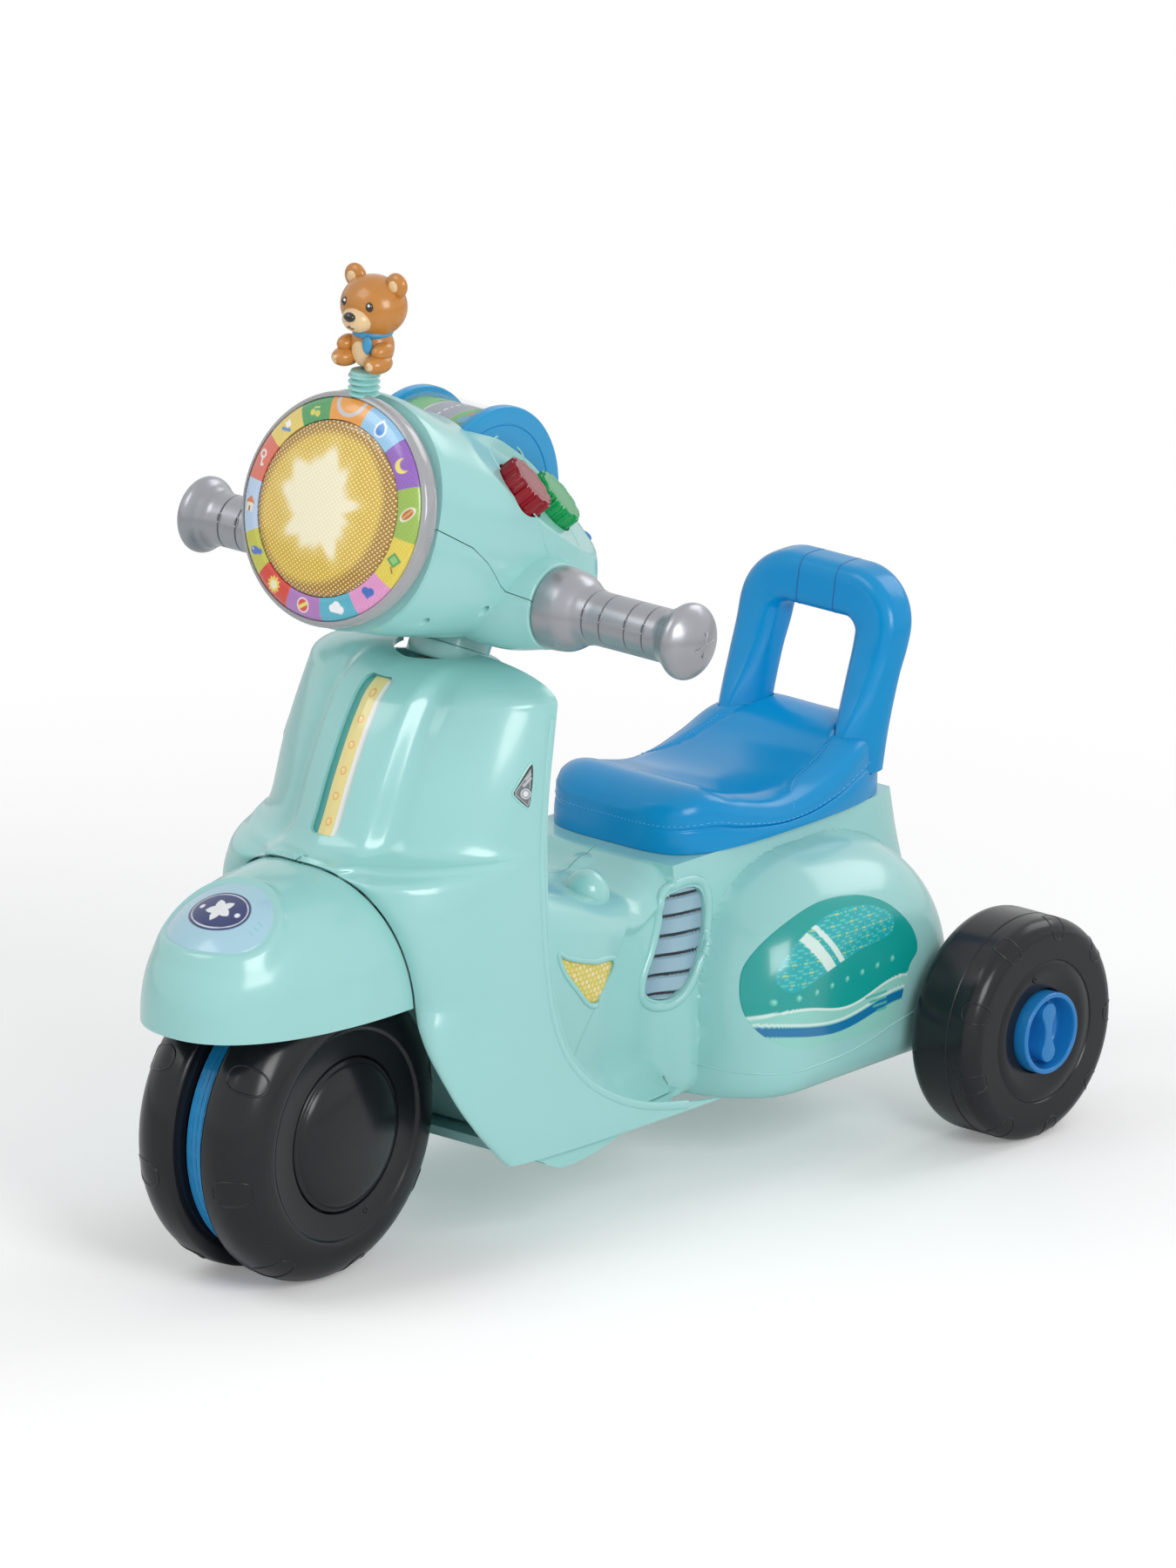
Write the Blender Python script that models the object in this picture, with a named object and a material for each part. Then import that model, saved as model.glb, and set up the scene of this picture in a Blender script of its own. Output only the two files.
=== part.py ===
"""Toddler scooter: a three-wheeled ride-on toy with a lit head, built as separate pieces.

Metres, +Z up. The front points along -Y and the rider's left is +X. The origin lies on the
ground under the middle of the scooter.
"""
import math

import bmesh
import bpy
from mathutils import Matrix, Vector

# General fit
GAP = 0.0003
WALL = 0.0026
SEAM = 0.00015

# Front wheel, two black halves on either side of the fork disc
FRONT_AXLE_Y = -0.2000
FRONT_R = 0.0823
FRONT_HALF_W = 0.0425
FRONT_INNER_X = 0.0085
FRONT_SHOULDER_R = 0.022
FRONT_CAP_R = 0.0415
FRONT_CAP_RISE = 0.0085
FORK_DISC_R = 0.0725
FORK_DISC_T = 0.0150
AXLE_R = 0.0050

# Rear wheels with their lock knobs
REAR_AXLE_Y = 0.2327
REAR_R = 0.0607
REAR_FACE_X = 0.1596
REAR_W = 0.0460
REAR_SHOULDER_R = 0.0095
KNOB_R = 0.0222
KNOB_PROUD = 0.0052
KNOB_DEPTH = 0.0170
KNOB_WALL = 0.0028
KNOB_BAR_LOBE_R = 0.0065
KNOB_BAR_PITCH = 0.0095

# Steering axis
STEER_Y = -0.0729
STEER_Z = 0.3067
STEER_RAKE = math.radians(25.0)
STEM_R = 0.0100
STEM_CLEAR = 0.0006
COLLAR_R = 0.0225
COLLAR_TOP = 0.0050
HOUSING_R = 0.0165
HOUSING_TOP = -0.0085
HOUSING_LENGTH = 0.105
HOUSING_WEB_LOW = 0.2350
HOUSING_WEB_TOP = 0.2880
BUSH_LENGTH = 0.014
BUSH_FLANGE_R = 0.0150
BUSH_FLANGE_T = 0.003

# Front fender
FENDER_HALF_W = 0.0610
FENDER_MAX_Y = -0.1700
FENDER_NOSE = 0.1235
FENDER_EDGE_Z = 0.1490
FENDER_CROWN = 0.0730
SEAM_TOP_Y = -0.1948
SEAM_SIDE_Y = -0.1700
FENDER_PAD_Y = -0.2540
FENDER_PAD_X = 0.033
FENDER_PAD_L = 0.026
FENDER_PAD_RISE = 0.0016

# Leg shield
SHIELD_WALL = 0.0030
SHIELD_LIP = 0.0012
SHIELD_TOP_Z = 0.2980
SHIELD_LOW_Z = 0.0560
RIDGE_HALF_W = 0.0265
RIDGE_RISE = 0.0050
SLOT_HALF_W = 0.0085
SLOT_DEPTH = 0.0014
SLOT_TOP_Z = 0.2960
SLOT_BOTTOM_Z = 0.2320

# Body
BODY_BOTTOM_Z = 0.0488
BODY_FRONT_Y = -0.0892
BODY_REAR_Y = 0.2440
BODY_TOP_Z = 0.1725
HOOD_TOP_Z = 0.1890
BULGE_X = 0.1065
BULGE_Y = 0.1400
BULGE_Z = 0.0730
BULGE_RY = 0.1060
BULGE_RZ = 0.0920
KNEE_BOSS_R = 0.0200
KNEE_BOSS_Y = 0.0440
FLOOR_T = 0.0140
FLOOR_TOP_Z = 0.0600
FLOOR_FRONT_Y = -0.1050
FLOOR_REAR_Y = 0.0300
FOOT_FILLET = 0.0240

# Seat and backrest
SEAT_FRONT_Y = 0.0600
SEAT_REAR_Y = 0.2380
SEAT_HALF_W = 0.0590
SEAT_BOTTOM_Z = BODY_TOP_Z + GAP
SEAT_EDGE_R = 0.0110
SEAT_BACK_RISE = 0.0050
BACK_HALF_W = 0.0545
BACK_LEG_X = 0.0400
BACK_TOP_Z = 0.2890
BACK_BAR_H = 0.0270

# Head, lamp, drum and handlebars
BAR_Y = -0.0765
BAR_Z = 0.3500
SOCKET_X = 0.0758
SOCKET_R = 0.0232
GRIP_END_X = 0.1775
GRIP_BOSS_R = 0.0218
GRIP_SHAFT_R = 0.0143
GRIP_KNOB_R = 0.0205
SPIGOT_R = 0.0100
SPIGOT_LENGTH = 0.0300
LAMP_Y = -0.1701
LAMP_Z = 0.4088
LAMP_TILT = math.radians(16.6)
BEZEL_R = 0.0620
RING_W = 0.0157
LENS_R = BEZEL_R - RING_W
BEZEL_DEPTH = 0.0170
LENS_DOME = 0.0045
DRUM_Y = -0.0740
DRUM_Z = 0.3945
DRUM_R = 0.0535
DRUM_HALF_L = 0.0300
DRUM_DISC_T = 0.0050
DRUM_CORE_R = 0.0440
DRUM_CLEAR = 0.0010
BUTTON_R = 0.0165
BUTTON_T = 0.0120
BUTTON_TEETH = 10
BUTTON_TRAVEL = 0.0020
BUTTON_PROUD = 0.0090
SWITCH_TRAVEL = 0.0240
SWITCH_X = 0.0350
SWITCH_Y = -0.0120
SWITCH_Z = 0.3590
SWITCH_LEAN = math.radians(55.0)
SWITCH_R = 0.0045

# Bear on its bendy neck
BEAR_Y = -0.1443
NECK_BASE_Z = 0.4600
NECK_TOP_Z = 0.4785
NECK_R = 0.0085
BEAR_BACK = 0.0070
BEAR_HEAD_Z = 0.5120
BEAR_HEAD_R = 0.0195

MINT = (0.39, 0.72, 0.64)
BLUE = (0.01, 0.32, 0.72)
KNOB_BLUE = (0.01, 0.23, 0.56)
TYRE_BLACK = (0.035, 0.038, 0.045)
SILVER = (0.36, 0.37, 0.40)
STEEL = (0.55, 0.56, 0.58)


def reset_scene():
    for item in list(bpy.data.objects):
        bpy.data.objects.remove(item, do_unlink=True)


def finish(name, color, roughness=0.35, metallic=0.0, alpha=1.0):
    """A plain Principled material for one piece."""
    made = bpy.data.materials.new(name)
    made.use_nodes = True
    shader = made.node_tree.nodes["Principled BSDF"]
    shader.inputs["Base Color"].default_value = (*color, 1.0)
    shader.inputs["Roughness"].default_value = roughness
    shader.inputs["Metallic"].default_value = metallic
    shader.inputs["Alpha"].default_value = alpha
    return made


def empty(name, location, rotation=(0.0, 0.0, 0.0), parent=None):
    holder = bpy.data.objects.new(name, None)
    holder.location = location
    holder.rotation_euler = rotation
    holder.parent = parent
    bpy.context.scene.collection.objects.link(holder)
    return holder


def add(name, bm, material, location=(0.0, 0.0, 0.0), rotation=(0.0, 0.0, 0.0), parent=None,
        cutter=False, angle=38.0):
    """Turn a bmesh into one named object, smooth except at sharp edges."""
    mesh = bpy.data.meshes.new(name)
    bm.to_mesh(mesh)
    bm.free()
    made = bpy.data.objects.new(name, mesh)
    made.location = location
    made.rotation_euler = rotation
    made.parent = parent
    bpy.context.scene.collection.objects.link(made)
    if cutter:
        made.hide_render = True
        made.display_type = "WIRE"
        return made
    mesh.shade_smooth()
    mesh.set_sharp_from_angle(angle=math.radians(angle))
    mesh.materials.append(material)
    return made


def solidify(obj, thickness):
    """Give an open surface a wall that grows inwards."""
    wall = obj.modifiers.new("Wall", "SOLIDIFY")
    wall.thickness = thickness
    wall.offset = -1.0
    return wall


def boolean(obj, cutter, operation="DIFFERENCE"):
    cut = obj.modifiers.new("Cut " + cutter.name, "BOOLEAN")
    cut.operation = operation
    cut.solver = "EXACT"
    cut.object = cutter
    return cut


def smoothstep(low, high, value):
    t = min(1.0, max(0.0, (value - low) / (high - low)))
    return t * t * (3.0 - 2.0 * t)


def interpolate(table, value):
    """Smooth curve through the (position, size) pairs of a table."""
    if value <= table[0][0]:
        return table[0][1]
    if value >= table[-1][0]:
        return table[-1][1]
    slopes = []
    for index, (position, size) in enumerate(table):
        before = table[max(index - 1, 0)]
        after = table[min(index + 1, len(table) - 1)]
        slopes.append((after[1] - before[1]) / (after[0] - before[0]))
    for index in range(len(table) - 1):
        p0, v0 = table[index]
        p1, v1 = table[index + 1]
        if value <= p1:
            span = p1 - p0
            t = (value - p0) / span
            a = (1.0 + 2.0 * t) * (1.0 - t) ** 2 * v0
            b = t * (1.0 - t) ** 2 * span * slopes[index]
            c = t * t * (3.0 - 2.0 * t) * v1
            d = t * t * (t - 1.0) * span * slopes[index + 1]
            return a + b + c + d
    return table[-1][1]


def super_part(share, power):
    """Height of a superellipse of radius 1 at a share of its half-width."""
    return max(0.0, 1.0 - abs(share) ** power) ** (1.0 / power)


def mapped_grid(columns, rows, place):
    """A grid whose corners (0..1, 0..1) are moved by place(a, b)."""
    bm = bmesh.new()
    bmesh.ops.create_grid(bm, x_segments=columns, y_segments=rows, size=0.5)
    for vert in bm.verts:
        vert.co = Vector(place(vert.co.x + 0.5, vert.co.y + 0.5))
    return bm


def mapped_cube(cuts, place):
    """A cube of side 2 cut into a lattice whose skin is moved by place(a, b, c)."""
    bm = bmesh.new()
    bmesh.ops.create_cube(bm, size=2.0)
    bmesh.ops.subdivide_edges(bm, edges=bm.edges[:], cuts=cuts, use_grid_fill=True)
    for vert in bm.verts:
        vert.co = Vector(place(*vert.co))
    bmesh.ops.recalc_face_normals(bm, faces=bm.faces[:])
    return bm


def lathe(profile, steps, axis="X"):
    """Turn (distance along the axis, radius) pairs about the axis into a closed solid."""
    bm = bmesh.new()
    verts = []
    for along, radius in profile:
        verts.append(bm.verts.new((along, 0.0, radius)))
    if profile[0] != profile[-1] and profile[0][1] > 0.0 and profile[-1][1] > 0.0:
        verts.append(verts[0])
    edges = [bm.edges.new(pair) for pair in zip(verts, verts[1:]) if pair[0] is not pair[1]]
    bmesh.ops.spin(bm, geom=bm.verts[:] + edges, cent=(0, 0, 0), axis=(1, 0, 0),
                   angle=math.tau, steps=steps, use_merge=True)
    bmesh.ops.remove_doubles(bm, verts=bm.verts[:], dist=1e-6)
    bmesh.ops.dissolve_degenerate(bm, edges=bm.edges[:], dist=1e-7)
    bmesh.ops.recalc_face_normals(bm, faces=bm.faces[:])
    if axis == "Z":
        bmesh.ops.rotate(bm, verts=bm.verts[:], matrix=Matrix.Rotation(-math.pi / 2, 3, "Y"))
    return bm


def arc(center, radius, start, end, count):
    """Points (along, radius) of an arc, angles in degrees from the axis direction."""
    points = []
    for index in range(count + 1):
        angle = math.radians(start + (end - start) * index / count)
        points.append((center[0] + radius * math.cos(angle), center[1] + radius * math.sin(angle)))
    return points


def tube(outer, inner, low, high, steps, axis="Z"):
    return lathe([(low, inner), (low, outer), (high, outer), (high, inner)], steps, axis)


def prism(outline, low, high, axis="X"):
    """A closed outline of (Y, Z) pairs, or (X, Y) for axis Z, run from low to high."""
    bm = bmesh.new()
    if axis == "X":
        verts = [bm.verts.new((low, y, z)) for y, z in outline]
        run = Vector((high - low, 0.0, 0.0))
    else:
        verts = [bm.verts.new((x, y, low)) for x, y in outline]
        run = Vector((0.0, 0.0, high - low))
    face = bm.faces.new(verts)
    grown = bmesh.ops.extrude_face_region(bm, geom=[face])
    moved = [item for item in grown["geom"] if isinstance(item, bmesh.types.BMVert)]
    bmesh.ops.translate(bm, verts=moved, vec=run)
    bmesh.ops.recalc_face_normals(bm, faces=bm.faces[:])
    return bm


def ball(radius, segments=16, rings=10, scale=(1.0, 1.0, 1.0), center=(0.0, 0.0, 0.0)):
    bm = bmesh.new()
    bmesh.ops.create_uvsphere(bm, u_segments=segments, v_segments=rings, radius=radius)
    bmesh.ops.scale(bm, verts=bm.verts[:], vec=scale)
    bmesh.ops.translate(bm, verts=bm.verts[:], vec=center)
    return bm


def mirror_half(bm):
    """Add the mirror image across X = 0 and weld the halves where they meet."""
    bmesh.ops.mirror(bm, geom=bm.verts[:] + bm.edges[:] + bm.faces[:], axis="X",
                     merge_dist=0.00005)
    bmesh.ops.remove_doubles(bm, verts=bm.verts[:], dist=0.00005)
    bmesh.ops.recalc_face_normals(bm, faces=bm.faces[:])
    return bm


def hang(piece, holder):
    """Parent a placed piece to a holder, so that it turns with it and stays where it is."""
    piece.parent = holder
    piece.matrix_parent_inverse = holder.matrix_basis.inverted()
    return piece


def front_wheel(parent):
    """Two hard black halves, each with a domed cap, free on the front axle."""
    black = finish("tyre black", TYRE_BLACK, 0.32)
    cap_black = finish("cap black", TYRE_BLACK, 0.28)
    centre = (FRONT_HALF_W - FRONT_SHOULDER_R, FRONT_R - FRONT_SHOULDER_R)
    profile = [(FRONT_INNER_X, AXLE_R + GAP * 2), (FRONT_INNER_X, FORK_DISC_R + 0.0015)]
    profile += [(FRONT_INNER_X + 0.0008, FRONT_R - 0.0035)]
    profile += [(FRONT_INNER_X + 0.0045, FRONT_R - 0.0005)]
    profile += [(p[0], p[1]) for p in arc(centre, FRONT_SHOULDER_R, 90, 8, 5)]
    profile += [(FRONT_HALF_W, FRONT_CAP_R + 0.0009)]
    profile += [(FRONT_HALF_W - 0.006, FRONT_CAP_R + GAP)]
    profile += [(FRONT_HALF_W - 0.006, AXLE_R + GAP * 2)]
    seat_x = FRONT_HALF_W - 0.006 + GAP
    rise = FRONT_HALF_W + FRONT_CAP_RISE
    cap = [(seat_x, 0.0), (seat_x, FRONT_CAP_R)]
    for index in range(6):
        angle = math.radians(18 * index)
        reach = FRONT_CAP_R * math.cos(angle) if index < 5 else 0.0
        cap.append((FRONT_HALF_W - 0.001 + (rise - FRONT_HALF_W + 0.001) * math.sin(angle), reach))
    for name, sign in (("left", 1), ("right", -1)):
        turn = (0.0, 0.0, 0.0) if sign > 0 else (0.0, 0.0, math.pi)
        add("front_wheel_" + name, lathe(profile, 28), black, rotation=turn, parent=parent)
        cap_bm = lathe(cap, 24)
        pocket = lathe([(0.0, 0.0), (0.0, AXLE_R + GAP), (FRONT_HALF_W, AXLE_R + GAP),
                        (FRONT_HALF_W, 0.0)], 16)
        made = add("front_cap_" + name, cap_bm, cap_black, rotation=turn, parent=parent)
        hole = add("front_cap_hole_" + name, pocket, None, rotation=turn, parent=parent, cutter=True)
        boolean(made, hole)


def fork(steer):
    """The blue disc that carries the front axle between the wheel halves, with its crown."""
    blue = finish("fork blue", BLUE, 0.4)
    axle_world = Vector((0.0, FRONT_AXLE_Y, FRONT_R))
    pivot = Vector((0.0, STEER_Y, STEER_Z))
    offset = axle_world - pivot
    cosine, sine = math.cos(STEER_RAKE), math.sin(STEER_RAKE)
    local_y = offset.y * cosine - offset.z * sine
    local_z = offset.y * sine + offset.z * cosine
    half = FORK_DISC_T / 2
    disc = lathe([(-half, 0.0), (-half, FORK_DISC_R - 0.002), (-half + 0.002, FORK_DISC_R),
                  (half - 0.002, FORK_DISC_R), (half, FORK_DISC_R - 0.002), (half, 0.0)], 40)
    bmesh.ops.translate(disc, verts=disc.verts[:], vec=(0.0, local_y, local_z))
    made = add("fork_disc", disc, blue, parent=steer)
    crown_top = local_z + FRONT_R + 0.020
    web = [(local_y - 0.030, local_z), (local_y + 0.036, local_z), (0.017, crown_top - 0.004),
           (0.012, crown_top), (-0.012, crown_top), (-0.017, crown_top - 0.004)]
    boolean(made, add("fork_web", prism(web, -half, half), None, parent=steer, cutter=True), "UNION")
    crown = lathe([(crown_top - 0.016, 0.0), (crown_top - 0.016, 0.0150), (crown_top - 0.012, 0.0165),
                   (crown_top, 0.0165), (crown_top, 0.0)], 20, "Z")
    boolean(made, add("fork_crown", crown, None, parent=steer, cutter=True), "UNION")
    socket = lathe([(crown_top - 0.012, 0.0), (crown_top - 0.012, STEM_R + GAP),
                    (crown_top + 0.01, STEM_R + GAP), (crown_top + 0.01, 0.0)], 20, "Z")
    boolean(made, add("fork_socket", socket, None, parent=steer, cutter=True))
    hole = lathe([(-0.05, 0.0), (-0.05, AXLE_R + GAP), (0.05, AXLE_R + GAP), (0.05, 0.0)], 16)
    bmesh.ops.translate(hole, verts=hole.verts[:], vec=(0.0, local_y, local_z))
    boolean(made, add("fork_bore", hole, None, parent=steer, cutter=True))
    steel = finish("steel", STEEL, 0.25, 1.0)
    reach = FRONT_HALF_W - 0.001
    add("front_axle", lathe([(-reach, 0.0), (-reach, AXLE_R - 0.001), (-reach + 0.001, AXLE_R),
                             (reach - 0.001, AXLE_R), (reach, AXLE_R - 0.001), (reach, 0.0)], 16),
        steel, location=(0.0, local_y, local_z), parent=steer)
    return crown_top


def steering_column(steer, crown_top):
    """Stem, bushes and the fixed housing that they run in."""
    steel = finish("stem steel", STEEL, 0.3, 1.0)
    nylon = finish("bush nylon", (0.75, 0.75, 0.72), 0.5)
    mint = finish("housing mint", MINT, 0.5)
    stem_low = crown_top - 0.012 + GAP
    add("steering_stem", lathe([(stem_low, 0.0), (stem_low, STEM_R - 0.001), (stem_low + 0.001, STEM_R),
                                (0.006, STEM_R), (0.007, STEM_R - 0.001), (0.007, 0.0)], 20, "Z"),
        steel, parent=steer)
    low = HOUSING_TOP - HOUSING_LENGTH
    bore = STEM_R + STEM_CLEAR + 0.002
    column = empty("column", (0.0, STEER_Y, STEER_Z), (-STEER_RAKE, 0.0, 0.0))
    body = lathe([(low, 0.0), (low, HOUSING_R), (HOUSING_TOP, HOUSING_R), (HOUSING_TOP, 0.0)], 24, "Z")
    made = add("steering_housing", body, mint, parent=column)
    levels = [HOUSING_WEB_LOW + (HOUSING_WEB_TOP - HOUSING_WEB_LOW) * step / 6 for step in range(7)]
    inner = SHIELD_WALL + GAP * 4 - RIDGE_RISE
    outline = [(shield_front_y(z) + inner, z) for z in levels]
    outline += [(back_panel_y(0.0, z) - WALL - GAP * 5, z) for z in reversed(levels)]
    boolean(made, add("housing_web", prism(outline, -0.002, 0.002), None, cutter=True), "UNION")
    hole = lathe([(low - 0.03, 0.0), (low - 0.03, bore), (0.02, bore), (0.02, 0.0)], 24, "Z")
    boolean(made, add("housing_bore", hole, None, parent=column, cutter=True))
    inner = STEM_R + STEM_CLEAR
    for name, end, sign in (("upper", HOUSING_TOP, 1), ("lower", low, -1)):
        face = end + sign * GAP
        profile = [(end - sign * BUSH_LENGTH, inner), (end - sign * BUSH_LENGTH, bore - GAP),
                   (face, bore - GAP), (face, BUSH_FLANGE_R), (face + sign * BUSH_FLANGE_T, BUSH_FLANGE_R),
                   (face + sign * BUSH_FLANGE_T, inner)]
        add(name + "_bush", lathe(profile, 24, "Z"), nylon, parent=column)


def fender_section(y, swing, grow=0.0):
    """Across and up of the fender's skin at a place along it, swing 0 at the top."""
    share = max(0.0, (FENDER_MAX_Y - y) / FENDER_NOSE)
    half = (FENDER_HALF_W + grow) * super_part(share, 2.3)
    crown = (FENDER_CROWN + grow) * super_part(share, 2.6)
    x = half * math.copysign(abs(math.sin(swing)) ** 0.86, swing)
    return x, FENDER_EDGE_Z + crown * max(0.0, math.cos(swing)) ** 0.80


def seam_y(swing):
    """The line where the fender meets the shield, from the top to the side."""
    return SEAM_TOP_Y + (SEAM_SIDE_Y - SEAM_TOP_Y) * (abs(swing) / math.radians(90.0)) ** 1.2


def shield_front_y(z):
    return interpolate([(0.2215, SEAM_TOP_Y + RIDGE_RISE), (0.2260, -0.1715), (0.2350, -0.1595), (0.26, -0.1450),
                        (0.285, -0.1300), (0.300, -0.1215)], z)


def shield_rear(z):
    """Rear edge of the shield's side at a height: how far out and how far back."""
    out = interpolate([(0.056, 0.0962), (0.065, 0.0950), (0.09, 0.0920), (0.15, 0.0890),
                       (0.22, 0.0865), (0.26, 0.0845), (0.30, 0.0800)], z)
    back = interpolate([(0.056, 0.0420), (0.060, 0.0150), (0.066, -0.0130), (0.077, -0.0400),
                        (0.092, -0.0620), (0.115, -0.0800), (0.15, -0.0900), (0.20, -0.0935),
                        (0.25, -0.0915), (0.30, -0.0790)], z)
    return out, back


def shield_opening(z):
    """Front edge of the shield beside the wheel: how far out and where along."""
    out = interpolate([(SHIELD_LOW_Z, 0.0860), (0.062, 0.0850), (0.105, 0.0800),
                       (FENDER_EDGE_Z, FENDER_HALF_W + SHIELD_LIP)], z)
    along = interpolate([(SHIELD_LOW_Z, -0.1300), (0.062, -0.1410), (0.105, -0.1597),
                         (FENDER_EDGE_Z, SEAM_SIDE_Y)], z)
    return out, along


def wing_x(y, z):
    """Half-width of the shield's outer skin at a place behind its front edge."""
    out, back = shield_rear(z)
    if z >= FENDER_EDGE_Z:
        return out
    open_x, open_y = shield_opening(z)
    share = min(1.0, max(0.0, (back - y) / (back - open_y)))
    return open_x + (out - open_x) * math.sqrt(1.0 - share * share) ** 0.9


def shield_place(a, b):
    """Half of the leg shield: a runs from its middle to its rear edge, b from bottom to top."""
    angle = math.radians(90.0 * a)
    arch_start, arch_end, top_start = 0.30, 0.56, 0.80
    arch_z = FENDER_EDGE_Z + FENDER_CROWN + SHIELD_LIP
    if b >= top_start:
        lift = math.radians(90.0 * (b - top_start) / (1.0 - top_start))
        z = SHIELD_TOP_Z + 0.0175 * math.sin(lift)
        out, back = shield_rear(SHIELD_TOP_Z)
        front = shield_front_y(SHIELD_TOP_Z)
        fade = math.cos(lift)
        shrink = fade * 0.56 + 0.44
        middle = STEER_Y - 0.006
        x = out * math.sin(angle) * shrink
        y = middle + (back - (back - front) * math.cos(angle) - middle) * shrink
        ridge = RIDGE_RISE * (1.0 - smoothstep(RIDGE_HALF_W - 0.005, RIDGE_HALF_W + 0.006, x)) * fade
        return (x, y - ridge, z)
    if b >= arch_end:
        z = arch_z + (SHIELD_TOP_Z - arch_z) * (b - arch_end) / (top_start - arch_end)
        open_x, open_y = 0.0, shield_front_y(z)
    elif b >= arch_start:
        turn = math.radians(90.0 * (arch_end - b) / (arch_end - arch_start))
        open_y = seam_y(turn)
        open_x, z = fender_section(open_y, turn, SHIELD_LIP)
        open_y += RIDGE_RISE * (1.0 - smoothstep(RIDGE_HALF_W - 0.005, RIDGE_HALF_W + 0.006, open_x))
    else:
        z = SHIELD_LOW_Z + (FENDER_EDGE_Z - SHIELD_LOW_Z) * b / arch_start
        open_x, open_y = shield_opening(z)
    out, back = shield_rear(z)
    x = open_x + (out - open_x) * math.sin(angle) ** 0.9
    y = back - (back - open_y) * math.cos(angle)
    ridge = RIDGE_RISE * (1.0 - smoothstep(RIDGE_HALF_W - 0.005, RIDGE_HALF_W + 0.006, x))
    return (x, y - ridge, z)


def leg_shield():
    """The front shield: one wall round the wheel arch, with a raised ridge and a slot."""
    mint = finish("shield mint", MINT, 0.22)
    bm = mapped_grid(11, 20, shield_place)
    mirror_half(bm)
    made = add("leg_shield", bm, mint)
    solidify(made, SHIELD_WALL)
    outline = []
    for z in (SLOT_BOTTOM_Z, 0.238, 0.255, 0.275, SLOT_TOP_Z):
        outline.append((shield_front_y(z) - RIDGE_RISE + SLOT_DEPTH, z))
    outline += [(y - 0.03, z) for y, z in reversed(outline)]
    slot = prism(outline, -SLOT_HALF_W, SLOT_HALF_W)
    boolean(made, add("shield_slot", slot, None, cutter=True))


def back_panel_y(x, z):
    """Rider's side of the rear panel, swelling round the steering column near the top."""
    limit = interpolate([(0.05, -0.0900), (0.12, -0.0900), (0.15, -0.0902), (0.20, -0.0940), (0.30, -0.0830)], z)
    swell = interpolate([(0.05, 0.0), (0.19, 0.0), (0.22, 0.012), (0.27, 0.031), (0.30, 0.0375)], z)
    share = min(1.0, abs(x) / 0.062)
    return limit + swell * (1.0 - share * share) ** 2


def back_place(a, b):
    """The shield's rear panel: a across, b from bottom to top."""
    z = 0.0615 + (0.302 - 0.0615) * b
    edge_y = back_panel_y(0.09, z) - WALL
    half = wing_x(edge_y, min(z, SHIELD_TOP_Z)) - SHIELD_WALL - 0.0010
    if z > 0.285:
        half *= 1.0 - 0.42 * ((z - 0.285) / 0.017) ** 2
    x = half * (2.0 * a - 1.0)
    return (x, back_panel_y(x, z), z)


def shield_back():
    mint = finish("back mint", MINT, 0.25)
    bm = mapped_grid(12, 8, back_place)
    bmesh.ops.reverse_faces(bm, faces=bm.faces[:])
    made = add("shield_back", bm, mint)
    solidify(made, WALL)


def fender_place(a, b):
    """The front fender: a across from side to side, b from the nose back to the seam."""
    swing = math.radians(90.0) * (2.0 * a - 1.0)
    rear = seam_y(swing) - GAP * 1.5
    nose = FENDER_MAX_Y - FENDER_NOSE
    y = rear + (nose - rear) * math.sin(math.radians(90.0) * (1.0 - b))
    x, z = fender_section(y, swing)
    pad = math.hypot(x / FENDER_PAD_X, (y - FENDER_PAD_Y) / FENDER_PAD_L)
    z += FENDER_PAD_RISE * (1.0 - smoothstep(0.86, 1.04, pad))
    return (x, y, z)


def front_fender():
    mint = finish("fender mint", MINT, 0.22)
    bm = mapped_grid(16, 11, fender_place)
    bmesh.ops.remove_doubles(bm, verts=bm.verts[:], dist=0.0004)
    bmesh.ops.recalc_face_normals(bm, faces=bm.faces[:])
    if sum(face.normal.z for face in bm.faces) < 0.0:
        bmesh.ops.reverse_faces(bm, faces=bm.faces[:])
    made = add("front_fender", bm, mint)
    solidify(made, WALL)


def body_top(y):
    top = interpolate([(-0.09, HOOD_TOP_Z), (-0.06, HOOD_TOP_Z - 0.0040), (-0.03, HOOD_TOP_Z - 0.0130),
                       (0.0, BODY_TOP_Z - 0.0065), (0.020, BODY_TOP_Z - 0.0105),
                       (0.035, BODY_TOP_Z - 0.0060), (0.050, BODY_TOP_Z), (SEAT_REAR_Y, BODY_TOP_Z)], y)
    return min(top, BODY_TOP_Z) if y > KNEE_BOSS_Y else top


def body_bottom(y):
    """Underside of the body, raised at the front where it stands on the floor pan."""
    return FLOOR_TOP_Z + GAP + (BODY_BOTTOM_Z - FLOOR_TOP_Z - GAP) * smoothstep(0.038, 0.052, y)


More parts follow.
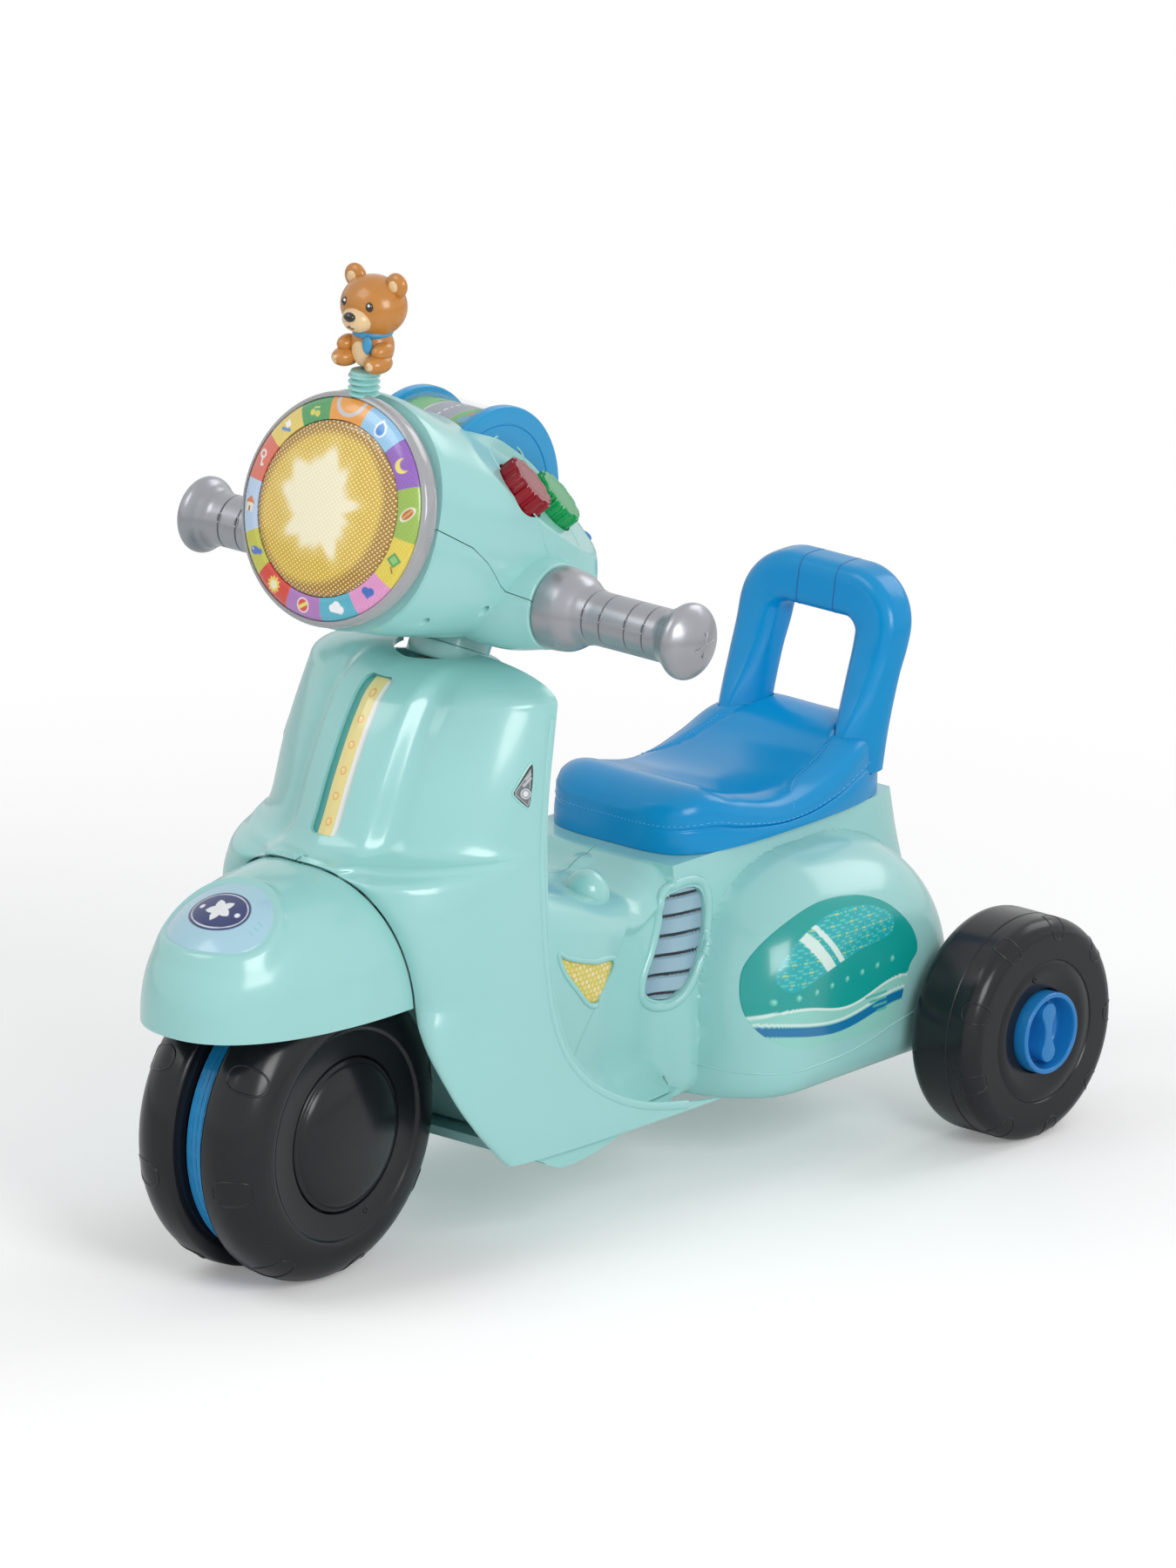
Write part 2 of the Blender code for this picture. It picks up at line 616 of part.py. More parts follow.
def body_side(y, z):
    """Half-width of the body at a place on its side."""
    top = body_top(y)
    base = interpolate([(-0.10, 0.0640), (-0.03, 0.0630), (0.01, 0.0585), (0.04, 0.0540),
                        (0.10, 0.0550), (0.24, 0.0560)], y)
    flare = interpolate([(0.04, 0.0100), (0.09, 0.0085), (0.13, 0.0040), (0.175, -0.0020)], z)
    foot = z - FLOOR_TOP_Z
    fillet = interpolate([(0.0, FOOT_FILLET), (0.004, FOOT_FILLET * 0.82), (0.012, FOOT_FILLET * 0.48),
                          (0.024, FOOT_FILLET * 0.20), (0.040, 0.004), (0.070, 0.003), (0.115, -0.002)], foot)
    board = 1.0 - smoothstep(0.030, 0.056, y)
    width = base + flare + (fillet - flare) * board
    if y < 0.05:
        crown = 0.022
        rise = min(1.0, max(0.0, (z - (top - crown)) / crown))
        width *= 0.62 + 0.38 * math.sqrt(max(0.0, 1.0 - rise ** 2.4))
    step = smoothstep(-0.052, -0.030, y - (z - 0.10) * 0.85)
    width -= 0.0055 * step * (1.0 - smoothstep(0.02, 0.06, y)) * (1.0 - smoothstep(top - 0.018, top - 0.004, z))
    dy = abs(y - BULGE_Y) / BULGE_RY
    dz = max(0.0, z - BULGE_Z) / BULGE_RZ
    r = (dy ** 2.5 + dz ** 2.5) ** (1.0 / 2.5)
    lobe = 0.0
    if r < 1.0:
        lobe = math.sqrt(1.0 - (max(0.0, r - 0.60) / 0.40) ** 2)
    width += max(0.0, BULGE_X - width) * lobe
    low = min(1.0, max(0.0, (body_bottom(y) + 0.014 - z) / 0.014)) * (1.0 - board)
    width -= 0.012 * (1.0 - math.sqrt(max(0.0, 1.0 - low * low)))
    rear = min(1.0, max(0.0, (y - (BODY_REAR_Y - 0.012)) / 0.022))
    width -= 0.016 * (1.0 - math.sqrt(max(0.0, 1.0 - rear * rear)))
    return width


def body_place(a, b):
    lean = interpolate([(0.0, 0.0), (0.35, 0.003), (0.6, 0.0015), (0.85, -0.004), (1.0, -0.008)], b)
    rear = BODY_REAR_Y + lean
    y = BODY_FRONT_Y + (rear - BODY_FRONT_Y) * a
    top = body_top(y)
    bottom = body_bottom(y)
    z = bottom + (top - bottom) * b
    return (body_side(y, z), y, z)


def body_half(name, sign, cutters):
    """One moulded half of the body, closed on the centre plane."""
    mint = finish(name + " mint", MINT, 0.22)
    bm = mapped_grid(24, 14, body_place)
    rim = [edge for edge in bm.edges if edge.is_boundary]
    grown = bmesh.ops.extrude_edge_only(bm, edges=rim)
    for item in grown["geom"]:
        if isinstance(item, bmesh.types.BMVert):
            item.co.x = -0.004
    bmesh.ops.holes_fill(bm, edges=[edge for edge in bm.edges if edge.is_boundary], sides=0)
    bmesh.ops.recalc_face_normals(bm, faces=bm.faces[:])
    if sign < 0:
        bmesh.ops.scale(bm, verts=bm.verts[:], vec=(-1.0, 1.0, 1.0))
        bmesh.ops.reverse_faces(bm, faces=bm.faces[:])
    made = add(name, bm, mint)
    centre = (0.0, KNEE_BOSS_Y, BODY_TOP_Z - KNEE_BOSS_R - 0.002)
    boss = ball(KNEE_BOSS_R, 18, 12, (0.95, 1.25, 1.0), centre)
    boolean(made, add(name + "_boss", boss, None, cutter=True), "UNION")
    for cutter in cutters:
        boolean(made, cutter)
    other = prism([(-0.2, -0.1), (0.4, -0.1), (0.4, 0.4), (-0.2, 0.4)], -0.3, SEAM)
    if sign < 0:
        bmesh.ops.scale(other, verts=other.verts[:], vec=(-1.0, 1.0, 1.0))
        bmesh.ops.reverse_faces(other, faces=other.faces[:])
    boolean(made, add(name + "_split", other, None, cutter=True))


def body():
    bore = lathe([(-0.16, 0.0), (-0.16, AXLE_R + GAP), (0.16, AXLE_R + GAP), (0.16, 0.0)], 16)
    axle_cut = add("rear_axle_cut", bore, None, location=(0.0, REAR_AXLE_Y, REAR_R), cutter=True)
    body_half("body_left", 1, [axle_cut])
    body_half("body_right", -1, [axle_cut])


def floor_pan():
    """The tray under the feet, between the shield's wings."""
    mint = finish("floor mint", MINT, 0.4)
    top = FLOOR_TOP_Z

    def place(a, b, c):
        y = FLOOR_FRONT_Y + (FLOOR_REAR_Y - FLOOR_FRONT_Y) * (b + 1.0) / 2.0
        half = wing_x(y, SHIELD_LOW_Z + 0.002) - SHIELD_WALL - 0.0012
        deep = FLOOR_T - 0.009 * smoothstep(0.080, -FLOOR_FRONT_Y, -y)
        return (half * a, y, top - deep * (1.0 - c) / 2.0)

    add("floor_pan", mapped_cube(3, place), mint)


def seat():
    blue = finish("seat blue", BLUE, 0.3)
    middle = (SEAT_FRONT_Y + SEAT_REAR_Y) / 2
    half_l = (SEAT_REAR_Y - SEAT_FRONT_Y) / 2
    top_line = [(SEAT_FRONT_Y, 0.2040), (0.085, 0.2050), (0.105, 0.1985), (0.135, 0.1915),
                (0.160, 0.1920), (0.185, 0.1985), (0.205, 0.2070), (SEAT_REAR_Y, 0.2160)]

    def place(a, b, c):
        plan_x = a * math.sqrt(1.0 - 0.24 * b * b)
        plan_y = b * math.sqrt(1.0 - 0.24 * a * a) / math.sqrt(0.76) * 0.90
        plan_x = plan_x / math.sqrt(0.76) * 0.90
        plan_x = max(-1.0, min(1.0, plan_x * 0.97))
        plan_y = max(-1.0, min(1.0, plan_y * 0.97))
        y = middle + half_l * plan_y
        taper = interpolate([(-1.0, 0.94), (0.0, 1.0), (1.0, 0.95)], plan_y)
        x = SEAT_HALF_W * taper * plan_x
        edge = max(abs(a), abs(b))
        top = interpolate(top_line, y)
        hollow = 0.003 * (1.0 - (x / SEAT_HALF_W) ** 2) * smoothstep(0.16, 0.20, y)
        drop = SEAT_EDGE_R * (1.0 - math.sqrt(max(0.0, 1.0 - max(0.0, (edge - 0.72) / 0.28) ** 2)))
        lift = SEAT_BACK_RISE * (y - SEAT_FRONT_Y) / (SEAT_REAR_Y - SEAT_FRONT_Y)
        low = SEAT_BOTTOM_Z
        high = top - drop - hollow
        share = (c + 1.0) / 2.0
        return (x * (1.0 - 0.02 * share), y, low + (high - low) * share + lift * share * 0.3)

    bm = mapped_cube(8, place)
    made = add("seat", bm, blue)
    for sign in (1, -1):
        boolean(made, add("seat_pocket", back_leg_bm(sign, GAP * 3), None, cutter=True))


def back_path(share):
    """Middle line of the backrest loop from one foot over the top to the other."""
    half_w = BACK_LEG_X
    height = BACK_TOP_Z - BACK_BAR_H / 2
    foot = 0.186
    corner = 0.020
    legs = height - corner - foot
    turn = corner * math.pi / 2
    bar = 2 * (half_w - corner)
    total = 2 * legs + 2 * turn + bar
    d = share * total
    if d < legs:
        return -half_w, foot + d, 0.0
    d -= legs
    if d < turn:
        angle = d / corner
        return -half_w + corner * (1 - math.cos(angle)), foot + legs + corner * math.sin(angle), angle
    d -= turn
    if d < bar:
        return -half_w + corner + d, height, math.pi / 2
    d -= bar
    if d < turn:
        angle = math.pi / 2 + d / corner
        return half_w - corner + corner * math.sin(angle - math.pi / 2), \
            height - corner + corner * math.cos(angle - math.pi / 2), angle
    d -= turn
    return half_w, foot + legs - d, math.pi


def back_section(z):
    """Depth range and half-thickness of the backrest at a height."""
    front = interpolate([(0.185, 0.1960), (0.205, 0.2020), (0.23, 0.2150), (0.25, 0.2240),
                         (0.27, 0.2290), (0.29, 0.2320)], z)
    rear = interpolate([(0.185, 0.2370), (0.21, 0.2420), (0.25, 0.2490), (0.27, 0.2530),
                        (0.29, 0.2560)], z)
    return front, rear


def backrest():
    blue = finish("back blue", BLUE, 0.3)

    def place(a, b):
        x, z, angle = back_path(b)
        half = BACK_BAR_H / 2 if abs(angle - math.pi / 2) < 0.8 else BACK_HALF_W - BACK_LEG_X
        turn = math.tau * a
        across = math.copysign(abs(math.cos(turn)) ** 0.55, math.cos(turn))
        deep = math.copysign(abs(math.sin(turn)) ** 0.55, math.sin(turn))
        out_x = x - half * across * math.cos(angle)
        out_z = z + half * across * math.sin(angle)
        front, rear = back_section(out_z)
        y = (front + rear) / 2 + (rear - front) / 2 * deep
        return (out_x, y, out_z)

    bm = mapped_grid(12, 24, place)
    bmesh.ops.remove_doubles(bm, verts=bm.verts[:], dist=0.00005)
    bmesh.ops.holes_fill(bm, edges=[edge for edge in bm.edges if edge.is_boundary], sides=0)
    bmesh.ops.recalc_face_normals(bm, faces=bm.faces[:])
    add("backrest", bm, blue)


def back_leg_bm(sign, grow):
    """The foot of one backrest leg, grown by a clearance, to cut its pocket in the seat."""
    half = BACK_HALF_W - BACK_LEG_X + grow
    outline = []
    for z in (0.1855, 0.205, 0.225):
        outline.append((back_section(z)[0] - grow, z))
    for z in (0.225, 0.205, 0.1855):
        outline.append((back_section(z)[1] + grow, z))
    return prism(outline, sign * BACK_LEG_X - half, sign * BACK_LEG_X + half)


def rear_wheels():
    black = finish("rear black", TYRE_BLACK, 0.34)
    knob_blue = finish("knob blue", KNOB_BLUE, 0.3)
    steel = finish("axle steel", STEEL, 0.25, 1.0)
    inner = REAR_FACE_X - REAR_W
    centre_out = (REAR_FACE_X - REAR_SHOULDER_R, REAR_R - REAR_SHOULDER_R)
    centre_in = (inner + REAR_SHOULDER_R, REAR_R - REAR_SHOULDER_R)
    pocket_r = KNOB_R + GAP * 2
    floor_x = REAR_FACE_X + KNOB_PROUD - KNOB_DEPTH - GAP
    profile = [(inner + 0.006, AXLE_R + GAP * 2), (inner + 0.006, 0.030), (inner, 0.033), (inner, 0.046)]
    profile += arc(centre_in, REAR_SHOULDER_R, 180, 90, 3)
    profile += arc(centre_out, REAR_SHOULDER_R, 90, 0, 3)
    profile += [(REAR_FACE_X, pocket_r + 0.0022),
                (REAR_FACE_X - 0.0018, pocket_r), (floor_x, pocket_r), (floor_x, AXLE_R + GAP * 2)]
    knob_in = REAR_FACE_X + KNOB_PROUD - KNOB_DEPTH
    cup_floor = REAR_FACE_X - 0.004
    knob = [(knob_in, 0.0), (knob_in, KNOB_R - 0.001), (knob_in + 0.001, KNOB_R),
            (REAR_FACE_X + KNOB_PROUD - 0.001, KNOB_R), (REAR_FACE_X + KNOB_PROUD, KNOB_R - 0.0008),
            (REAR_FACE_X + KNOB_PROUD, KNOB_R - KNOB_WALL), (cup_floor, KNOB_R - KNOB_WALL - 0.001),
            (cup_floor, 0.0)]
    axle_end = knob_in - GAP
    for name, sign in (("left", 1), ("right", -1)):
        turn = (0.0, 0.0, 0.0) if sign > 0 else (0.0, 0.0, math.pi)
        place = empty("rear_hub_" + name, (0.0, REAR_AXLE_Y, REAR_R), turn)
        add("rear_wheel_" + name, lathe(profile, 28), black, parent=place)
        cap = add("lock_knob_" + name, lathe(knob, 20), knob_blue, parent=place)
        outline = []
        for end in (1, -1):
            for index in range(9):
                angle = math.radians(-120 + 240 * index / 8)
                px = KNOB_BAR_LOBE_R * math.sin(angle)
                pz = end * (KNOB_BAR_PITCH + KNOB_BAR_LOBE_R * math.cos(angle))
                outline.append((px * end, pz))
        bar = prism(outline, cup_floor - 0.001, REAR_FACE_X + KNOB_PROUD - 0.0015)
        boolean(cap, add("knob_bar_" + name, bar, None, parent=place, cutter=True), "UNION")
    add("rear_axle", lathe([(-axle_end, 0.0), (-axle_end, AXLE_R - 0.001), (-axle_end + 0.001, AXLE_R),
                            (axle_end - 0.001, AXLE_R), (axle_end, AXLE_R - 0.001), (axle_end, 0.0)], 16),
        steel, location=(0.0, REAR_AXLE_Y, REAR_R))


HEAD_TOP = [(-0.1505, 0.4640), (-0.1205, 0.4530), (-0.0855, 0.4420), (-0.0605, 0.4310), (-0.0405, 0.4130),
            (-0.0205, 0.3870), (-0.0055, 0.3560)]
HEAD_LOW = [(-0.1505, 0.3420), (-0.1205, 0.3270), (-0.0855, 0.3160), (-0.0605, 0.3125), (-0.0255, 0.3140),
            (-0.0055, 0.3260)]
HEAD_HALF = [(-0.1505, 0.0590), (-0.1205, 0.0630), (-0.0855, 0.0665), (-0.0605, 0.0670), (-0.0355, 0.0640),
             (-0.0205, 0.0570), (-0.0055, 0.0400)]
HEAD_REAR_Y = HEAD_TOP[-1][0]


def head_front_y():
    """Where the plane of the bezel's back meets the head's middle height."""
    middle = (HEAD_TOP[0][1] + HEAD_LOW[0][1]) / 2
    depth = (BEZEL_DEPTH + GAP) / math.cos(LAMP_TILT)
    return LAMP_Y + depth + (middle - LAMP_Z) * math.tan(LAMP_TILT)


def head_place(a, b):
    """The head's skin: a goes round, b runs from the lamp to the rider's side."""
    front = head_front_y()
    y = front + (HEAD_REAR_Y - front) * b
    top, low, half = (interpolate(table, y) for table in (HEAD_TOP, HEAD_LOW, HEAD_HALF))
    turn = math.tau * a
    side = math.copysign(abs(math.sin(turn)) ** 0.88, math.sin(turn))
    rise = math.copysign(abs(math.cos(turn)) ** 0.88, math.cos(turn))
    x = half * side
    z = (top + low) / 2 + (top - low) / 2 * rise
    lean = 1.0 - smoothstep(0.0, 0.45, b)
    y += (z - (top + low) / 2) * math.tan(LAMP_TILT) * lean
    point = Vector((abs(x), y, z))
    over = max(0.0, (point - Vector(PANEL_CENTRE)).dot(panel_normal()))
    point -= panel_normal() * over * smoothstep(0.029, 0.038, abs(x))
    return (math.copysign(point.x, x), point.y, point.z)


def head_bm():
    bm = mapped_grid(24, 9, head_place)
    bmesh.ops.remove_doubles(bm, verts=bm.verts[:], dist=0.0001)
    rear = [vert for vert in bm.verts if vert.is_boundary and vert.co.y > -0.05]
    edges = [edge for edge in bm.edges if edge.is_boundary and edge.verts[0] in rear]
    for shrink, back in ((0.72, 0.0045), (0.38, 0.0025)):
        grown = bmesh.ops.extrude_edge_only(bm, edges=edges)
        moved = [item for item in grown["geom"] if isinstance(item, bmesh.types.BMVert)]
        edges = [item for item in grown["geom"] if isinstance(item, bmesh.types.BMEdge)]
        middle = sum((vert.co for vert in moved), Vector()) / len(moved)
        for vert in moved:
            vert.co = middle + (vert.co - middle) * shrink
            vert.co.y += back
    bmesh.ops.holes_fill(bm, edges=[edge for edge in bm.edges if edge.is_boundary], sides=0)
    bmesh.ops.recalc_face_normals(bm, faces=bm.faces[:])
    return bm


def seam_outline(offset):
    """Region above the head's split line, moved by an offset."""
    line = [(-0.24, 0.4550), (-0.1528, 0.4054), (-0.1285, 0.3910), (-0.1053, 0.3649), (-0.0971, 0.3590),
            (BAR_Y, BAR_Z), (0.05, BAR_Z)]
    outline = [(y, z + offset) for y, z in line]
    return outline + [(0.05, 0.52), (-0.24, 0.52)]


BUTTONS = (
    ("red", 1, (0.0520, -0.0799, 0.4087), (0.55, 0.01, 0.02)),
    ("green", 1, (0.0465, -0.0479, 0.3938), (0.02, 0.52, 0.08)),
    ("yellow", -1, (0.0520, -0.0799, 0.4087), (0.80, 0.55, 0.02)),
    ("blue", -1, (0.0465, -0.0479, 0.3938), (0.02, 0.15, 0.62)),
)
PANEL_CENTRE = (0.0492, -0.0639, 0.4012)


def panel_normal():
    return Vector((0.62, 0.45, 0.64)).normalized()


def gear_bm(radius, teeth, low, high, depth):
    """A round puck with rounded teeth, its top edge bevelled."""
    outline = []
    for index in range(teeth * 4):
        angle = math.tau * index / (teeth * 4)
        reach = radius - (depth if index % 4 in (2, 3) else 0.0)
        outline.append((reach * math.cos(angle), reach * math.sin(angle)))
    bm = prism(outline, low, high, "Z")
    top = [vert for vert in bm.verts if vert.co.z > high - 1e-6]
    for vert in top:
        vert.co.x *= 0.93
        vert.co.y *= 0.93
    return bm


def button_place(button):
    sign, base = button[1], Vector(button[2])
    normal = panel_normal()
    base -= normal * (base - Vector(PANEL_CENTRE)).dot(normal)
    base.x *= sign
    normal.x *= sign
    return base, normal.to_track_quat("Z", "Y").to_euler()


def buttons(steer):
    for button in BUTTONS:
        tint = finish(button[0] + " clear", button[3], 0.15)
        point, rotation = button_place(button)
        bm = gear_bm(BUTTON_R, BUTTON_TEETH, BUTTON_PROUD - BUTTON_T, BUTTON_PROUD, 0.0012)
        hang(add("button_" + button[0], bm, tint, location=point, rotation=rotation), steer)


def mode_switch(steer):
    """A small knob that slides along X in a flat-floored recess facing the rider."""
    made = finish("switch blue", KNOB_BLUE, 0.3)
    place = hang(empty("switch_place", (SWITCH_X, SWITCH_Y, SWITCH_Z), (-SWITCH_LEAN, 0.0, 0.0)), steer)
    profile = [(GAP, 0.0), (GAP, SWITCH_R), (0.0085, SWITCH_R - 0.0004), (0.0100, SWITCH_R - 0.0020),
               (0.0100, 0.0)]
    add("mode_switch", lathe(profile, 20, "Z"), made, parent=place)
    reach = SWITCH_R + GAP * 2
    run = SWITCH_TRAVEL + reach
    bm = prism([(-run, -reach), (reach, -reach), (reach, reach), (-run, reach)], 0.0, 0.03, "Z")
    return add("switch_recess", bm, None, parent=place, cutter=True)


def head(steer):
    """Upper and lower head mouldings with the wells that hold the drum, buttons and grips."""
    mint = finish("head mint", MINT, 0.22)
    mint_low = finish("lower head mint", MINT, 0.22)
    upper = hang(add("head_upper", head_bm(), mint), steer)
    lower = hang(add("head_lower", head_bm(), mint_low), steer)
    flare = [(0.040, 0.0), (0.040, 0.0330), (0.052, 0.0300), (0.062, 0.0265), (0.070, 0.0242),
             (SOCKET_X - 0.001, SOCKET_R), (SOCKET_X, SOCKET_R - 0.0008), (SOCKET_X, 0.0)]
    spigot = [(SOCKET_X - SPIGOT_LENGTH - GAP, 0.0), (SOCKET_X - SPIGOT_LENGTH - GAP, SPIGOT_R + GAP),
              (SOCKET_X + 0.01, SPIGOT_R + GAP), (SOCKET_X + 0.01, 0.0)]
    sockets, spigots = [], []
    for name, turn in (("left", 0.0), ("right", math.pi)):
        sockets.append(add("socket_" + name, lathe(flare, 32), None, (0.0, BAR_Y, BAR_Z),
                           (0.0, 0.0, turn), cutter=True))
        spigots.append(add("spigot_cut_" + name, lathe(spigot, 20), None, (0.0, BAR_Y, BAR_Z),
                           (0.0, 0.0, turn), cutter=True))
    up_prism = add("split_up", prism(seam_outline(SEAM), -0.12, 0.12), None, cutter=True)
    low_prism = add("split_low", prism(seam_outline(-SEAM), -0.12, 0.12), None, cutter=True)
    drum_reach = DRUM_HALF_L + DRUM_CLEAR
    shaft_reach = DRUM_HALF_L + 0.0068
    drum_well = lathe([(-shaft_reach, 0.0), (-shaft_reach, 0.004 + GAP), (-drum_reach, 0.004 + GAP),
                       (-drum_reach, DRUM_R + DRUM_CLEAR), (drum_reach, DRUM_R + DRUM_CLEAR),
                       (drum_reach, 0.004 + GAP), (shaft_reach, 0.004 + GAP), (shaft_reach, 0.0)], 32)
    well = add("drum_well", drum_well, None, (0.0, DRUM_Y, DRUM_Z), cutter=True)
    stem_hole = lathe([(-0.05, 0.0), (-0.05, STEM_R + GAP), (0.0075, STEM_R + GAP), (0.0075, 0.0)], 20, "Z")
    stem_cut = add("stem_cut", stem_hole, None, parent=steer, cutter=True)
    neck = lathe([(COLLAR_TOP + GAP, 0.0), (COLLAR_TOP + GAP, COLLAR_R - 0.002), (0.03, COLLAR_R - 0.002),
                  (0.03, 0.0)], 28, "Z")
    boolean(lower, add("head_neck", neck, None, parent=steer, cutter=True), "UNION")
    clear = lathe([(-0.03, 0.0), (-0.03, COLLAR_R + 0.001), (COLLAR_TOP + GAP, COLLAR_R + 0.001),
                   (COLLAR_TOP + GAP, 0.0)], 28, "Z")
    boolean(lower, add("collar_clear", clear, None, parent=steer, cutter=True))
    for made, prism_obj, mode in ((upper, up_prism, "INTERSECT"), (lower, low_prism, "DIFFERENCE")):
        for socket in sockets:
            boolean(made, socket, "UNION")
        boolean(made, prism_obj, mode)
        boolean(made, well)
        for cut in spigots:
            boolean(made, cut)
    boolean(lower, stem_cut)
    for button in BUTTONS:
        point, rotation = button_place(button)
        depth = BUTTON_PROUD - BUTTON_T - BUTTON_TRAVEL - GAP * 2
        hole = lathe([(depth, 0.0), (depth, BUTTON_R + GAP * 2), (0.03, BUTTON_R + GAP * 2), (0.03, 0.0)],
                     28, "Z")
        boolean(upper, add("well_" + button[0], hole, None, point, rotation, cutter=True))
    boolean(upper, mode_switch(steer))


def neck_collar(steer):
    mint = finish("collar mint", MINT, 0.25)
    bore = STEM_R + GAP
    profile = [(-0.0045, bore), (-0.0045, COLLAR_R - 0.001), (-0.0035, COLLAR_R), (COLLAR_TOP, COLLAR_R),
               (COLLAR_TOP, bore)]
    add("neck_collar", lathe(profile, 28, "Z"), mint, parent=steer)


def grips(steer):
    """Two silver grips plugged into the head's sockets."""
    silver = finish("grip silver", SILVER, 0.35, 0.4)
    start = SOCKET_X + GAP
    profile = [(SOCKET_X - SPIGOT_LENGTH, 0.0), (SOCKET_X - SPIGOT_LENGTH, SPIGOT_R - 0.001),
               (SOCKET_X - SPIGOT_LENGTH + 0.001, SPIGOT_R), (start, SPIGOT_R), (start, SOCKET_R - 0.0022),
               (start + 0.0020, SOCKET_R - 0.0010), (start + 0.010, GRIP_BOSS_R),
               (start + 0.0165, GRIP_BOSS_R - 0.0018), (start + 0.0225, GRIP_BOSS_R - 0.0055),
               (start + 0.0290, GRIP_SHAFT_R + 0.0006), (start + 0.0330, GRIP_SHAFT_R)]
    profile += [(start + 0.0765, GRIP_SHAFT_R), (start + 0.0805, GRIP_SHAFT_R + 0.0020),
                (start + 0.0850, GRIP_KNOB_R - 0.0018), (start + 0.0885, GRIP_KNOB_R),
                (start + 0.0920, GRIP_KNOB_R - 0.0010), (start + 0.0965, GRIP_KNOB_R - 0.0065),
                (GRIP_END_X - 0.0012, GRIP_KNOB_R - 0.0125), (GRIP_END_X, 0.0)]
    for name, turn in (("left", 0.0), ("right", math.pi)):
        grip = add("grip_" + name, lathe(profile, 20), silver, (0.0, BAR_Y, BAR_Z), (0.0, 0.0, turn))
        hang(grip, steer)


def lamp(steer):
    """Bezel, printed ring, lens, reflector and LED board, all turned about the lamp's axis."""
    place = hang(empty("lamp", (0.0, LAMP_Y, LAMP_Z), (math.pi / 2 - LAMP_TILT, 0.0, 0.0)), steer)
    rim = finish("bezel clear", (0.62, 0.63, 0.65), 0.15)
    ring = finish("ring print", (0.75, 0.55, 0.30), 0.2)
    glass = finish("lens yellow", (0.90, 0.72, 0.12), 0.1)
    chrome = finish("reflector", (0.85, 0.85, 0.82), 0.15, 1.0)
    board = finish("board green", (0.05, 0.25, 0.08), 0.5)
    notch = lathe([(-0.0065, 0.0), (-0.0065, 0.0066), (0.0010, 0.0066), (0.0200, 0.0100), (0.0200, 0.0)],
                  20, "Z")
    notch_cut = add("neck_notch", notch, None, (0.0, BEAR_Y, NECK_BASE_Z), cutter=True)
    back = -BEZEL_DEPTH
    bezel = [(back, 0.0), (back, BEZEL_R - 0.0060), (back + 0.003, BEZEL_R - 0.0020),
             (back + 0.009, BEZEL_R), (-0.0040, BEZEL_R - 0.0004), (-0.0012, BEZEL_R - 0.0020),
             (0.0, BEZEL_R - 0.0045), (-0.0028, BEZEL_R - 0.0060), (-0.0028, LENS_R + GAP),
             (-0.0120, LENS_R + GAP), (-0.0120, 0.0)]
    boolean(add("lamp_bezel", lathe(bezel, 30, "Z"), rim, parent=place), notch_cut)
    low = -0.0028 + GAP
    outer = BEZEL_R - 0.0060 - GAP
    add("lamp_ring", lathe([(low, LENS_R + GAP), (low, outer), (0.0, outer - 0.0003),
                            (0.0022, LENS_R + 0.0035), (0.0026, LENS_R + GAP)], 30, "Z"), ring, parent=place)
    lens = [(-0.0050, LENS_R - 0.0022), (-0.0050, LENS_R - 0.0002), (0.0026, LENS_R - 0.0002)]
    inner = []
    for index in range(3):
        share = 1.0 - index / 3.0
        lens.append((0.0030 + LENS_DOME * (1.0 - share * share), (LENS_R - 0.001) * share))
        inner.append((0.0008 + LENS_DOME * (1.0 - share * share), (LENS_R - 0.0022) * share))
    lens.append((0.0030 + LENS_DOME, 0.0))
    lens_inner = [(0.0008 + LENS_DOME, 0.0)] + list(reversed(inner))
    add("lamp_lens", lathe(lens + lens_inner + [(-0.0050, LENS_R - 0.0022)], 28, "Z"), glass, parent=place)
    mirror = [(-0.0120 + GAP, 0.0130), (-0.0120 + GAP, 0.0165), (-0.0066, LENS_R - 0.0008),
              (-0.0052, LENS_R - 0.0008), (-0.0052, LENS_R - 0.0040), (-0.0105, 0.0130)]
    add("lamp_reflector", lathe(mirror, 28, "Z"), chrome, parent=place)
    plate = lathe([(-0.0120 + GAP, 0.0), (-0.0120 + GAP, 0.0120), (-0.0104, 0.0120), (-0.0104, 0.0045),
                   (-0.0075, 0.0030), (-0.0070, 0.0)], 16, "Z")
    add("lamp_board", plate, board, parent=place)


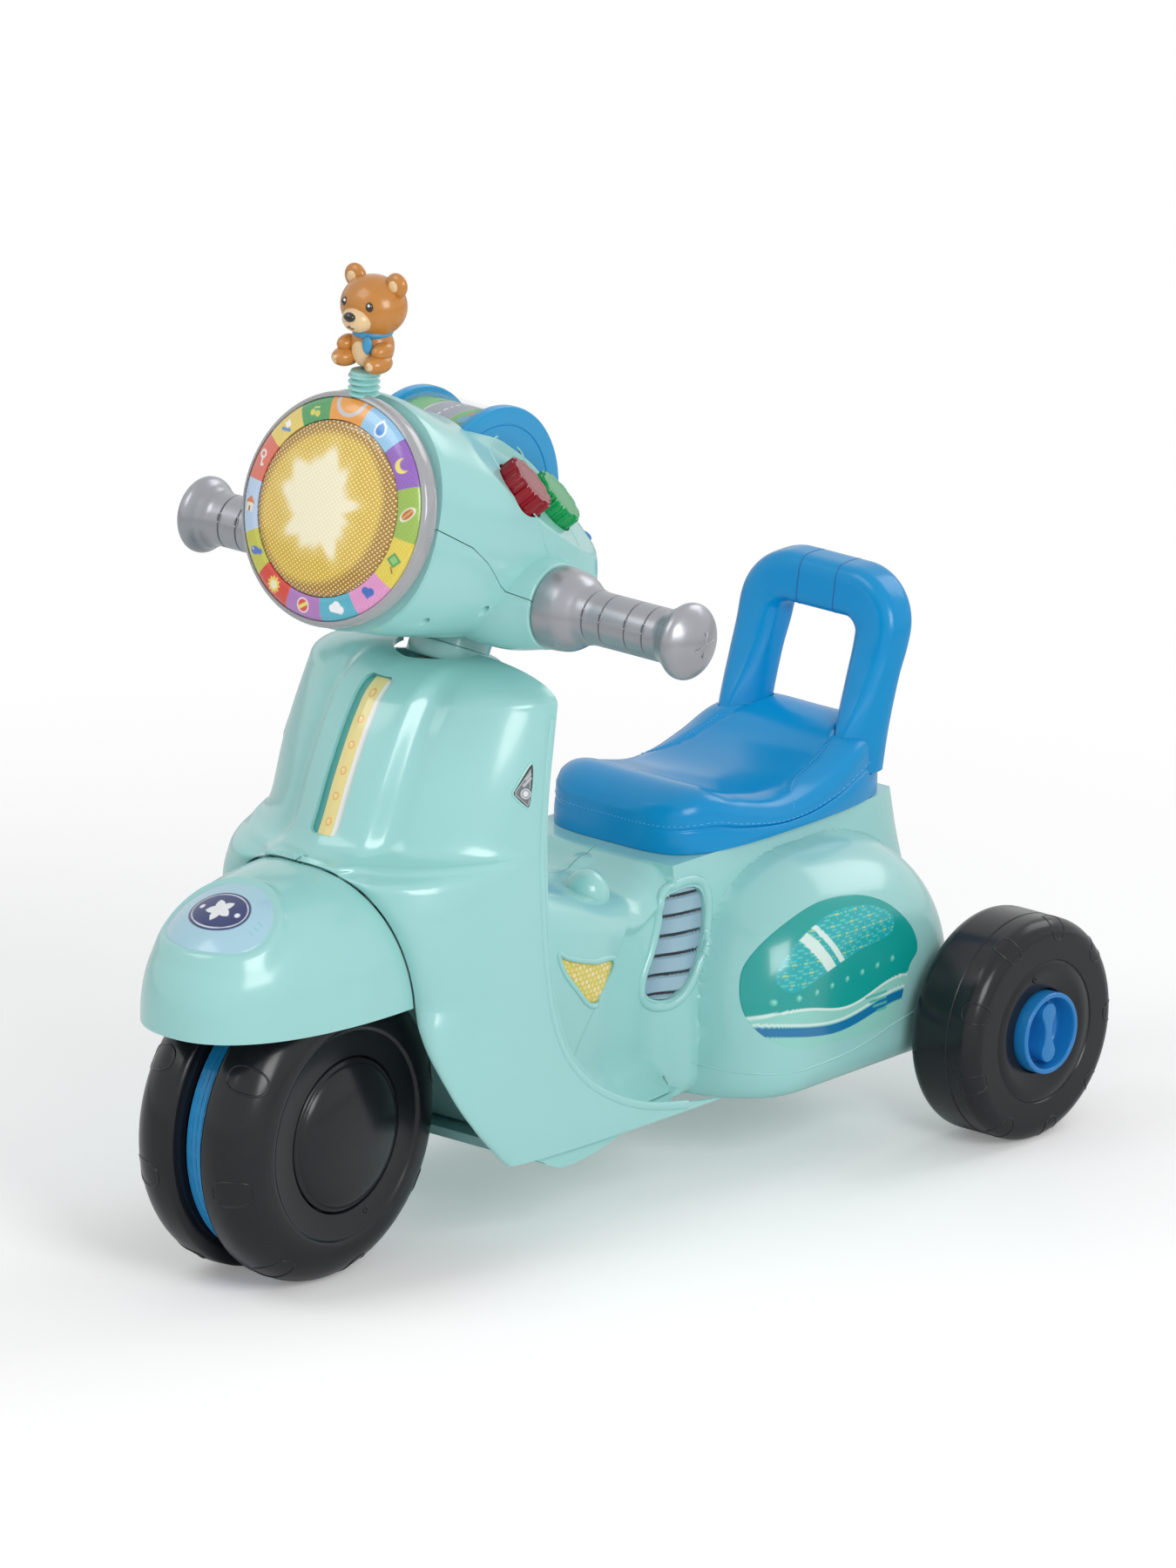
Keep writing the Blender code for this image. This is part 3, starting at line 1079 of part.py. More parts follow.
def drum(steer):
    """Road drum under a clear sleeve between two blue discs, on its shaft."""
    place = hang(empty("drum", (0.0, DRUM_Y, DRUM_Z)), steer)
    blue = finish("disc blue", BLUE, 0.3)
    road = finish("road print", (0.15, 0.42, 0.16), 0.35)
    clear = finish("sleeve clear", (0.85, 0.9, 0.92), 0.05, alpha=0.35)
    steel = finish("shaft steel", STEEL, 0.25, 1.0)
    inner_l = DRUM_HALF_L - DRUM_DISC_T - GAP
    add("drum_core", tube(DRUM_CORE_R, 0.004 + GAP, -inner_l, inner_l, 28, "X"), road, parent=place)
    add("drum_sleeve", tube(DRUM_R - 0.003, DRUM_R - 0.0048, -inner_l, inner_l, 30, "X"), clear,
        parent=place)
    for name, angle in (("left", 0.0), ("right", math.pi)):
        turn = (0.0, 0.0, angle)
        low = DRUM_HALF_L - DRUM_DISC_T
        disc = [(low, 0.004 + GAP), (low, DRUM_R - 0.001), (low + 0.001, DRUM_R), (DRUM_HALF_L - 0.001, DRUM_R),
                (DRUM_HALF_L, DRUM_R - 0.001), (DRUM_HALF_L, 0.004 + GAP)]
        add("drum_disc_" + name, lathe(disc, 30), blue, rotation=turn, parent=place)
    reach = DRUM_HALF_L + 0.0065
    add("drum_shaft", lathe([(-reach, 0.0), (-reach, 0.004), (reach, 0.004), (reach, 0.0)], 16), steel,
        parent=place)


def bear(steer):
    """A plain toy bear of simple rounded forms on a ribbed bendy neck."""
    place = hang(empty("bear_pivot", (0.0, BEAR_Y, NECK_BASE_Z)), steer)
    fur = finish("bear brown", (0.45, 0.20, 0.05), 0.3)
    mint = finish("neck mint", MINT, 0.4)
    profile = [(-0.0060, 0.0)]
    profile += [(0.0060 * math.sin(math.radians(angle)), 0.0060 * math.cos(math.radians(angle)))
                for angle in (-60, -30, 0)]
    profile.append((0.0030, 0.0055))
    length = NECK_TOP_Z - NECK_BASE_Z
    for rib in range(3):
        base = 0.0085 + rib * 0.0033
        profile += [(base, 0.0060), (base + 0.0008, NECK_R), (base + 0.0020, NECK_R), (base + 0.0028, 0.0060)]
    profile += [(length, 0.0060), (length, 0.0)]
    add("bear_neck", lathe(profile, 14, "Z"), mint, parent=place)
    up = length + GAP
    back = BEAR_BACK
    torso = (0.0, back - 0.001, up + 0.0115)
    body_bm = ball(0.0125, 12, 8, (1.0, 0.85, 1.02), torso)
    bmesh.ops.bisect_plane(body_bm, geom=body_bm.verts[:] + body_bm.edges[:] + body_bm.faces[:],
                           plane_co=(0, 0, up), plane_no=(0, 0, -1), clear_outer=True)
    bmesh.ops.holes_fill(body_bm, edges=[e for e in body_bm.edges if e.is_boundary], sides=0)
    bmesh.ops.recalc_face_normals(body_bm, faces=body_bm.faces[:])
    made = add("bear_body", body_bm, fur, parent=place)
    for sign in (1, -1):
        leg = ball(0.0066, 8, 6, (1.0, 1.35, 0.8), (sign * 0.0110, back - 0.0090, up + 0.0056))
        boolean(made, add("bear_leg", leg, None, parent=place, cutter=True), "UNION")
        arm = ball(0.0048, 8, 6, (1.0, 1.5, 1.0), (sign * 0.0118, back - 0.0065, up + 0.0120))
        boolean(made, add("bear_arm", arm, None, parent=place, cutter=True), "UNION")
    head_up = BEAR_HEAD_Z - NECK_BASE_Z
    skull = ball(BEAR_HEAD_R, 14, 10, (0.96, 0.82, 0.84), (0.0, back, head_up))
    made = add("bear_head", skull, fur, parent=place)
    for sign in (1, -1):
        ear = ball(0.0068, 10, 6, (1.0, 0.55, 1.0), (sign * 0.0140, back + 0.0015, head_up + 0.0130))
        boolean(made, add("bear_ear", ear, None, parent=place, cutter=True), "UNION")
    muzzle = ball(0.0080, 10, 6, (1.1, 0.9, 0.85), (0.0, back - 0.0130, head_up - 0.0045))
    boolean(made, add("bear_muzzle", muzzle, None, parent=place, cutter=True), "UNION")
    torso_cut = ball(0.0125 + GAP * 2, 12, 8, (1.0, 0.85, 1.02), torso)
    boolean(made, add("bear_neck_cut", torso_cut, None, parent=place, cutter=True))


def main():
    reset_scene()
    steer = empty("steer", (0.0, STEER_Y, STEER_Z), (-STEER_RAKE, 0.0, 0.0))
    hub = hang(empty("front_hub", (0.0, FRONT_AXLE_Y, FRONT_R)), steer)
    front_wheel(hub)
    crown_top = fork(steer)
    steering_column(steer, crown_top)
    leg_shield()
    shield_back()
    front_fender()
    body()
    floor_pan()
    seat()
    backrest()
    rear_wheels()
    head(steer)
    neck_collar(steer)
    grips(steer)
    lamp(steer)
    drum(steer)
    buttons(steer)
    bear(steer)


main()
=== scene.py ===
"""Looks of a toddler scooter: its mouldings, prints and lamp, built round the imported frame.

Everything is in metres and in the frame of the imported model: the front points along -Y, the
rider's left is +X and the wheels stand on z = 0.
"""

import logging
import math
from dataclasses import dataclass
from enum import Enum
from typing import Callable, Optional, Sequence

import bmesh
import bpy
import numpy as np
from mathutils import Matrix, Vector
from mathutils.bvhtree import BVHTree


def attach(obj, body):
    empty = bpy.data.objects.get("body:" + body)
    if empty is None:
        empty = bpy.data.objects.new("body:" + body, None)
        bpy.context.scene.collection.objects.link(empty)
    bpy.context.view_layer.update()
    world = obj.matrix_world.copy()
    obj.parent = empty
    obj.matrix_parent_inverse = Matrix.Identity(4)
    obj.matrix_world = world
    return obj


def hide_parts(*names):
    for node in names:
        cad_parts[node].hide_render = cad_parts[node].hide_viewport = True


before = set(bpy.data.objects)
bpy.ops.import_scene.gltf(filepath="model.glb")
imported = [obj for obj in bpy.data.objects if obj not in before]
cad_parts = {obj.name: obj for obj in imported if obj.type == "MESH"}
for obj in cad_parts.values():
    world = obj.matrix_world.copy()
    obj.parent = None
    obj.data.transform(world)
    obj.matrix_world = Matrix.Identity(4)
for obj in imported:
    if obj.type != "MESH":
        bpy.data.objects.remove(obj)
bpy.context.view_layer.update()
LOG = logging.getLogger("scooter")

Colour = tuple[float, float, float]
Place = Callable[[float, float], Sequence[float]]
Profile = list[tuple[float, float]]

# Clear of the scooter's side, and how far a printed film stands off the skin it lies on.
CLEAR_X = 0.2
FILM_LIFT = 0.00015

# Sizes that several pieces share.
FRONT_AXLE_Y = -0.2000
FRONT_RADIUS = 0.0823
LAMP_Y = -0.1701
LAMP_Z = 0.4088
LAMP_TILT = math.radians(16.6)
BEZEL_DEPTH = 0.0170
SOCKET_X = 0.0758
SOCKET_R = 0.0232
COLLAR_R = 0.0225
COLLAR_TOP = 0.0050
STEM_BORE = 0.0103
SPIGOT_BORE = 0.0103
BEAR_Y = -0.1443
NECK_Z = 0.4600

# The steering axis leans back by 25 degrees, and its frame stands at the neck collar.
STEER_PIVOT = Vector((0.0, -0.0729, 0.3067))
STEER_FRAME = Matrix.Translation(STEER_PIVOT) @ Matrix.Rotation(math.radians(-25.0), 4, "X")
# The middle of the handlebar.
BAR = Vector((0.0, -0.0765, 0.3500))


class Body(Enum):
    """The moving bodies of the frame that a piece can ride on."""

    FRAME = "frame"
    STEERING = "steering"
    FRONT_WHEEL = "front_wheel"
    REAR_LEFT = "rear_wheel_l"
    REAR_RIGHT = "rear_wheel_r"
    KNOB_LEFT = "knob_l"
    KNOB_RIGHT = "knob_r"
    DRUM = "drum"
    RED_BUTTON = "red_button"
    GREEN_BUTTON = "green_button"
    YELLOW_BUTTON = "yellow_button"
    BLUE_BUTTON = "blue_button"
    SWITCH = "switch"
    BEAR = "bear"


@dataclass(frozen=True)
class Berth:
    """Where a piece belongs: the body it rides on, its slot and the nodes it stands for."""

    body: Body
    slot: str
    replaces: tuple[str, ...] = ()


# The two berths that most fixed pieces share.
FRAME_PRINT = Berth(Body.FRAME, "print")
FRAME_MINT = Berth(Body.FRAME, "mint_plastic")


class Tree:
    """A material's node tree, filled through short calls."""

    def __init__(self, name: str) -> None:
        """Start a material.

        Args:
            name: the material's name.
        """
        self.material = bpy.data.materials.new(name)
        self.material.use_nodes = True
        self.nodes = self.material.node_tree.nodes
        self.links = self.material.node_tree.links
        self.shader = self.nodes["Principled BSDF"]

    def node(self, kind: str, settings: Optional[dict] = None, **inputs: object) -> bpy.types.Node:
        """Add a node.

        Args:
            kind: its type without the word ShaderNode.
            settings: the node's own properties.
            inputs: a value or a socket for each named input.

        Returns:
            The new node.
        """
        made = self.nodes.new("ShaderNode" + kind)
        for key, value in (settings or {}).items():
            setattr(made, key, value)
        for key, value in inputs.items():
            self.feed(made, key.replace("_", " "), value)
        return made

    def feed(self, node: bpy.types.Node, name: object, value: object) -> None:
        """Link a socket to a node's input, or set the input's value."""
        if isinstance(value, bpy.types.NodeSocket):
            self.links.new(value, node.inputs[name])
        else:
            node.inputs[name].default_value = value

    def tune(self, node: bpy.types.Node, **values: object) -> None:
        """Set some of a node's inputs by name, with an underscore for each space."""
        for key, value in values.items():
            node.inputs[key.replace("_", " ")].default_value = value

    def math(self, operation: str, *values: object) -> bpy.types.NodeSocket:
        """Add a Math node.

        Args:
            operation: the node's operation.
            values: its one to three inputs, numbers or sockets.

        Returns:
            The result's socket.
        """
        made = self.nodes.new("ShaderNodeMath")
        made.operation = operation
        for index, value in enumerate(values):
            self.feed(made, index, value)
        return made.outputs[0]

    def ramp(self, factor: bpy.types.NodeSocket,
             stops: Sequence[tuple[float, Colour]]) -> bpy.types.NodeSocket:
        """Add a colour ramp.

        Args:
            factor: what it reads.
            stops: its (position, colour) pairs.

        Returns:
            The colour's socket.
        """
        made = self.nodes.new("ShaderNodeValToRGB")
        band = made.color_ramp
        while len(band.elements) < len(stops):
            band.elements.new(0.5)
        for element, (position, colour) in zip(band.elements, stops):
            element.position = position
            element.color = (*colour, 1.0)
        self.links.new(factor, made.inputs[0])
        return made.outputs[0]

    def bump(self, height: bpy.types.NodeSocket, strength: float, distance: float,
             under: Optional[bpy.types.NodeSocket] = None) -> bpy.types.NodeSocket:
        """Add a bump node.

        Args:
            height: the socket that holds the height.
            strength: the share of the bump that shows.
            distance: the height of a value of 1, in metres.
            under: the normal of a coarser bump that this one lies on.

        Returns:
            The normal's socket.
        """
        made = self.node("Bump", Height=height, Strength=strength, Distance=distance)
        if under is not None:
            self.links.new(under, made.inputs["Normal"])
        return made.outputs["Normal"]


@dataclass(frozen=True)
class MouldedPlastic:
    """Glossy moulded plastic: a faint flow mottle, uneven gloss and a fine orange peel."""

    name: str
    colour: Colour
    roughness: float = 0.27
    metallic: float = 0.0
    mottle: float = 0.012
    peel: float = 0.035
    peel_scale: float = 900.0
    transmission: float = 0.0
    alpha: float = 1.0
    coat: float = 0.0
    specular: float = 0.5

    def build(self) -> bpy.types.Material:
        """Make the material.

        Returns:
            The finished material.
        """
        tree = Tree(self.name)
        place = tree.node("TexCoord").outputs["Object"]
        cloud = tree.node("TexNoise", Vector=place, Scale=11.0, Detail=3.0, Roughness=0.5).outputs["Fac"]
        dark = tuple(part * (1.0 - self.mottle) for part in self.colour)
        light = tuple(min(1.0, part * (1.0 + self.mottle)) for part in self.colour)
        tree.feed(tree.shader, "Base Color", tree.ramp(cloud, [(0.3, dark), (0.7, light)]))
        smear = tree.node("TexNoise", Vector=place, Scale=34.0, Detail=4.0, Roughness=0.6).outputs["Fac"]
        gloss = tree.node("MapRange", Value=smear)
        uneven = 0.035
        tree.tune(gloss, From_Min=0.3, From_Max=0.7, To_Min=max(0.02, self.roughness - uneven),
                  To_Max=self.roughness + uneven)
        tree.feed(tree.shader, "Roughness", gloss.outputs[0])
        grain = tree.node("TexNoise", Vector=place, Scale=self.peel_scale, Detail=2.0).outputs["Fac"]
        wave = tree.node("TexNoise", Vector=place, Scale=70.0, Detail=1.0).outputs["Fac"]
        swell = tree.bump(wave, self.peel * 0.7, 0.0004)
        tree.feed(tree.shader, "Normal", tree.bump(grain, self.peel, 0.00012, swell))
        tree.tune(tree.shader, Metallic=self.metallic, Transmission_Weight=self.transmission,
                  Alpha=self.alpha, Specular_IOR_Level=self.specular, Coat_Weight=self.coat,
                  Coat_Roughness=0.08)
        return tree.material


@dataclass(frozen=True)
class BrushedMetal:
    """Turned steel with fine rings of tool marks about one axis."""

    name: str
    colour: Colour
    roughness: float = 0.26

    def build(self) -> bpy.types.Material:
        """Make the material.

        Returns:
            The finished material.
        """
        tree = Tree(self.name)
        place = tree.node("TexCoord").outputs["Object"]
        lines = tree.node("TexWave", {"wave_type": "BANDS", "bands_direction": "X"}, Vector=place,
                          Scale=620.0, Distortion=1.5, Detail=2.0).outputs["Fac"]
        dark = tuple(part * 0.9 for part in self.colour)
        tree.feed(tree.shader, "Base Color", tree.ramp(lines, [(0.2, dark), (0.9, self.colour)]))
        tree.feed(tree.shader, "Normal", tree.bump(lines, 0.12, 0.00008))
        tree.tune(tree.shader, Metallic=1.0, Roughness=self.roughness)
        return tree.material


@dataclass(frozen=True)
class PrintedFilm:
    """A printed sheet that takes its colours from the piece's own print attribute, and with glow above zero
    also emits them as a painted glow.
    """

    name: str
    roughness: float = 0.22
    glow: float = 0.0
    coat: float = 0.3

    def build(self) -> bpy.types.Material:
        """Make the material.

        Returns:
            The finished material.
        """
        tree = Tree(self.name)
        ink = tree.node("Attribute", {"attribute_name": PRINT_LAYER}).outputs["Color"]
        place = tree.node("TexCoord").outputs["Object"]
        grain = tree.node("TexNoise", Vector=place, Scale=1600.0, Detail=2.0).outputs["Fac"]
        tree.feed(tree.shader, "Base Color", ink)
        tree.feed(tree.shader, "Normal", tree.bump(grain, 0.04, 0.0001))
        tree.tune(tree.shader, Roughness=self.roughness, Coat_Weight=self.coat, Coat_Roughness=0.06)
        # Painted glow: the print emits light of its own, though the sheet is no light source.
        if self.glow > 0.0:
            tree.feed(tree.shader, "Emission Color", ink)
            tree.tune(tree.shader, Emission_Strength=self.glow)
        return tree.material


@dataclass(frozen=True)
class AmberLens:
    """A glossy amber lens: a painted glow from its own print, under rows of small dots painted bright as
    glints.
    """

    name: str
    pitch: float = 0.0030

    def build(self) -> bpy.types.Material:
        """Make the material.

        Returns:
            The finished material.
        """
        tree = Tree(self.name)
        ink = tree.node("Attribute", {"attribute_name": PRINT_LAYER}).outputs["Color"]
        place = tree.node("TexCoord").outputs["Object"]
        parts = tree.node("SeparateXYZ", Vector=place)
        cells = []
        for axis, pitch in (("X", self.pitch), ("Z", self.pitch * 0.86)):
            scaled = tree.math("MULTIPLY", parts.outputs[axis], math.tau / pitch)
            cells.append(tree.math("COSINE", scaled))
        dots = tree.math("MULTIPLY", cells[0], cells[1])
        spot = tree.node("MapRange", Value=dots)
        tree.tune(spot, From_Min=0.20, From_Max=0.80)
        # Painted glints: the dots are screened towards pale amber, and the result is emitted as a painted
        # glow.
        glow = tree.node("Mix", {"data_type": "RGBA", "blend_type": "SCREEN"})
        tree.feed(glow, 0, tree.math("MULTIPLY", spot.outputs[0], 0.80))
        tree.feed(glow, 6, ink)
        tree.feed(glow, 7, (1.0, 0.86, 0.42, 1.0))
        tree.feed(tree.shader, "Base Color", glow.outputs[2])
        tree.feed(tree.shader, "Emission Color", glow.outputs[2])
        tree.feed(tree.shader, "Normal", tree.bump(spot.outputs[0], 0.25, 0.0003))
        tree.tune(tree.shader, Emission_Strength=0.10, Roughness=0.14, Coat_Weight=0.6, Coat_Roughness=0.05)
        return tree.material


PRINT_LAYER = "print"
MINT_COLOUR = (0.340, 0.675, 0.655)
SEAT_COLOUR = (0.001, 0.290, 0.640)
KNOB_COLOUR = (0.012, 0.215, 0.560)
BLACK_COLOUR = (0.011, 0.012, 0.015)
SILVER_COLOUR = (0.360, 0.370, 0.400)


class Finishes:
    """Every finish of the scooter, each made once."""

    MINT = MouldedPlastic("mint_gloss", MINT_COLOUR, 0.22, coat=0.25)
    MINT_SATIN = MouldedPlastic("mint_satin", MINT_COLOUR, 0.42)
    SEAT_BLUE = MouldedPlastic("seat_blue", SEAT_COLOUR, 0.22, specular=0.32)
    KNOB_BLUE = MouldedPlastic("knob_blue", KNOB_COLOUR, 0.24)
    FORK_BLUE = MouldedPlastic("fork_blue", (0.012, 0.300, 0.660), 0.30)
    TYRE = MouldedPlastic("wheel_black", BLACK_COLOUR, 0.22, specular=0.34)
    SEAM = MouldedPlastic("seam_shadow", (0.045, 0.140, 0.125), 0.60)
    # Painted shade: the dark blue of the backrest's two lines, which read as grooves.
    SEAT_SEAM_SHADE = MouldedPlastic("seat_seam_shade", (0.004, 0.115, 0.330), 0.50)
    STITCH = MouldedPlastic("seat_stitch", (0.110, 0.430, 0.820), 0.40)
    SILVER = MouldedPlastic("grip_silver", SILVER_COLOUR, 0.30, metallic=0.60, mottle=0.07)
    # Painted shade: a dark fill for the grips' ring grooves.
    GROOVE_SHADE = MouldedPlastic("grip_groove_shade", (0.120, 0.122, 0.135), 0.45, metallic=0.2)
    RIM = MouldedPlastic("bezel_frosted", (0.560, 0.575, 0.595), 0.15, transmission=0.35, coat=0.4)
    CLEAR = MouldedPlastic("sleeve_clear", (0.800, 0.870, 0.900), 0.05, peel=0.01, alpha=0.09)
    STEEL = BrushedMetal("turned_steel", (0.560, 0.570, 0.590))
    NYLON = MouldedPlastic("bush_nylon", (0.720, 0.710, 0.670), 0.50)
    CHROME = BrushedMetal("reflector_chrome", (0.860, 0.850, 0.820), 0.12)
    BOARD = MouldedPlastic("lamp_board", (0.040, 0.230, 0.080), 0.50)
    BEAR_TAN = MouldedPlastic("bear_tan", (0.560, 0.230, 0.040), 0.26, coat=0.2)
    BEAR_CREAM = MouldedPlastic("bear_cream", (0.830, 0.600, 0.330), 0.28, coat=0.2)
    BEAR_DARK = MouldedPlastic("bear_dark", (0.012, 0.008, 0.007), 0.12, coat=0.5)
    WHITE = MouldedPlastic("paint_white", (0.860, 0.870, 0.880), 0.25)
    SCARF = MouldedPlastic("scarf_blue", (0.060, 0.360, 0.640), 0.30)
    DISC_BLUE = MouldedPlastic("disc_blue", (0.016, 0.330, 0.660), 0.20)
    RED_CLEAR = MouldedPlastic("key_red", (0.380, 0.002, 0.014), 0.14, transmission=0.30, specular=0.35)
    GREEN_CLEAR = MouldedPlastic("key_green", (0.006, 0.480, 0.130), 0.14, transmission=0.30, specular=0.35)
    YELLOW_CLEAR = MouldedPlastic("key_yellow", (0.760, 0.470, 0.008), 0.14, transmission=0.30, specular=0.35)
    BLUE_CLEAR = MouldedPlastic("key_blue", (0.006, 0.170, 0.600), 0.14, transmission=0.30, specular=0.35)
    FILM = PrintedFilm("printed_film")
    MATT_FILM = PrintedFilm("matt_film", 0.45, 0.0, 0.0)
    # The lamp's picture ring and the fairing's reflector carry a painted glow, though neither is a light
    # source.
    RING_FILM = PrintedFilm("ring_film", 0.20, 0.06, 0.4)
    REFLECTOR = PrintedFilm("reflector_film", 0.10, 0.10, 0.6)
    LENS = AmberLens("lamp_lens")

    _made: dict[str, bpy.types.Material] = {}

    @classmethod
    def get(cls, finish: object) -> bpy.types.Material:
        """The material of a finish, made at its first use.

        Args:
            finish: one of the finishes above, or any other with a name and a build method.

        Returns:
            The material.
        """
        if finish.name not in cls._made:
            cls._made[finish.name] = finish.build()
        return cls._made[finish.name]


def smoothstep(low: float, high: float, value: float) -> float:
    """Smooth rise from 0 at low to 1 at high."""
    share = min(1.0, max(0.0, (value - low) / (high - low)))
    return share * share * (3.0 - 2.0 * share)


def interpolate(table: Profile, value: float) -> float:
    """Smooth curve through the (position, size) pairs of a table.

    Args:
        table: the pairs, in order of position.
        value: the position to read.

    Returns:
        The size there, held beyond the ends.
    """
    if value <= table[0][0]:
        return table[0][1]
    if value >= table[-1][0]:
        return table[-1][1]
    slopes = []
    for index in range(len(table)):
        before = table[max(index - 1, 0)]
        after = table[min(index + 1, len(table) - 1)]
        slopes.append((after[1] - before[1]) / (after[0] - before[0]))
    index = next(i for i in range(len(table) - 1) if value <= table[i + 1][0])
    p0, v0 = table[index]
    p1, v1 = table[index + 1]
    span = p1 - p0
    t = (value - p0) / span
    rest = (1.0 - t) ** 2
    start = (1.0 + 2.0 * t) * rest * v0 + t * rest * span * slopes[index]
    return start + t * t * (3.0 - 2.0 * t) * v1 + t * t * (t - 1.0) * span * slopes[index + 1]


def super_part(share: float, power: float) -> float:
    """Height of a superellipse of radius 1 at a share of its half-width."""
    return max(0.0, 1.0 - abs(share) ** power) ** (1.0 / power)


def signed_power(value: float, power: float) -> float:
    """A power that keeps the value's sign."""
    return math.copysign(abs(value) ** power, value)


def skin(columns: int, rows: int, place: Place, weld: float = 0.0) -> bmesh.types.BMesh:
    """A grid sheet whose corners run from (0, 0) to (1, 1) before place moves each point.

    Args:
        columns: the count of cells along the first direction.
        rows: the count of cells along the second.
        place: gives a point's place from its two shares.
        weld: the distance within which points become one.

    Returns:
        The mesh.
    """
    bm = bmesh.new()
    bmesh.ops.create_grid(bm, x_segments=columns, y_segments=rows, size=0.5)
    for vert in bm.verts:
        vert.co = Vector(place(vert.co.x + 0.5, vert.co.y + 0.5))
    if weld > 0.0:
        bmesh.ops.remove_doubles(bm, verts=bm.verts[:], dist=weld)
        bmesh.ops.dissolve_degenerate(bm, edges=bm.edges[:], dist=weld * 0.1)
    return bm


def point_out(bm: bmesh.types.BMesh) -> bmesh.types.BMesh:
    """Turn a mesh's faces outwards."""
    bmesh.ops.recalc_face_normals(bm, faces=bm.faces[:])
    return bm


def thicken(bm: bmesh.types.BMesh, wall: float) -> bmesh.types.BMesh:
    """Give an open sheet a wall that grows against its normals."""
    bmesh.ops.solidify(bm, geom=bm.faces[:], thickness=wall)
    return bm


def open_rim(bm: bmesh.types.BMesh) -> list[bmesh.types.BMEdge]:
    """A mesh's open edges."""
    return [edge for edge in bm.edges if edge.is_boundary]


def fill_rims(bm: bmesh.types.BMesh) -> bmesh.types.BMesh:
    """Close a mesh's open rims."""
    bmesh.ops.holes_fill(bm, edges=open_rim(bm), sides=0)
    return bm


def grow(bm: bmesh.types.BMesh, edges: Sequence[bmesh.types.BMEdge]
         ) -> tuple[list[bmesh.types.BMVert], list[bmesh.types.BMEdge]]:
    """Add a strip to a mesh's open edges.

    Args:
        bm: the mesh.
        edges: its open edges.

    Returns:
        The new points, which still lie on the old ones, and the new open edges.
    """
    grown = bmesh.ops.extrude_edge_only(bm, edges=edges)["geom"]
    return ([item for item in grown if isinstance(item, bmesh.types.BMVert)],
            [item for item in grown if isinstance(item, bmesh.types.BMEdge)])


def lathe(profile: Profile, steps: int, axis: str = "X") -> bmesh.types.BMesh:
    """Turn (distance along the axis, radius) pairs into a closed solid.

    Args:
        profile: the pairs, from one end round the outside to the other.
        steps: the count of facets round the axis.
        axis: X or Z.

    Returns:
        The mesh, its axis through the origin.
    """
    bm = bmesh.new()
    verts = [bm.verts.new((along, 0.0, radius)) for along, radius in profile]
    if profile[0] != profile[-1] and profile[0][1] > 0.0 and profile[-1][1] > 0.0:
        verts.append(verts[0])
    edges = [bm.edges.new(pair) for pair in zip(verts, verts[1:])]
    bmesh.ops.spin(bm, geom=bm.verts[:] + edges, cent=(0, 0, 0), axis=(1, 0, 0),
                   angle=math.tau, steps=steps, use_merge=True)
    bmesh.ops.remove_doubles(bm, verts=bm.verts[:], dist=1e-6)
    bmesh.ops.dissolve_degenerate(bm, edges=bm.edges[:], dist=1e-7)
    if axis == "Z":
        bmesh.ops.rotate(bm, verts=bm.verts[:], matrix=Matrix.Rotation(-math.pi / 2, 3, "Y"))
    return point_out(bm)


def arc(center: tuple[float, float], radius: float, start: float, end: float, count: int) -> Profile:
    """Points (along, radius) of an arc.

    Args:
        center: the arc's middle.
        radius: its radius.
        start: the first angle from the axis direction, in degrees.
        end: the last angle.
        count: how many steps it has.

    Returns:
        The points.
    """
    angles = [math.radians(start + (end - start) * index / count) for index in range(count + 1)]
    return [(center[0] + radius * math.cos(a), center[1] + radius * math.sin(a)) for a in angles]


def prism(outline: Sequence[tuple[float, float]], low: float, high: float, axis: str = "X",
          round_off: float = 0.0) -> bmesh.types.BMesh:
    """Run an outline of (Y, Z) pairs along X, or of (X, Y) pairs along Z.

    Args:
        outline: the corners, in order.
        low: where the run starts.
        high: where it ends.
        axis: X or Z.
        round_off: the radius of its bevelled rims.

    Returns:
        The closed mesh.
    """
    bm = bmesh.new()
    if axis == "X":
        verts = [bm.verts.new((low, a, b)) for a, b in outline]
        run = Vector((high - low, 0.0, 0.0))
    else:
        verts = [bm.verts.new((a, b, low)) for a, b in outline]
        run = Vector((0.0, 0.0, high - low))
    face = bm.faces.new(verts)
    grown = bmesh.ops.extrude_face_region(bm, geom=[face])
    moved = [item for item in grown["geom"] if isinstance(item, bmesh.types.BMVert)]
    bmesh.ops.translate(bm, verts=moved, vec=run)
    point_out(bm)
    if round_off > 0.0:
        rims = [edge for edge in bm.edges if abs(edge.calc_face_angle(0.0)) > 1.2]
        bmesh.ops.bevel(bm, geom=rims, offset=round_off, offset_type="OFFSET", segments=3,
                        profile=0.5, affect="EDGES", material=-1)
    return bm


def ball(radius: float, scale: Sequence[float] = (1.0, 1.0, 1.0),
         center: Sequence[float] = (0.0, 0.0, 0.0), segments: int = 32, rings: int = 20) -> bmesh.types.BMesh:
    """A stretched ball.

    Args:
        radius: its radius before stretching.
        scale: the stretch along each axis.
        center: its middle.
        segments: its facets round the upright axis.
        rings: its rings from pole to pole.

    Returns:
        The mesh.
    """
    bm = bmesh.new()
    bmesh.ops.create_uvsphere(bm, u_segments=segments, v_segments=rings, radius=radius)
    bmesh.ops.scale(bm, verts=bm.verts[:], vec=scale)
    bmesh.ops.translate(bm, verts=bm.verts[:], vec=center)
    return bm


def shift(bm: bmesh.types.BMesh, matrix: Matrix) -> bmesh.types.BMesh:
    """Move a mesh by a matrix."""
    bmesh.ops.transform(bm, matrix=matrix, verts=bm.verts[:])
    return bm


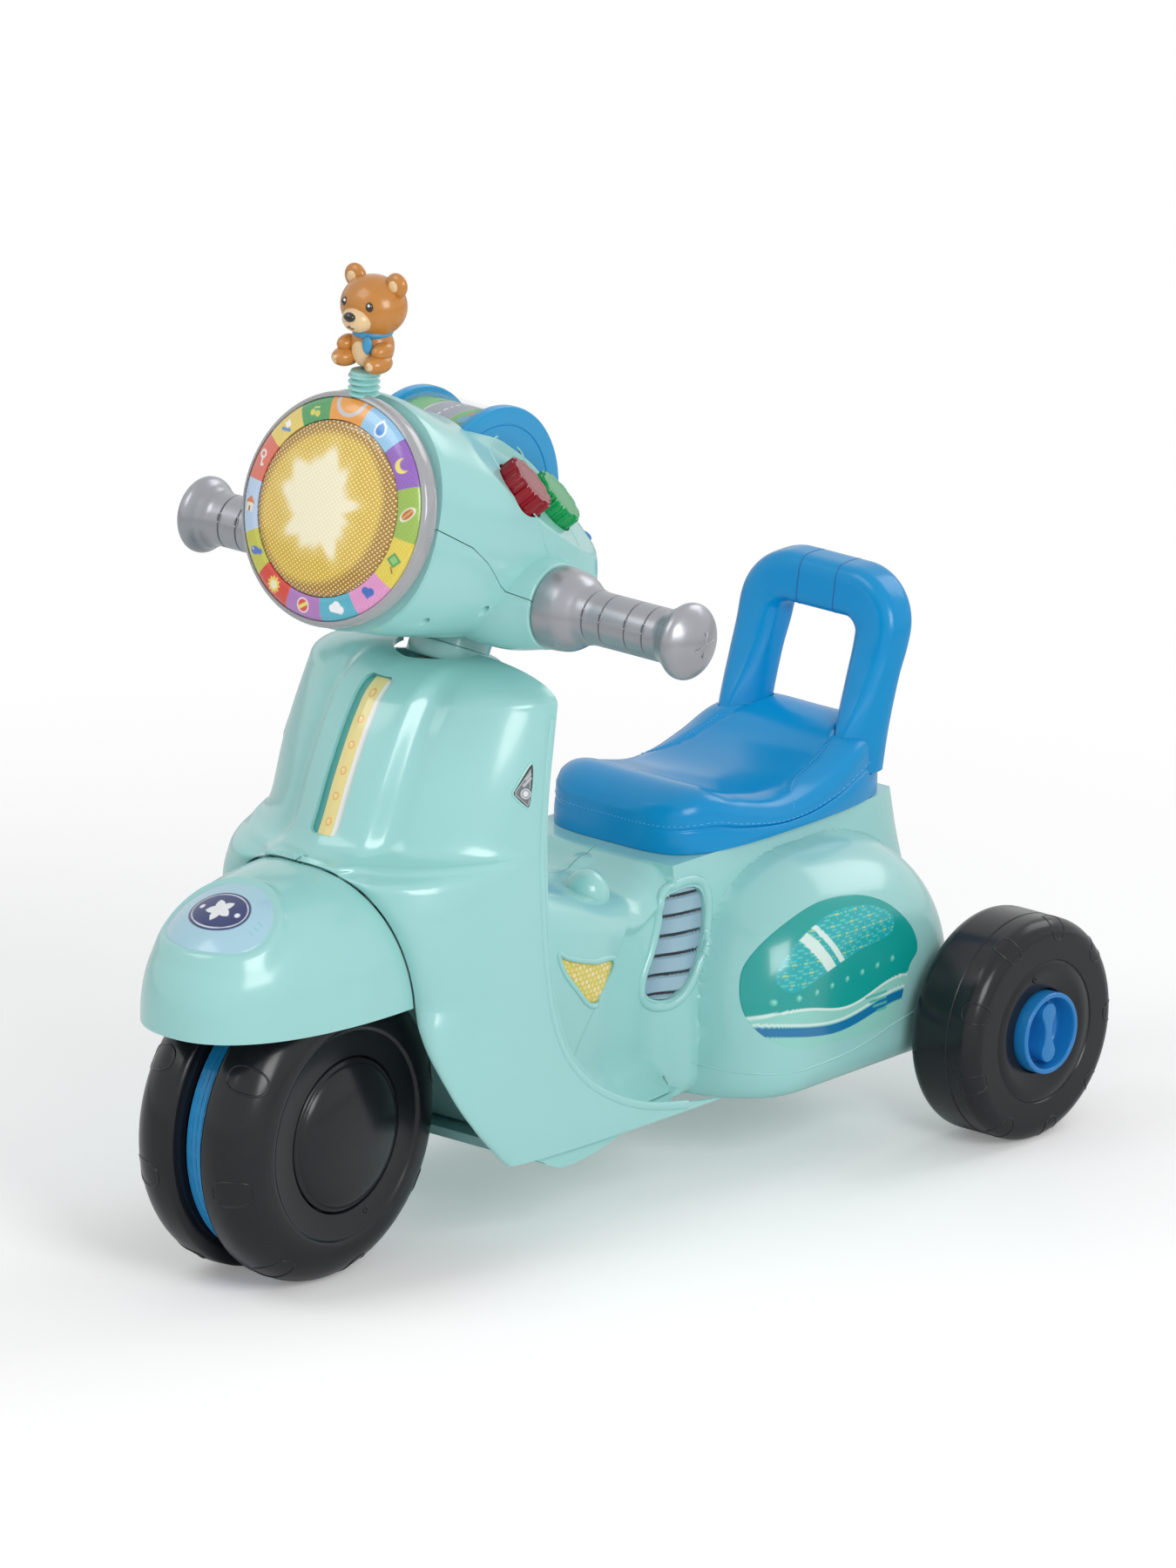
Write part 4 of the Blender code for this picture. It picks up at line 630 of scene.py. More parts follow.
def mirrored(bm: bmesh.types.BMesh) -> bmesh.types.BMesh:
    """Flip a mesh across X = 0, its faces still outwards."""
    bmesh.ops.scale(bm, verts=bm.verts[:], vec=(-1.0, 1.0, 1.0))
    bmesh.ops.reverse_faces(bm, faces=bm.faces[:])
    return bm


def on_side(bm: bmesh.types.BMesh, sign: int) -> bmesh.types.BMesh:
    """A left-hand mesh as it is for sign 1, flipped for the right side for sign -1."""
    return bm if sign > 0 else mirrored(bm)


def join(parts: Sequence[bmesh.types.BMesh]) -> bmesh.types.BMesh:
    """Put several meshes into one.

    Args:
        parts: the meshes, which are used up.

    Returns:
        One mesh with all their faces.
    """
    whole = bmesh.new()
    for part in parts:
        carrier = bpy.data.meshes.new("carrier")
        part.to_mesh(carrier)
        part.free()
        whole.from_mesh(carrier)
        bpy.data.meshes.remove(carrier)
    return whole


class Surface:
    """A finished skin that prints, seams and beads are dropped on to."""

    def __init__(self, bm: bmesh.types.BMesh) -> None:
        """Keep a search tree of the skin.

        Args:
            bm: the skin, which stays as it is.
        """
        self.tree = BVHTree.FromBMesh(bm)

    def drop(self, start: Sequence[float], along: Sequence[float]) -> tuple[Vector, Vector]:
        """Follow a ray to the skin.

        Args:
            start: where the ray begins.
            along: its direction.

        Returns:
            The point on the skin and the skin's normal, turned against the ray.
        """
        way = Vector(along).normalized()
        hit, normal, _, _ = self.tree.ray_cast(Vector(start), way)
        if hit is None:
            hit, normal, _, _ = self.tree.find_nearest(Vector(start))
        if normal.dot(way) > 0.0:
            normal = -normal
        return hit, normal

    def beside(self, y: float, z: float, sign: int = 1) -> tuple[Vector, Vector]:
        """The same for a ray that runs level from the left, or the right for sign -1."""
        return self.drop((sign * CLEAR_X, y, z), (-sign, 0.0, 0.0))


def bead(path: Callable[[float], tuple[Vector, Vector]], steps: int, width: float, height: float,
         closed: bool = True, sink: float = 0.0004) -> bmesh.types.BMesh:
    """A low rounded line that follows a path on a surface.

    Args:
        path: gives a point and the surface's normal at a share of the way.
        steps: the count of pieces along the line.
        width: the line's width.
        height: how far it stands proud; a thin dark one reads as a groove.
        closed: whether its end meets its start.
        sink: how deep its foot lies under the surface.

    Returns:
        The closed mesh.
    """
    count = steps if closed else steps + 1
    stations = [path(index / steps) for index in range(count)]
    section = [(-0.5, -sink), (-0.5, 0.0), (-0.32, height * 0.75), (0.0, height), (0.32, height * 0.75),
               (0.5, 0.0), (0.5, -sink)]

    def place(a: float, b: float) -> Vector:
        """A point of the line's rounded section at one of its stations."""
        step = round(a * steps)
        point, normal = stations[step % count]
        ahead = stations[(step + 1) % count if closed else min(step + 1, steps)][0]
        behind = stations[(step - 1) % count if closed else max(step - 1, 0)][0]
        side = (ahead - behind).cross(normal)
        side = side.normalized() if side.length > 1e-12 else Vector((1.0, 0.0, 0.0))
        across, up = section[round(b * 7) % 7]
        return point + side * (across * width) + normal * up

    bm = skin(steps, 7, place, 1e-7)
    if not closed:
        fill_rims(bm)
    return point_out(bm)


def polyline(points: Sequence[Sequence[float]], closed: bool = True) -> Callable[[float], Vector]:
    """A smooth path through points, walked at an even pace.

    Args:
        points: the points, of two or three parts each.
        closed: whether it returns to its start.

    Returns:
        A function that gives the point at a share of the way.
    """
    knots = [Vector(point).to_3d() for point in points]
    if closed:
        knots.append(knots[0])
    walked = [0.0]
    for before, after in zip(knots, knots[1:]):
        walked.append(walked[-1] + (after - before).length)
    if closed:
        knots = [knots[-2]] + knots + [knots[1]]
        walked = [walked[-2] - walked[-1]] + walked + [walked[-1] + walked[1]]
    tables = [[(way, knot[part]) for way, knot in zip(walked, knots)] for part in range(3)]
    first, last = (walked[1], walked[-2]) if closed else (walked[0], walked[-1])

    def at(share: float) -> Vector:
        """The point at a share of the way along."""
        way = first + (last - first) * share
        return Vector([interpolate(table, way) for table in tables])

    return at


def publish(name: str, bm: bmesh.types.BMesh, finish: object, berth: Berth,
            angle: float = 35.0) -> bpy.types.Object:
    """Turn a mesh into a finished piece that rides on its body.

    Args:
        name: the piece's name.
        bm: its mesh, which is used up.
        finish: its finish.
        berth: where it belongs.
        angle: the edge angle above which it stays sharp, in degrees.

    Returns:
        The piece.
    """
    mesh = bpy.data.meshes.new(name)
    bm.to_mesh(mesh)
    bm.free()
    piece = bpy.data.objects.new(name, mesh)
    bpy.context.scene.collection.objects.link(piece)
    mesh.shade_smooth()
    mesh.set_sharp_from_angle(angle=math.radians(angle))
    mesh.materials.clear()
    mesh.materials.append(Finishes.get(finish))
    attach(piece, berth.body.value)
    if berth.replaces:
        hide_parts(*berth.replaces)
    LOG.info("%s: %d faces on %s", name, len(mesh.polygons), berth.body.value)
    return piece


def dress(name: str, finish: object) -> None:
    """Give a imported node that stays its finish."""
    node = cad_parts[name]
    node.data.materials.clear()
    node.data.materials.append(Finishes.get(finish))
    LOG.info("%s dressed in %s", name, finish.name)


def carve(bm: bmesh.types.BMesh, cuts: Sequence[tuple[bmesh.types.BMesh, str]]) -> bmesh.types.BMesh:
    """Cut, join or keep parts of a solid with other solids.

    Args:
        bm: the solid, which is used up.
        cuts: each tool's mesh and its Boolean operation; the meshes are used up.

    Returns:
        The result.
    """
    holders = []
    for index, (part, _) in enumerate([(bm, "")] + list(cuts)):
        mesh = bpy.data.meshes.new(f"carve_{index}")
        part.to_mesh(mesh)
        part.free()
        holder = bpy.data.objects.new(f"carve_{index}", mesh)
        bpy.context.scene.collection.objects.link(holder)
        holders.append(holder)
    for holder, (_, operation) in zip(holders[1:], cuts):
        step = holders[0].modifiers.new("step", "BOOLEAN")
        step.operation = operation
        step.solver = "EXACT"
        step.object = holder
    graph = bpy.context.evaluated_depsgraph_get()
    result = bpy.data.meshes.new_from_object(holders[0].evaluated_get(graph))
    carved = bmesh.new()
    carved.from_mesh(result)
    bpy.data.meshes.remove(result)
    for holder in holders:
        mesh = holder.data
        bpy.data.objects.remove(holder)
        bpy.data.meshes.remove(mesh)
    return carved


class Canvas:
    """A print painted point by point from shapes with soft edges."""

    def __init__(self, across: np.ndarray, up: np.ndarray, ground: Colour, edge: float = 0.00025) -> None:
        """Start a print.

        Args:
            across: each point's first coordinate, in metres.
            up: each point's second coordinate.
            ground: the colour it starts from.
            edge: the width over which a shape's rim fades.
        """
        self.across = across
        self.up = up
        self.edge = edge
        self.ink = np.tile(np.array(ground, float), (len(across), 1))

    def lay(self, distance: np.ndarray, colour: Colour, strength: float = 1.0) -> None:
        """Paint where a distance is below zero."""
        share = np.clip(0.5 - distance / self.edge, 0.0, 1.0)[:, None] * strength
        self.ink = self.ink * (1.0 - share) + np.array(colour, float) * share

    def turned(self, x: float, y: float, angle: float) -> tuple[np.ndarray, np.ndarray]:
        """Coordinates about a point, turned by an angle in degrees."""
        c, s = math.cos(math.radians(angle)), math.sin(math.radians(angle))
        dx, dy = self.across - x, self.up - y
        return dx * c + dy * s, dy * c - dx * s

    def disc(self, x: float, y: float, radius: float, colour: Colour, stretch: float = 1.0,
             angle: float = 0.0) -> None:
        """Paint a disc, stretched along its first axis."""
        dx, dy = self.turned(x, y, angle)
        self.lay(np.hypot(dx / stretch, dy) - radius, colour)

    def ring(self, x: float, y: float, radius: float, width: float, colour: Colour) -> None:
        """Paint a ring of a line's width."""
        self.lay(np.abs(np.hypot(self.across - x, self.up - y) - radius) - width / 2, colour)

    def bar(self, x: float, y: float, half: float, tall: float, colour: Colour, angle: float = 0.0,
            corner: float = 0.0) -> None:
        """Paint a rectangle of two half-sizes with rounded corners."""
        dx, dy = self.turned(x, y, angle)
        qx, qy = np.abs(dx) - half + corner, np.abs(dy) - tall + corner
        outside = np.hypot(np.maximum(qx, 0.0), np.maximum(qy, 0.0)) - corner
        self.lay(outside + np.minimum(np.maximum(qx, qy), 0.0), colour)

    def star(self, x: float, y: float, radius: float, colour: Colour, points: int = 5,
             depth: float = 0.45, angle: float = 0.0) -> None:
        """Paint a star whose rim swings between two radii."""
        dx, dy = self.turned(x, y, angle)
        turn = np.arctan2(dx, dy) * points / math.tau
        share = np.abs(turn - np.round(turn)) * 2.0
        self.lay(np.hypot(dx, dy) - radius * (1.0 - depth * share), colour)


def printed(name: str, cells: tuple[int, int], layout: Callable[[float, float], tuple[float, float]],
            lift: Callable[[float, float], Vector], paint: Callable[[np.ndarray, np.ndarray], Canvas],
            finish: object, berth: Berth, tuck: Optional[Callable[[float, float], Vector]] = None,
            weld: float = 1e-6) -> bpy.types.Object:
    """A sheet laid on a surface, with its print painted on its points.

    Args:
        name: the piece's name.
        cells: its grid's counts.
        layout: flat coordinates of a grid corner, from its two shares.
        lift: the place of a flat point on the surface.
        paint: fills a canvas from flat coordinates.
        finish: the sheet's finish.
        berth: where it belongs.
        tuck: the place to which a rim point is drawn down, to close the rim.
        weld: the distance within which points become one.

    Returns:
        The piece.
    """
    bm = bmesh.new()
    bmesh.ops.create_grid(bm, x_segments=cells[0], y_segments=cells[1], size=0.5)
    flat = [layout(vert.co.x + 0.5, vert.co.y + 0.5) for vert in bm.verts]
    spots = np.array(flat)
    ink = paint(spots[:, 0], spots[:, 1]).ink
    layer = bm.verts.layers.float_color.new(PRINT_LAYER)
    for vert, spot, colour in zip(bm.verts, flat, ink):
        vert.co = lift(*spot)
        vert[layer] = (*colour, 1.0)
    bmesh.ops.remove_doubles(bm, verts=bm.verts[:], dist=weld)
    bmesh.ops.dissolve_degenerate(bm, edges=bm.edges[:], dist=weld * 0.1)
    if tuck is not None:
        for vert in grow(bm, open_rim(bm))[0]:
            vert.co = tuck(vert.co)
    return publish(name, bm, finish, berth, 50.0)


def inside(outline: Sequence[tuple[float, float]], a: float, b: float) -> float:
    """How far a flat point lies inside an outline, negative outside.

    Args:
        outline: the corners, in order.
        a: the point's first coordinate.
        b: its second.

    Returns:
        The signed distance to the nearest side.
    """
    nearest, within = 1.0, False
    for (a0, b0), (a1, b1) in zip(outline, list(outline[1:]) + [outline[0]]):
        run_a, run_b = a1 - a0, b1 - b0
        share = ((a - a0) * run_a + (b - b0) * run_b) / max(run_a * run_a + run_b * run_b, 1e-18)
        share = min(1.0, max(0.0, share))
        nearest = min(nearest, math.hypot(a - a0 - share * run_a, b - b0 - share * run_b))
        if (b0 > b) != (b1 > b) and a < a0 + (b - b0) / (b1 - b0) * run_a:
            within = not within
    return nearest if within else -nearest


def depths_inside(outline: Sequence[tuple[float, float]], across: np.ndarray, up: np.ndarray) -> np.ndarray:
    """The same for many points at once."""
    return np.array([inside(outline, float(a), float(b)) for a, b in zip(across, up)])


def corner_trim(corner: float, near: float) -> float:
    """How much narrower a band with rounded ends is at a distance from its end."""
    return corner - math.sqrt(max(0.0, corner ** 2 - max(0.0, corner - near) ** 2))


def smooth_outline(corners: Sequence[tuple[float, float]], count: int = 72) -> list[tuple[float, float]]:
    """An even, rounded outline through some corners."""
    path = polyline([(a, b, 0.0) for a, b in corners])
    return [(path(index / count).x, path(index / count).y) for index in range(count)]


def stitches(path: Callable[[float], tuple[Vector, Vector]], count: int, width: float = 0.0006,
             height: float = 0.0004, fill: float = 0.62) -> bmesh.types.BMesh:
    """A row of short raised stitches along a path on a surface.

    Args:
        path: gives a point and the surface's normal at a share of the way.
        count: how many stitches there are.
        width: a stitch's width.
        height: how far it stands proud.
        fill: the share of each step that the stitch covers.

    Returns:
        The mesh.
    """
    parts = []
    for index in range(count):
        start, normal = path((index + 0.5 - fill / 2) / count)
        end, _ = path((index + 0.5 + fill / 2) / count)
        way = end - start
        if way.length < 1e-6:
            continue
        turn = Matrix((way.normalized(), normal.cross(way).normalized(), normal)).transposed().to_4x4()
        shape = ball(0.5, (way.length, width, height * 2.0), segments=6, rings=4)
        parts.append(shift(shape, Matrix.Translation((start + end) / 2) @ turn))
    return join(parts)


def cube_skin(cuts: int, place: Callable[[float, float, float], Sequence[float]]) -> bmesh.types.BMesh:
    """A finely divided cube from -1 to 1 whose points are moved by a function.

    Args:
        cuts: the cuts along each edge.
        place: gives a point's place from its three parts.

    Returns:
        The closed mesh.
    """
    bm = bmesh.new()
    bmesh.ops.create_cube(bm, size=2.0)
    bmesh.ops.subdivide_edges(bm, edges=bm.edges[:], cuts=cuts, use_grid_fill=True)
    for vert in bm.verts:
        vert.co = Vector(place(*vert.co))
    return point_out(bm)


@dataclass
class FrontWheel:
    """Two hard black halves with oval tread pads, and their domed caps."""

    axle_y: float = FRONT_AXLE_Y
    radius: float = FRONT_RADIUS
    half_width: float = 0.0425
    inner_x: float = 0.0085
    shoulder: float = 0.0220
    bore: float = 0.0056
    face_r: float = 0.0565
    face_drop: float = 0.0016
    cap_r: float = 0.0415
    cap_rise: float = 0.0085
    pad_count: int = 8
    pad_phase: float = 102.0
    pad_around: float = 0.0075
    pad_across: float = 0.0118
    pad_tilt: float = 64.0

    def build(self) -> None:
        """Make both halves and both caps."""
        for side, sign in (("left", 1), ("right", -1)):
            self.half(side, sign)
            self.cap(side, sign)

    def seat(self, bm: bmesh.types.BMesh, sign: int) -> bmesh.types.BMesh:
        """Move a left-hand mesh from the origin to its side of the axle."""
        return shift(on_side(bm, sign), Matrix.Translation((0.0, self.axle_y, self.radius)))

    def pad_path(self, turn: float) -> Callable[[float], tuple[Vector, Vector]]:
        """The outline of one tread pad on the shoulder.

        Args:
            turn: the pad's angle about the axle from straight up towards the front, in radians.

        Returns:
            A path for a bead.
        """
        center_x = self.half_width - self.shoulder
        center_r = self.radius - self.shoulder

        def at(share: float) -> tuple[Vector, Vector]:
            """A point of the pad's outline and the tyre's normal there."""
            spin = math.tau * share
            swing = self.pad_across / self.shoulder * signed_power(math.sin(spin), 0.75)
            tilt = math.radians(self.pad_tilt) + swing
            around = turn + self.pad_around / self.radius * signed_power(math.cos(spin), 0.75)
            out = Vector((0.0, -math.sin(around), math.cos(around)))
            if tilt > math.pi / 2:
                past = (tilt - math.pi / 2) * self.shoulder
                return Vector((center_x - past, 0.0, 0.0)) + out * self.radius, out
            normal = Vector((math.cos(tilt), 0.0, 0.0)) + out * math.sin(tilt)
            return Vector((center_x, 0.0, 0.0)) + out * center_r + normal * self.shoulder, normal

        return at

    def half(self, side: str, sign: int) -> None:
        """Make one half with its recessed face and its pads."""
        center = (self.half_width - self.shoulder, self.radius - self.shoulder)
        floor_x = self.half_width - self.face_drop
        profile = [(self.inner_x, self.bore), (self.inner_x, 0.0740),
                   (self.inner_x + 0.0008, self.radius - 0.0035),
                   (self.inner_x + 0.0022, self.radius - 0.0012),
                   (self.inner_x + 0.0045, self.radius - 0.0003)]
        profile += arc(center, self.shoulder, 90, 6, 22)
        profile += [(self.half_width + 0.0001, self.face_r + 0.0040), (self.half_width, self.face_r + 0.0022)]
        profile += [(self.half_width - 0.0005, self.face_r + 0.0009),
                    (floor_x + 0.0003, self.face_r + 0.0002)]
        profile += [(floor_x, self.face_r - 0.0005), (floor_x + 0.0002, self.cap_r + 0.0012)]
        profile += [(floor_x - 0.0012, self.cap_r + 0.0005), (floor_x - 0.0045, self.cap_r + 0.0004)]
        profile += [(floor_x - 0.0045, self.bore)]
        parts = [lathe(profile, 144)]
        for index in range(self.pad_count):
            turn = math.radians(self.pad_phase + 360.0 / self.pad_count * index)
            parts.append(bead(self.pad_path(turn), 48, 0.0013, 0.00045))
        screw = lathe([(-0.001, 0.0), (-0.001, 0.0017), (0.0003, 0.0017), (0.0006, 0.0012), (0.0, 0.0008),
                       (-0.0004, 0.0)], 16)
        parts.append(shift(screw, Matrix.Translation((floor_x, 0.0165, -0.0455))))
        berth = Berth(Body.FRONT_WHEEL, "black_plastic", (f"front_wheel_{side}",))
        publish(f"wheel_half_{side}", self.seat(join(parts), sign), Finishes.TYRE, berth, 50.0)

    def cap(self, side: str, sign: int) -> None:
        """Make one domed cap with the step round its rim."""
        base = self.half_width - self.face_drop - 0.0040
        top = self.half_width + self.cap_rise
        low = base + 0.0036
        profile = [(base, 0.0), (base, self.cap_r), (low, self.cap_r), (low + 0.0010, self.cap_r - 0.0006),
                   (low + 0.0012, self.cap_r - 0.0018)]
        reach = self.cap_r - 0.0022
        for index in range(20):
            angle = math.radians(90.0 * (index + 1) / 20)
            profile.append((low + 0.0010 + (top - low - 0.0010) * math.sin(angle) ** 1.15,
                            reach * math.cos(angle)))
        profile[-1] = (top, 0.0)
        berth = Berth(Body.FRONT_WHEEL, "black_plastic", (f"front_cap_{side}",))
        publish(f"wheel_cap_{side}", self.seat(lathe(profile, 96), sign), Finishes.TYRE, berth, 50.0)


@dataclass
class RearWheel:
    """A hard black wheel with tread tabs and a blue lock knob in its face."""

    axle_y: float = 0.2327
    radius: float = 0.0607
    face_x: float = 0.1596
    width: float = 0.0460
    shoulder: float = 0.0095
    bore: float = 0.0056
    ring_r: float = 0.0385
    knob_r: float = 0.0222
    knob_proud: float = 0.0052
    knob_depth: float = 0.0170
    knob_wall: float = 0.0028
    lobe_r: float = 0.0056
    lobe_pitch: float = 0.0108
    neck_r: float = 0.0026
    tab_count: int = 9
    tab_around: float = 0.0056
    tab_across: float = 0.0088

    def build(self) -> None:
        """Make both wheels and both knobs."""
        for side, sign in (("left", 1), ("right", -1)):
            self.wheel(side, sign)
            self.knob(side, sign)

    def seat(self, bm: bmesh.types.BMesh, sign: int) -> bmesh.types.BMesh:
        """Move a left-hand mesh from the origin to its side of the axle."""
        return shift(on_side(bm, sign), Matrix.Translation((0.0, self.axle_y, self.radius)))

    def rim_point(self, turn: float, way: float) -> tuple[Vector, Vector]:
        """A place on the wheel, by angle and by the way from its face over the shoulder.

        Args:
            turn: the angle about the axle, in radians.
            way: the length from where the face meets the shoulder, positive towards the tread.

        Returns:
            The point and the normal.
        """
        out = Vector((0.0, math.sin(turn), math.cos(turn)))
        side = Vector((1.0, 0.0, 0.0))
        quarter = self.shoulder * math.pi / 2
        if way <= 0.0:
            return side * self.face_x + out * (self.radius - self.shoulder + way), side
        if way < quarter:
            tilt = way / self.shoulder
            normal = side * math.cos(tilt) + out * math.sin(tilt)
            center = side * (self.face_x - self.shoulder) + out * (self.radius - self.shoulder)
            return center + normal * self.shoulder, normal
        return side * (self.face_x - self.shoulder - way + quarter) + out * self.radius, out

    def wheel(self, side: str, sign: int) -> None:
        """Make one wheel: shell, ring grooves, tabs and screw."""
        inner = self.face_x - self.width
        pocket = self.knob_r + 0.0006
        floor_x = self.face_x + self.knob_proud - self.knob_depth - 0.0003
        out = (self.face_x - self.shoulder, self.radius - self.shoulder)
        back = (inner + self.shoulder, self.radius - self.shoulder)
        line_x = self.face_x - 0.0175
        profile = [(inner + 0.0060, self.bore), (inner + 0.0060, 0.0290), (inner + 0.0050, 0.0305),
                   (inner + 0.0004, 0.0326), (inner, 0.0340)]
        profile += arc(back, self.shoulder, 180, 90, 12)
        profile += [(line_x - 0.0007, self.radius), (line_x - 0.0002, self.radius - 0.0006),
                    (line_x + 0.0002, self.radius - 0.0006), (line_x + 0.0007, self.radius)]
        profile += arc(out, self.shoulder, 90, 0, 12)
        profile += [(self.face_x, self.ring_r + 0.0007), (self.face_x - 0.0006, self.ring_r + 0.0002),
                    (self.face_x - 0.0006, self.ring_r - 0.0002),
                    (self.face_x - 0.0001, self.ring_r - 0.0007)]
        profile += [(self.face_x - 0.0006, pocket + 0.0080), (self.face_x - 0.0014, pocket + 0.0045),
                    (self.face_x - 0.0016, pocket + 0.0018), (self.face_x - 0.0020, pocket + 0.0004)]
        profile += [(self.face_x - 0.0032, pocket), (floor_x, pocket), (floor_x, self.bore)]
        parts = [lathe(profile, 144)]
        middle = self.shoulder * math.pi / 4
        for index in range(self.tab_count):
            turn = math.tau * (index + 0.3) / self.tab_count

            def tab(share: float, turn: float = turn) -> tuple[Vector, Vector]:
                """A point of one tread tab's outline and the tyre's normal there."""
                spin = math.tau * share
                around = turn + self.tab_around / self.radius * signed_power(math.cos(spin), 0.65)
                return self.rim_point(around, middle + self.tab_across * signed_power(math.sin(spin), 0.65))

            parts.append(bead(tab, 44, 0.0011, 0.00035))
        screw = lathe([(-0.001, 0.0), (-0.001, 0.0018), (0.0002, 0.0018), (0.0005, 0.0013), (-0.0002, 0.0009),
                       (-0.0006, 0.0)], 16)
        parts.append(shift(screw, Matrix.Translation((self.face_x - 0.0004, -0.0085, 0.0305))))
        berth = Berth(self.wheel_body(sign), "black_plastic", (f"rear_wheel_{side}",))
        publish(f"rear_shell_{side}", self.seat(join(parts), sign), Finishes.TYRE, berth, 50.0)

    def wheel_body(self, sign: int) -> Body:
        """The body that a side's wheel turns with."""
        return Body.REAR_LEFT if sign > 0 else Body.REAR_RIGHT

    def knob(self, side: str, sign: int) -> None:
        """Make one lock knob: a deep cup with a bone-shaped bar to turn it by."""
        low = self.face_x + self.knob_proud - self.knob_depth
        top = self.face_x + self.knob_proud
        floor_x = top - 0.0125
        inside = self.knob_r - self.knob_wall
        cup = [(low, 0.0), (low, self.knob_r - 0.001), (low + 0.001, self.knob_r),
               (top - 0.0010, self.knob_r)]
        cup += arc((top - 0.0010, self.knob_r - 0.0010), 0.0010, 60, 0, 3)
        cup += arc((top - 0.0008, inside + 0.0008), 0.0008, 0, -60, 3)
        cup += [(top - 0.0022, inside), (floor_x + 0.0030, inside - 0.0006)]
        cup += arc((floor_x + 0.0026, inside - 0.0034), 0.0026, 80, 180, 5)
        cup += [(floor_x, 0.0)]
        outline = []
        for end in (1, -1):
            for index in range(17):
                angle = math.radians(-125 + 250 * index / 16)
                reach = self.lobe_r
                outline.append((reach * math.sin(angle) * end,
                                end * (self.lobe_pitch + reach * math.cos(angle))))
            waist = self.neck_r * end
            outline += [(waist * 1.25, 0.0045 * end), (waist, 0.0), (waist * 1.25, -0.0045 * end)]
        bar = prism(outline, floor_x - 0.001, top - 0.0016, round_off=0.0007)
        berth = Berth(Body.KNOB_LEFT if sign > 0 else Body.KNOB_RIGHT, "knob_plastic", (f"lock_knob_{side}",))
        publish(f"lock_cup_{side}", self.seat(join([lathe(cup, 96), bar]), sign), Finishes.KNOB_BLUE,
                berth, 45.0)


@dataclass
class Fender:
    """The front fender with its raised pad."""

    half_width: float = 0.0610
    max_y: float = -0.1700
    nose: float = 0.1235
    edge_z: float = 0.1490
    crown: float = 0.0730
    wall: float = 0.0026
    seam_top_y: float = -0.1948
    seam_side_y: float = -0.1700
    seam_gap: float = 0.00020
    pad_y: float = -0.2550
    pad_x: float = 0.0385
    pad_l: float = 0.0300
    pad_rise: float = 0.0024
    pad_dish: float = 0.0020
    disc_reach: float = 0.795
    disc_lift: float = 0.00012

    def section(self, y: float, swing: float, grow: float = 0.0) -> tuple[float, float]:
        """Across and up of the skin at a place along it.

        Args:
            y: the place along the fender.
            swing: the angle round it, 0 at the top.
            grow: how far outside the skin.

        Returns:
            The X and Z of the place.
        """
        share = max(0.0, (self.max_y - y) / self.nose)
        half = (self.half_width + grow) * super_part(share, 2.3)
        crown = (self.crown + grow) * super_part(share, 2.6)
        x = half * signed_power(math.sin(swing), 0.86)
        return x, self.edge_z + crown * max(0.0, math.cos(swing)) ** 0.80

    def seam_y(self, swing: float) -> float:
        """The line where the fender meets the shield, by the angle round it."""
        share = abs(swing) / math.radians(90.0)
        return self.seam_top_y + (self.seam_side_y - self.seam_top_y) * share ** 1.2

    def place(self, a: float, b: float) -> Vector:
        """The skin: a across from side to side, b from the nose back to the seam."""
        swing = math.radians(90.0) * (2.0 * a - 1.0)
        rear = self.seam_y(swing) - self.seam_gap
        nose = self.max_y - self.nose
        y = rear + (nose - rear) * math.sin(math.radians(90.0) * (1.0 - b))
        x, z = self.section(y, swing)
        reach = math.hypot(x / self.pad_x, (y - self.pad_y) / self.pad_l)
        rise = self.pad_rise * (1.0 - smoothstep(0.90, 1.04, reach))
        dish = self.pad_dish * (1.0 - smoothstep(0.80, 0.88, reach))
        return Vector((x, y, z + rise - dish))

    def build(self) -> None:
        """Make the fender and the printed disc on its pad."""
        outer = skin(160, 120, self.place, 0.00002)
        point_out(outer)
        if sum(face.normal.z for face in outer.faces) < 0.0:
            bmesh.ops.reverse_faces(outer, faces=outer.faces[:])
        surface = Surface(outer)
        thicken(outer, self.wall)
        publish("fender_shell", outer, Finishes.MINT, Berth(Body.FRAME, "mint_plastic", ("front_fender",)),
                40.0)

        def layout(a: float, b: float) -> tuple[float, float]:
            """A place on the disc from its turn and its share of the radius."""
            reach = self.disc_reach * b
            return self.pad_x * reach * math.cos(math.tau * a), self.pad_l * reach * math.sin(math.tau * a)

        def lift(p: float, q: float) -> Vector:
            """Drop a place of the disc on to the pad."""
            hit, normal = surface.drop((p, self.pad_y + q, 0.3), (0.0, 0.0, -1.0))
            return hit + normal * self.disc_lift

        def paint(p: np.ndarray, q: np.ndarray) -> Canvas:
            """A star in a dark oval on pale blue, with dashes beside it."""
            canvas = Canvas(p, q, (0.395, 0.640, 0.760))
            canvas.disc(0.0, 0.0, 0.0138, (0.014, 0.030, 0.150), 1.30)
            canvas.disc(0.0, 0.0, 0.0124, (0.80, 0.84, 0.88), 1.335)
            canvas.disc(0.0, 0.0, 0.0118, (0.014, 0.030, 0.150), 1.36)
            canvas.star(0.0, 0.0, 0.0080, (0.85, 0.87, 0.90), angle=180.0)
            for side in (-1, 1):
                canvas.disc(side * 0.0118, 0.0, 0.0015, (0.85, 0.87, 0.90))
                for step in range(3):
                    canvas.bar(side * 0.0246, 0.0034 - 0.0034 * step, 0.0018 - 0.0003 * step, 0.00055,
                               (0.30, 0.60, 0.66), corner=0.0004)
            return canvas

        printed("fender_disc", (144, 60), layout, lift, paint, Finishes.FILM, FRAME_PRINT,
                lambda co: co + Vector((0.0, 0.0, -0.0004)))


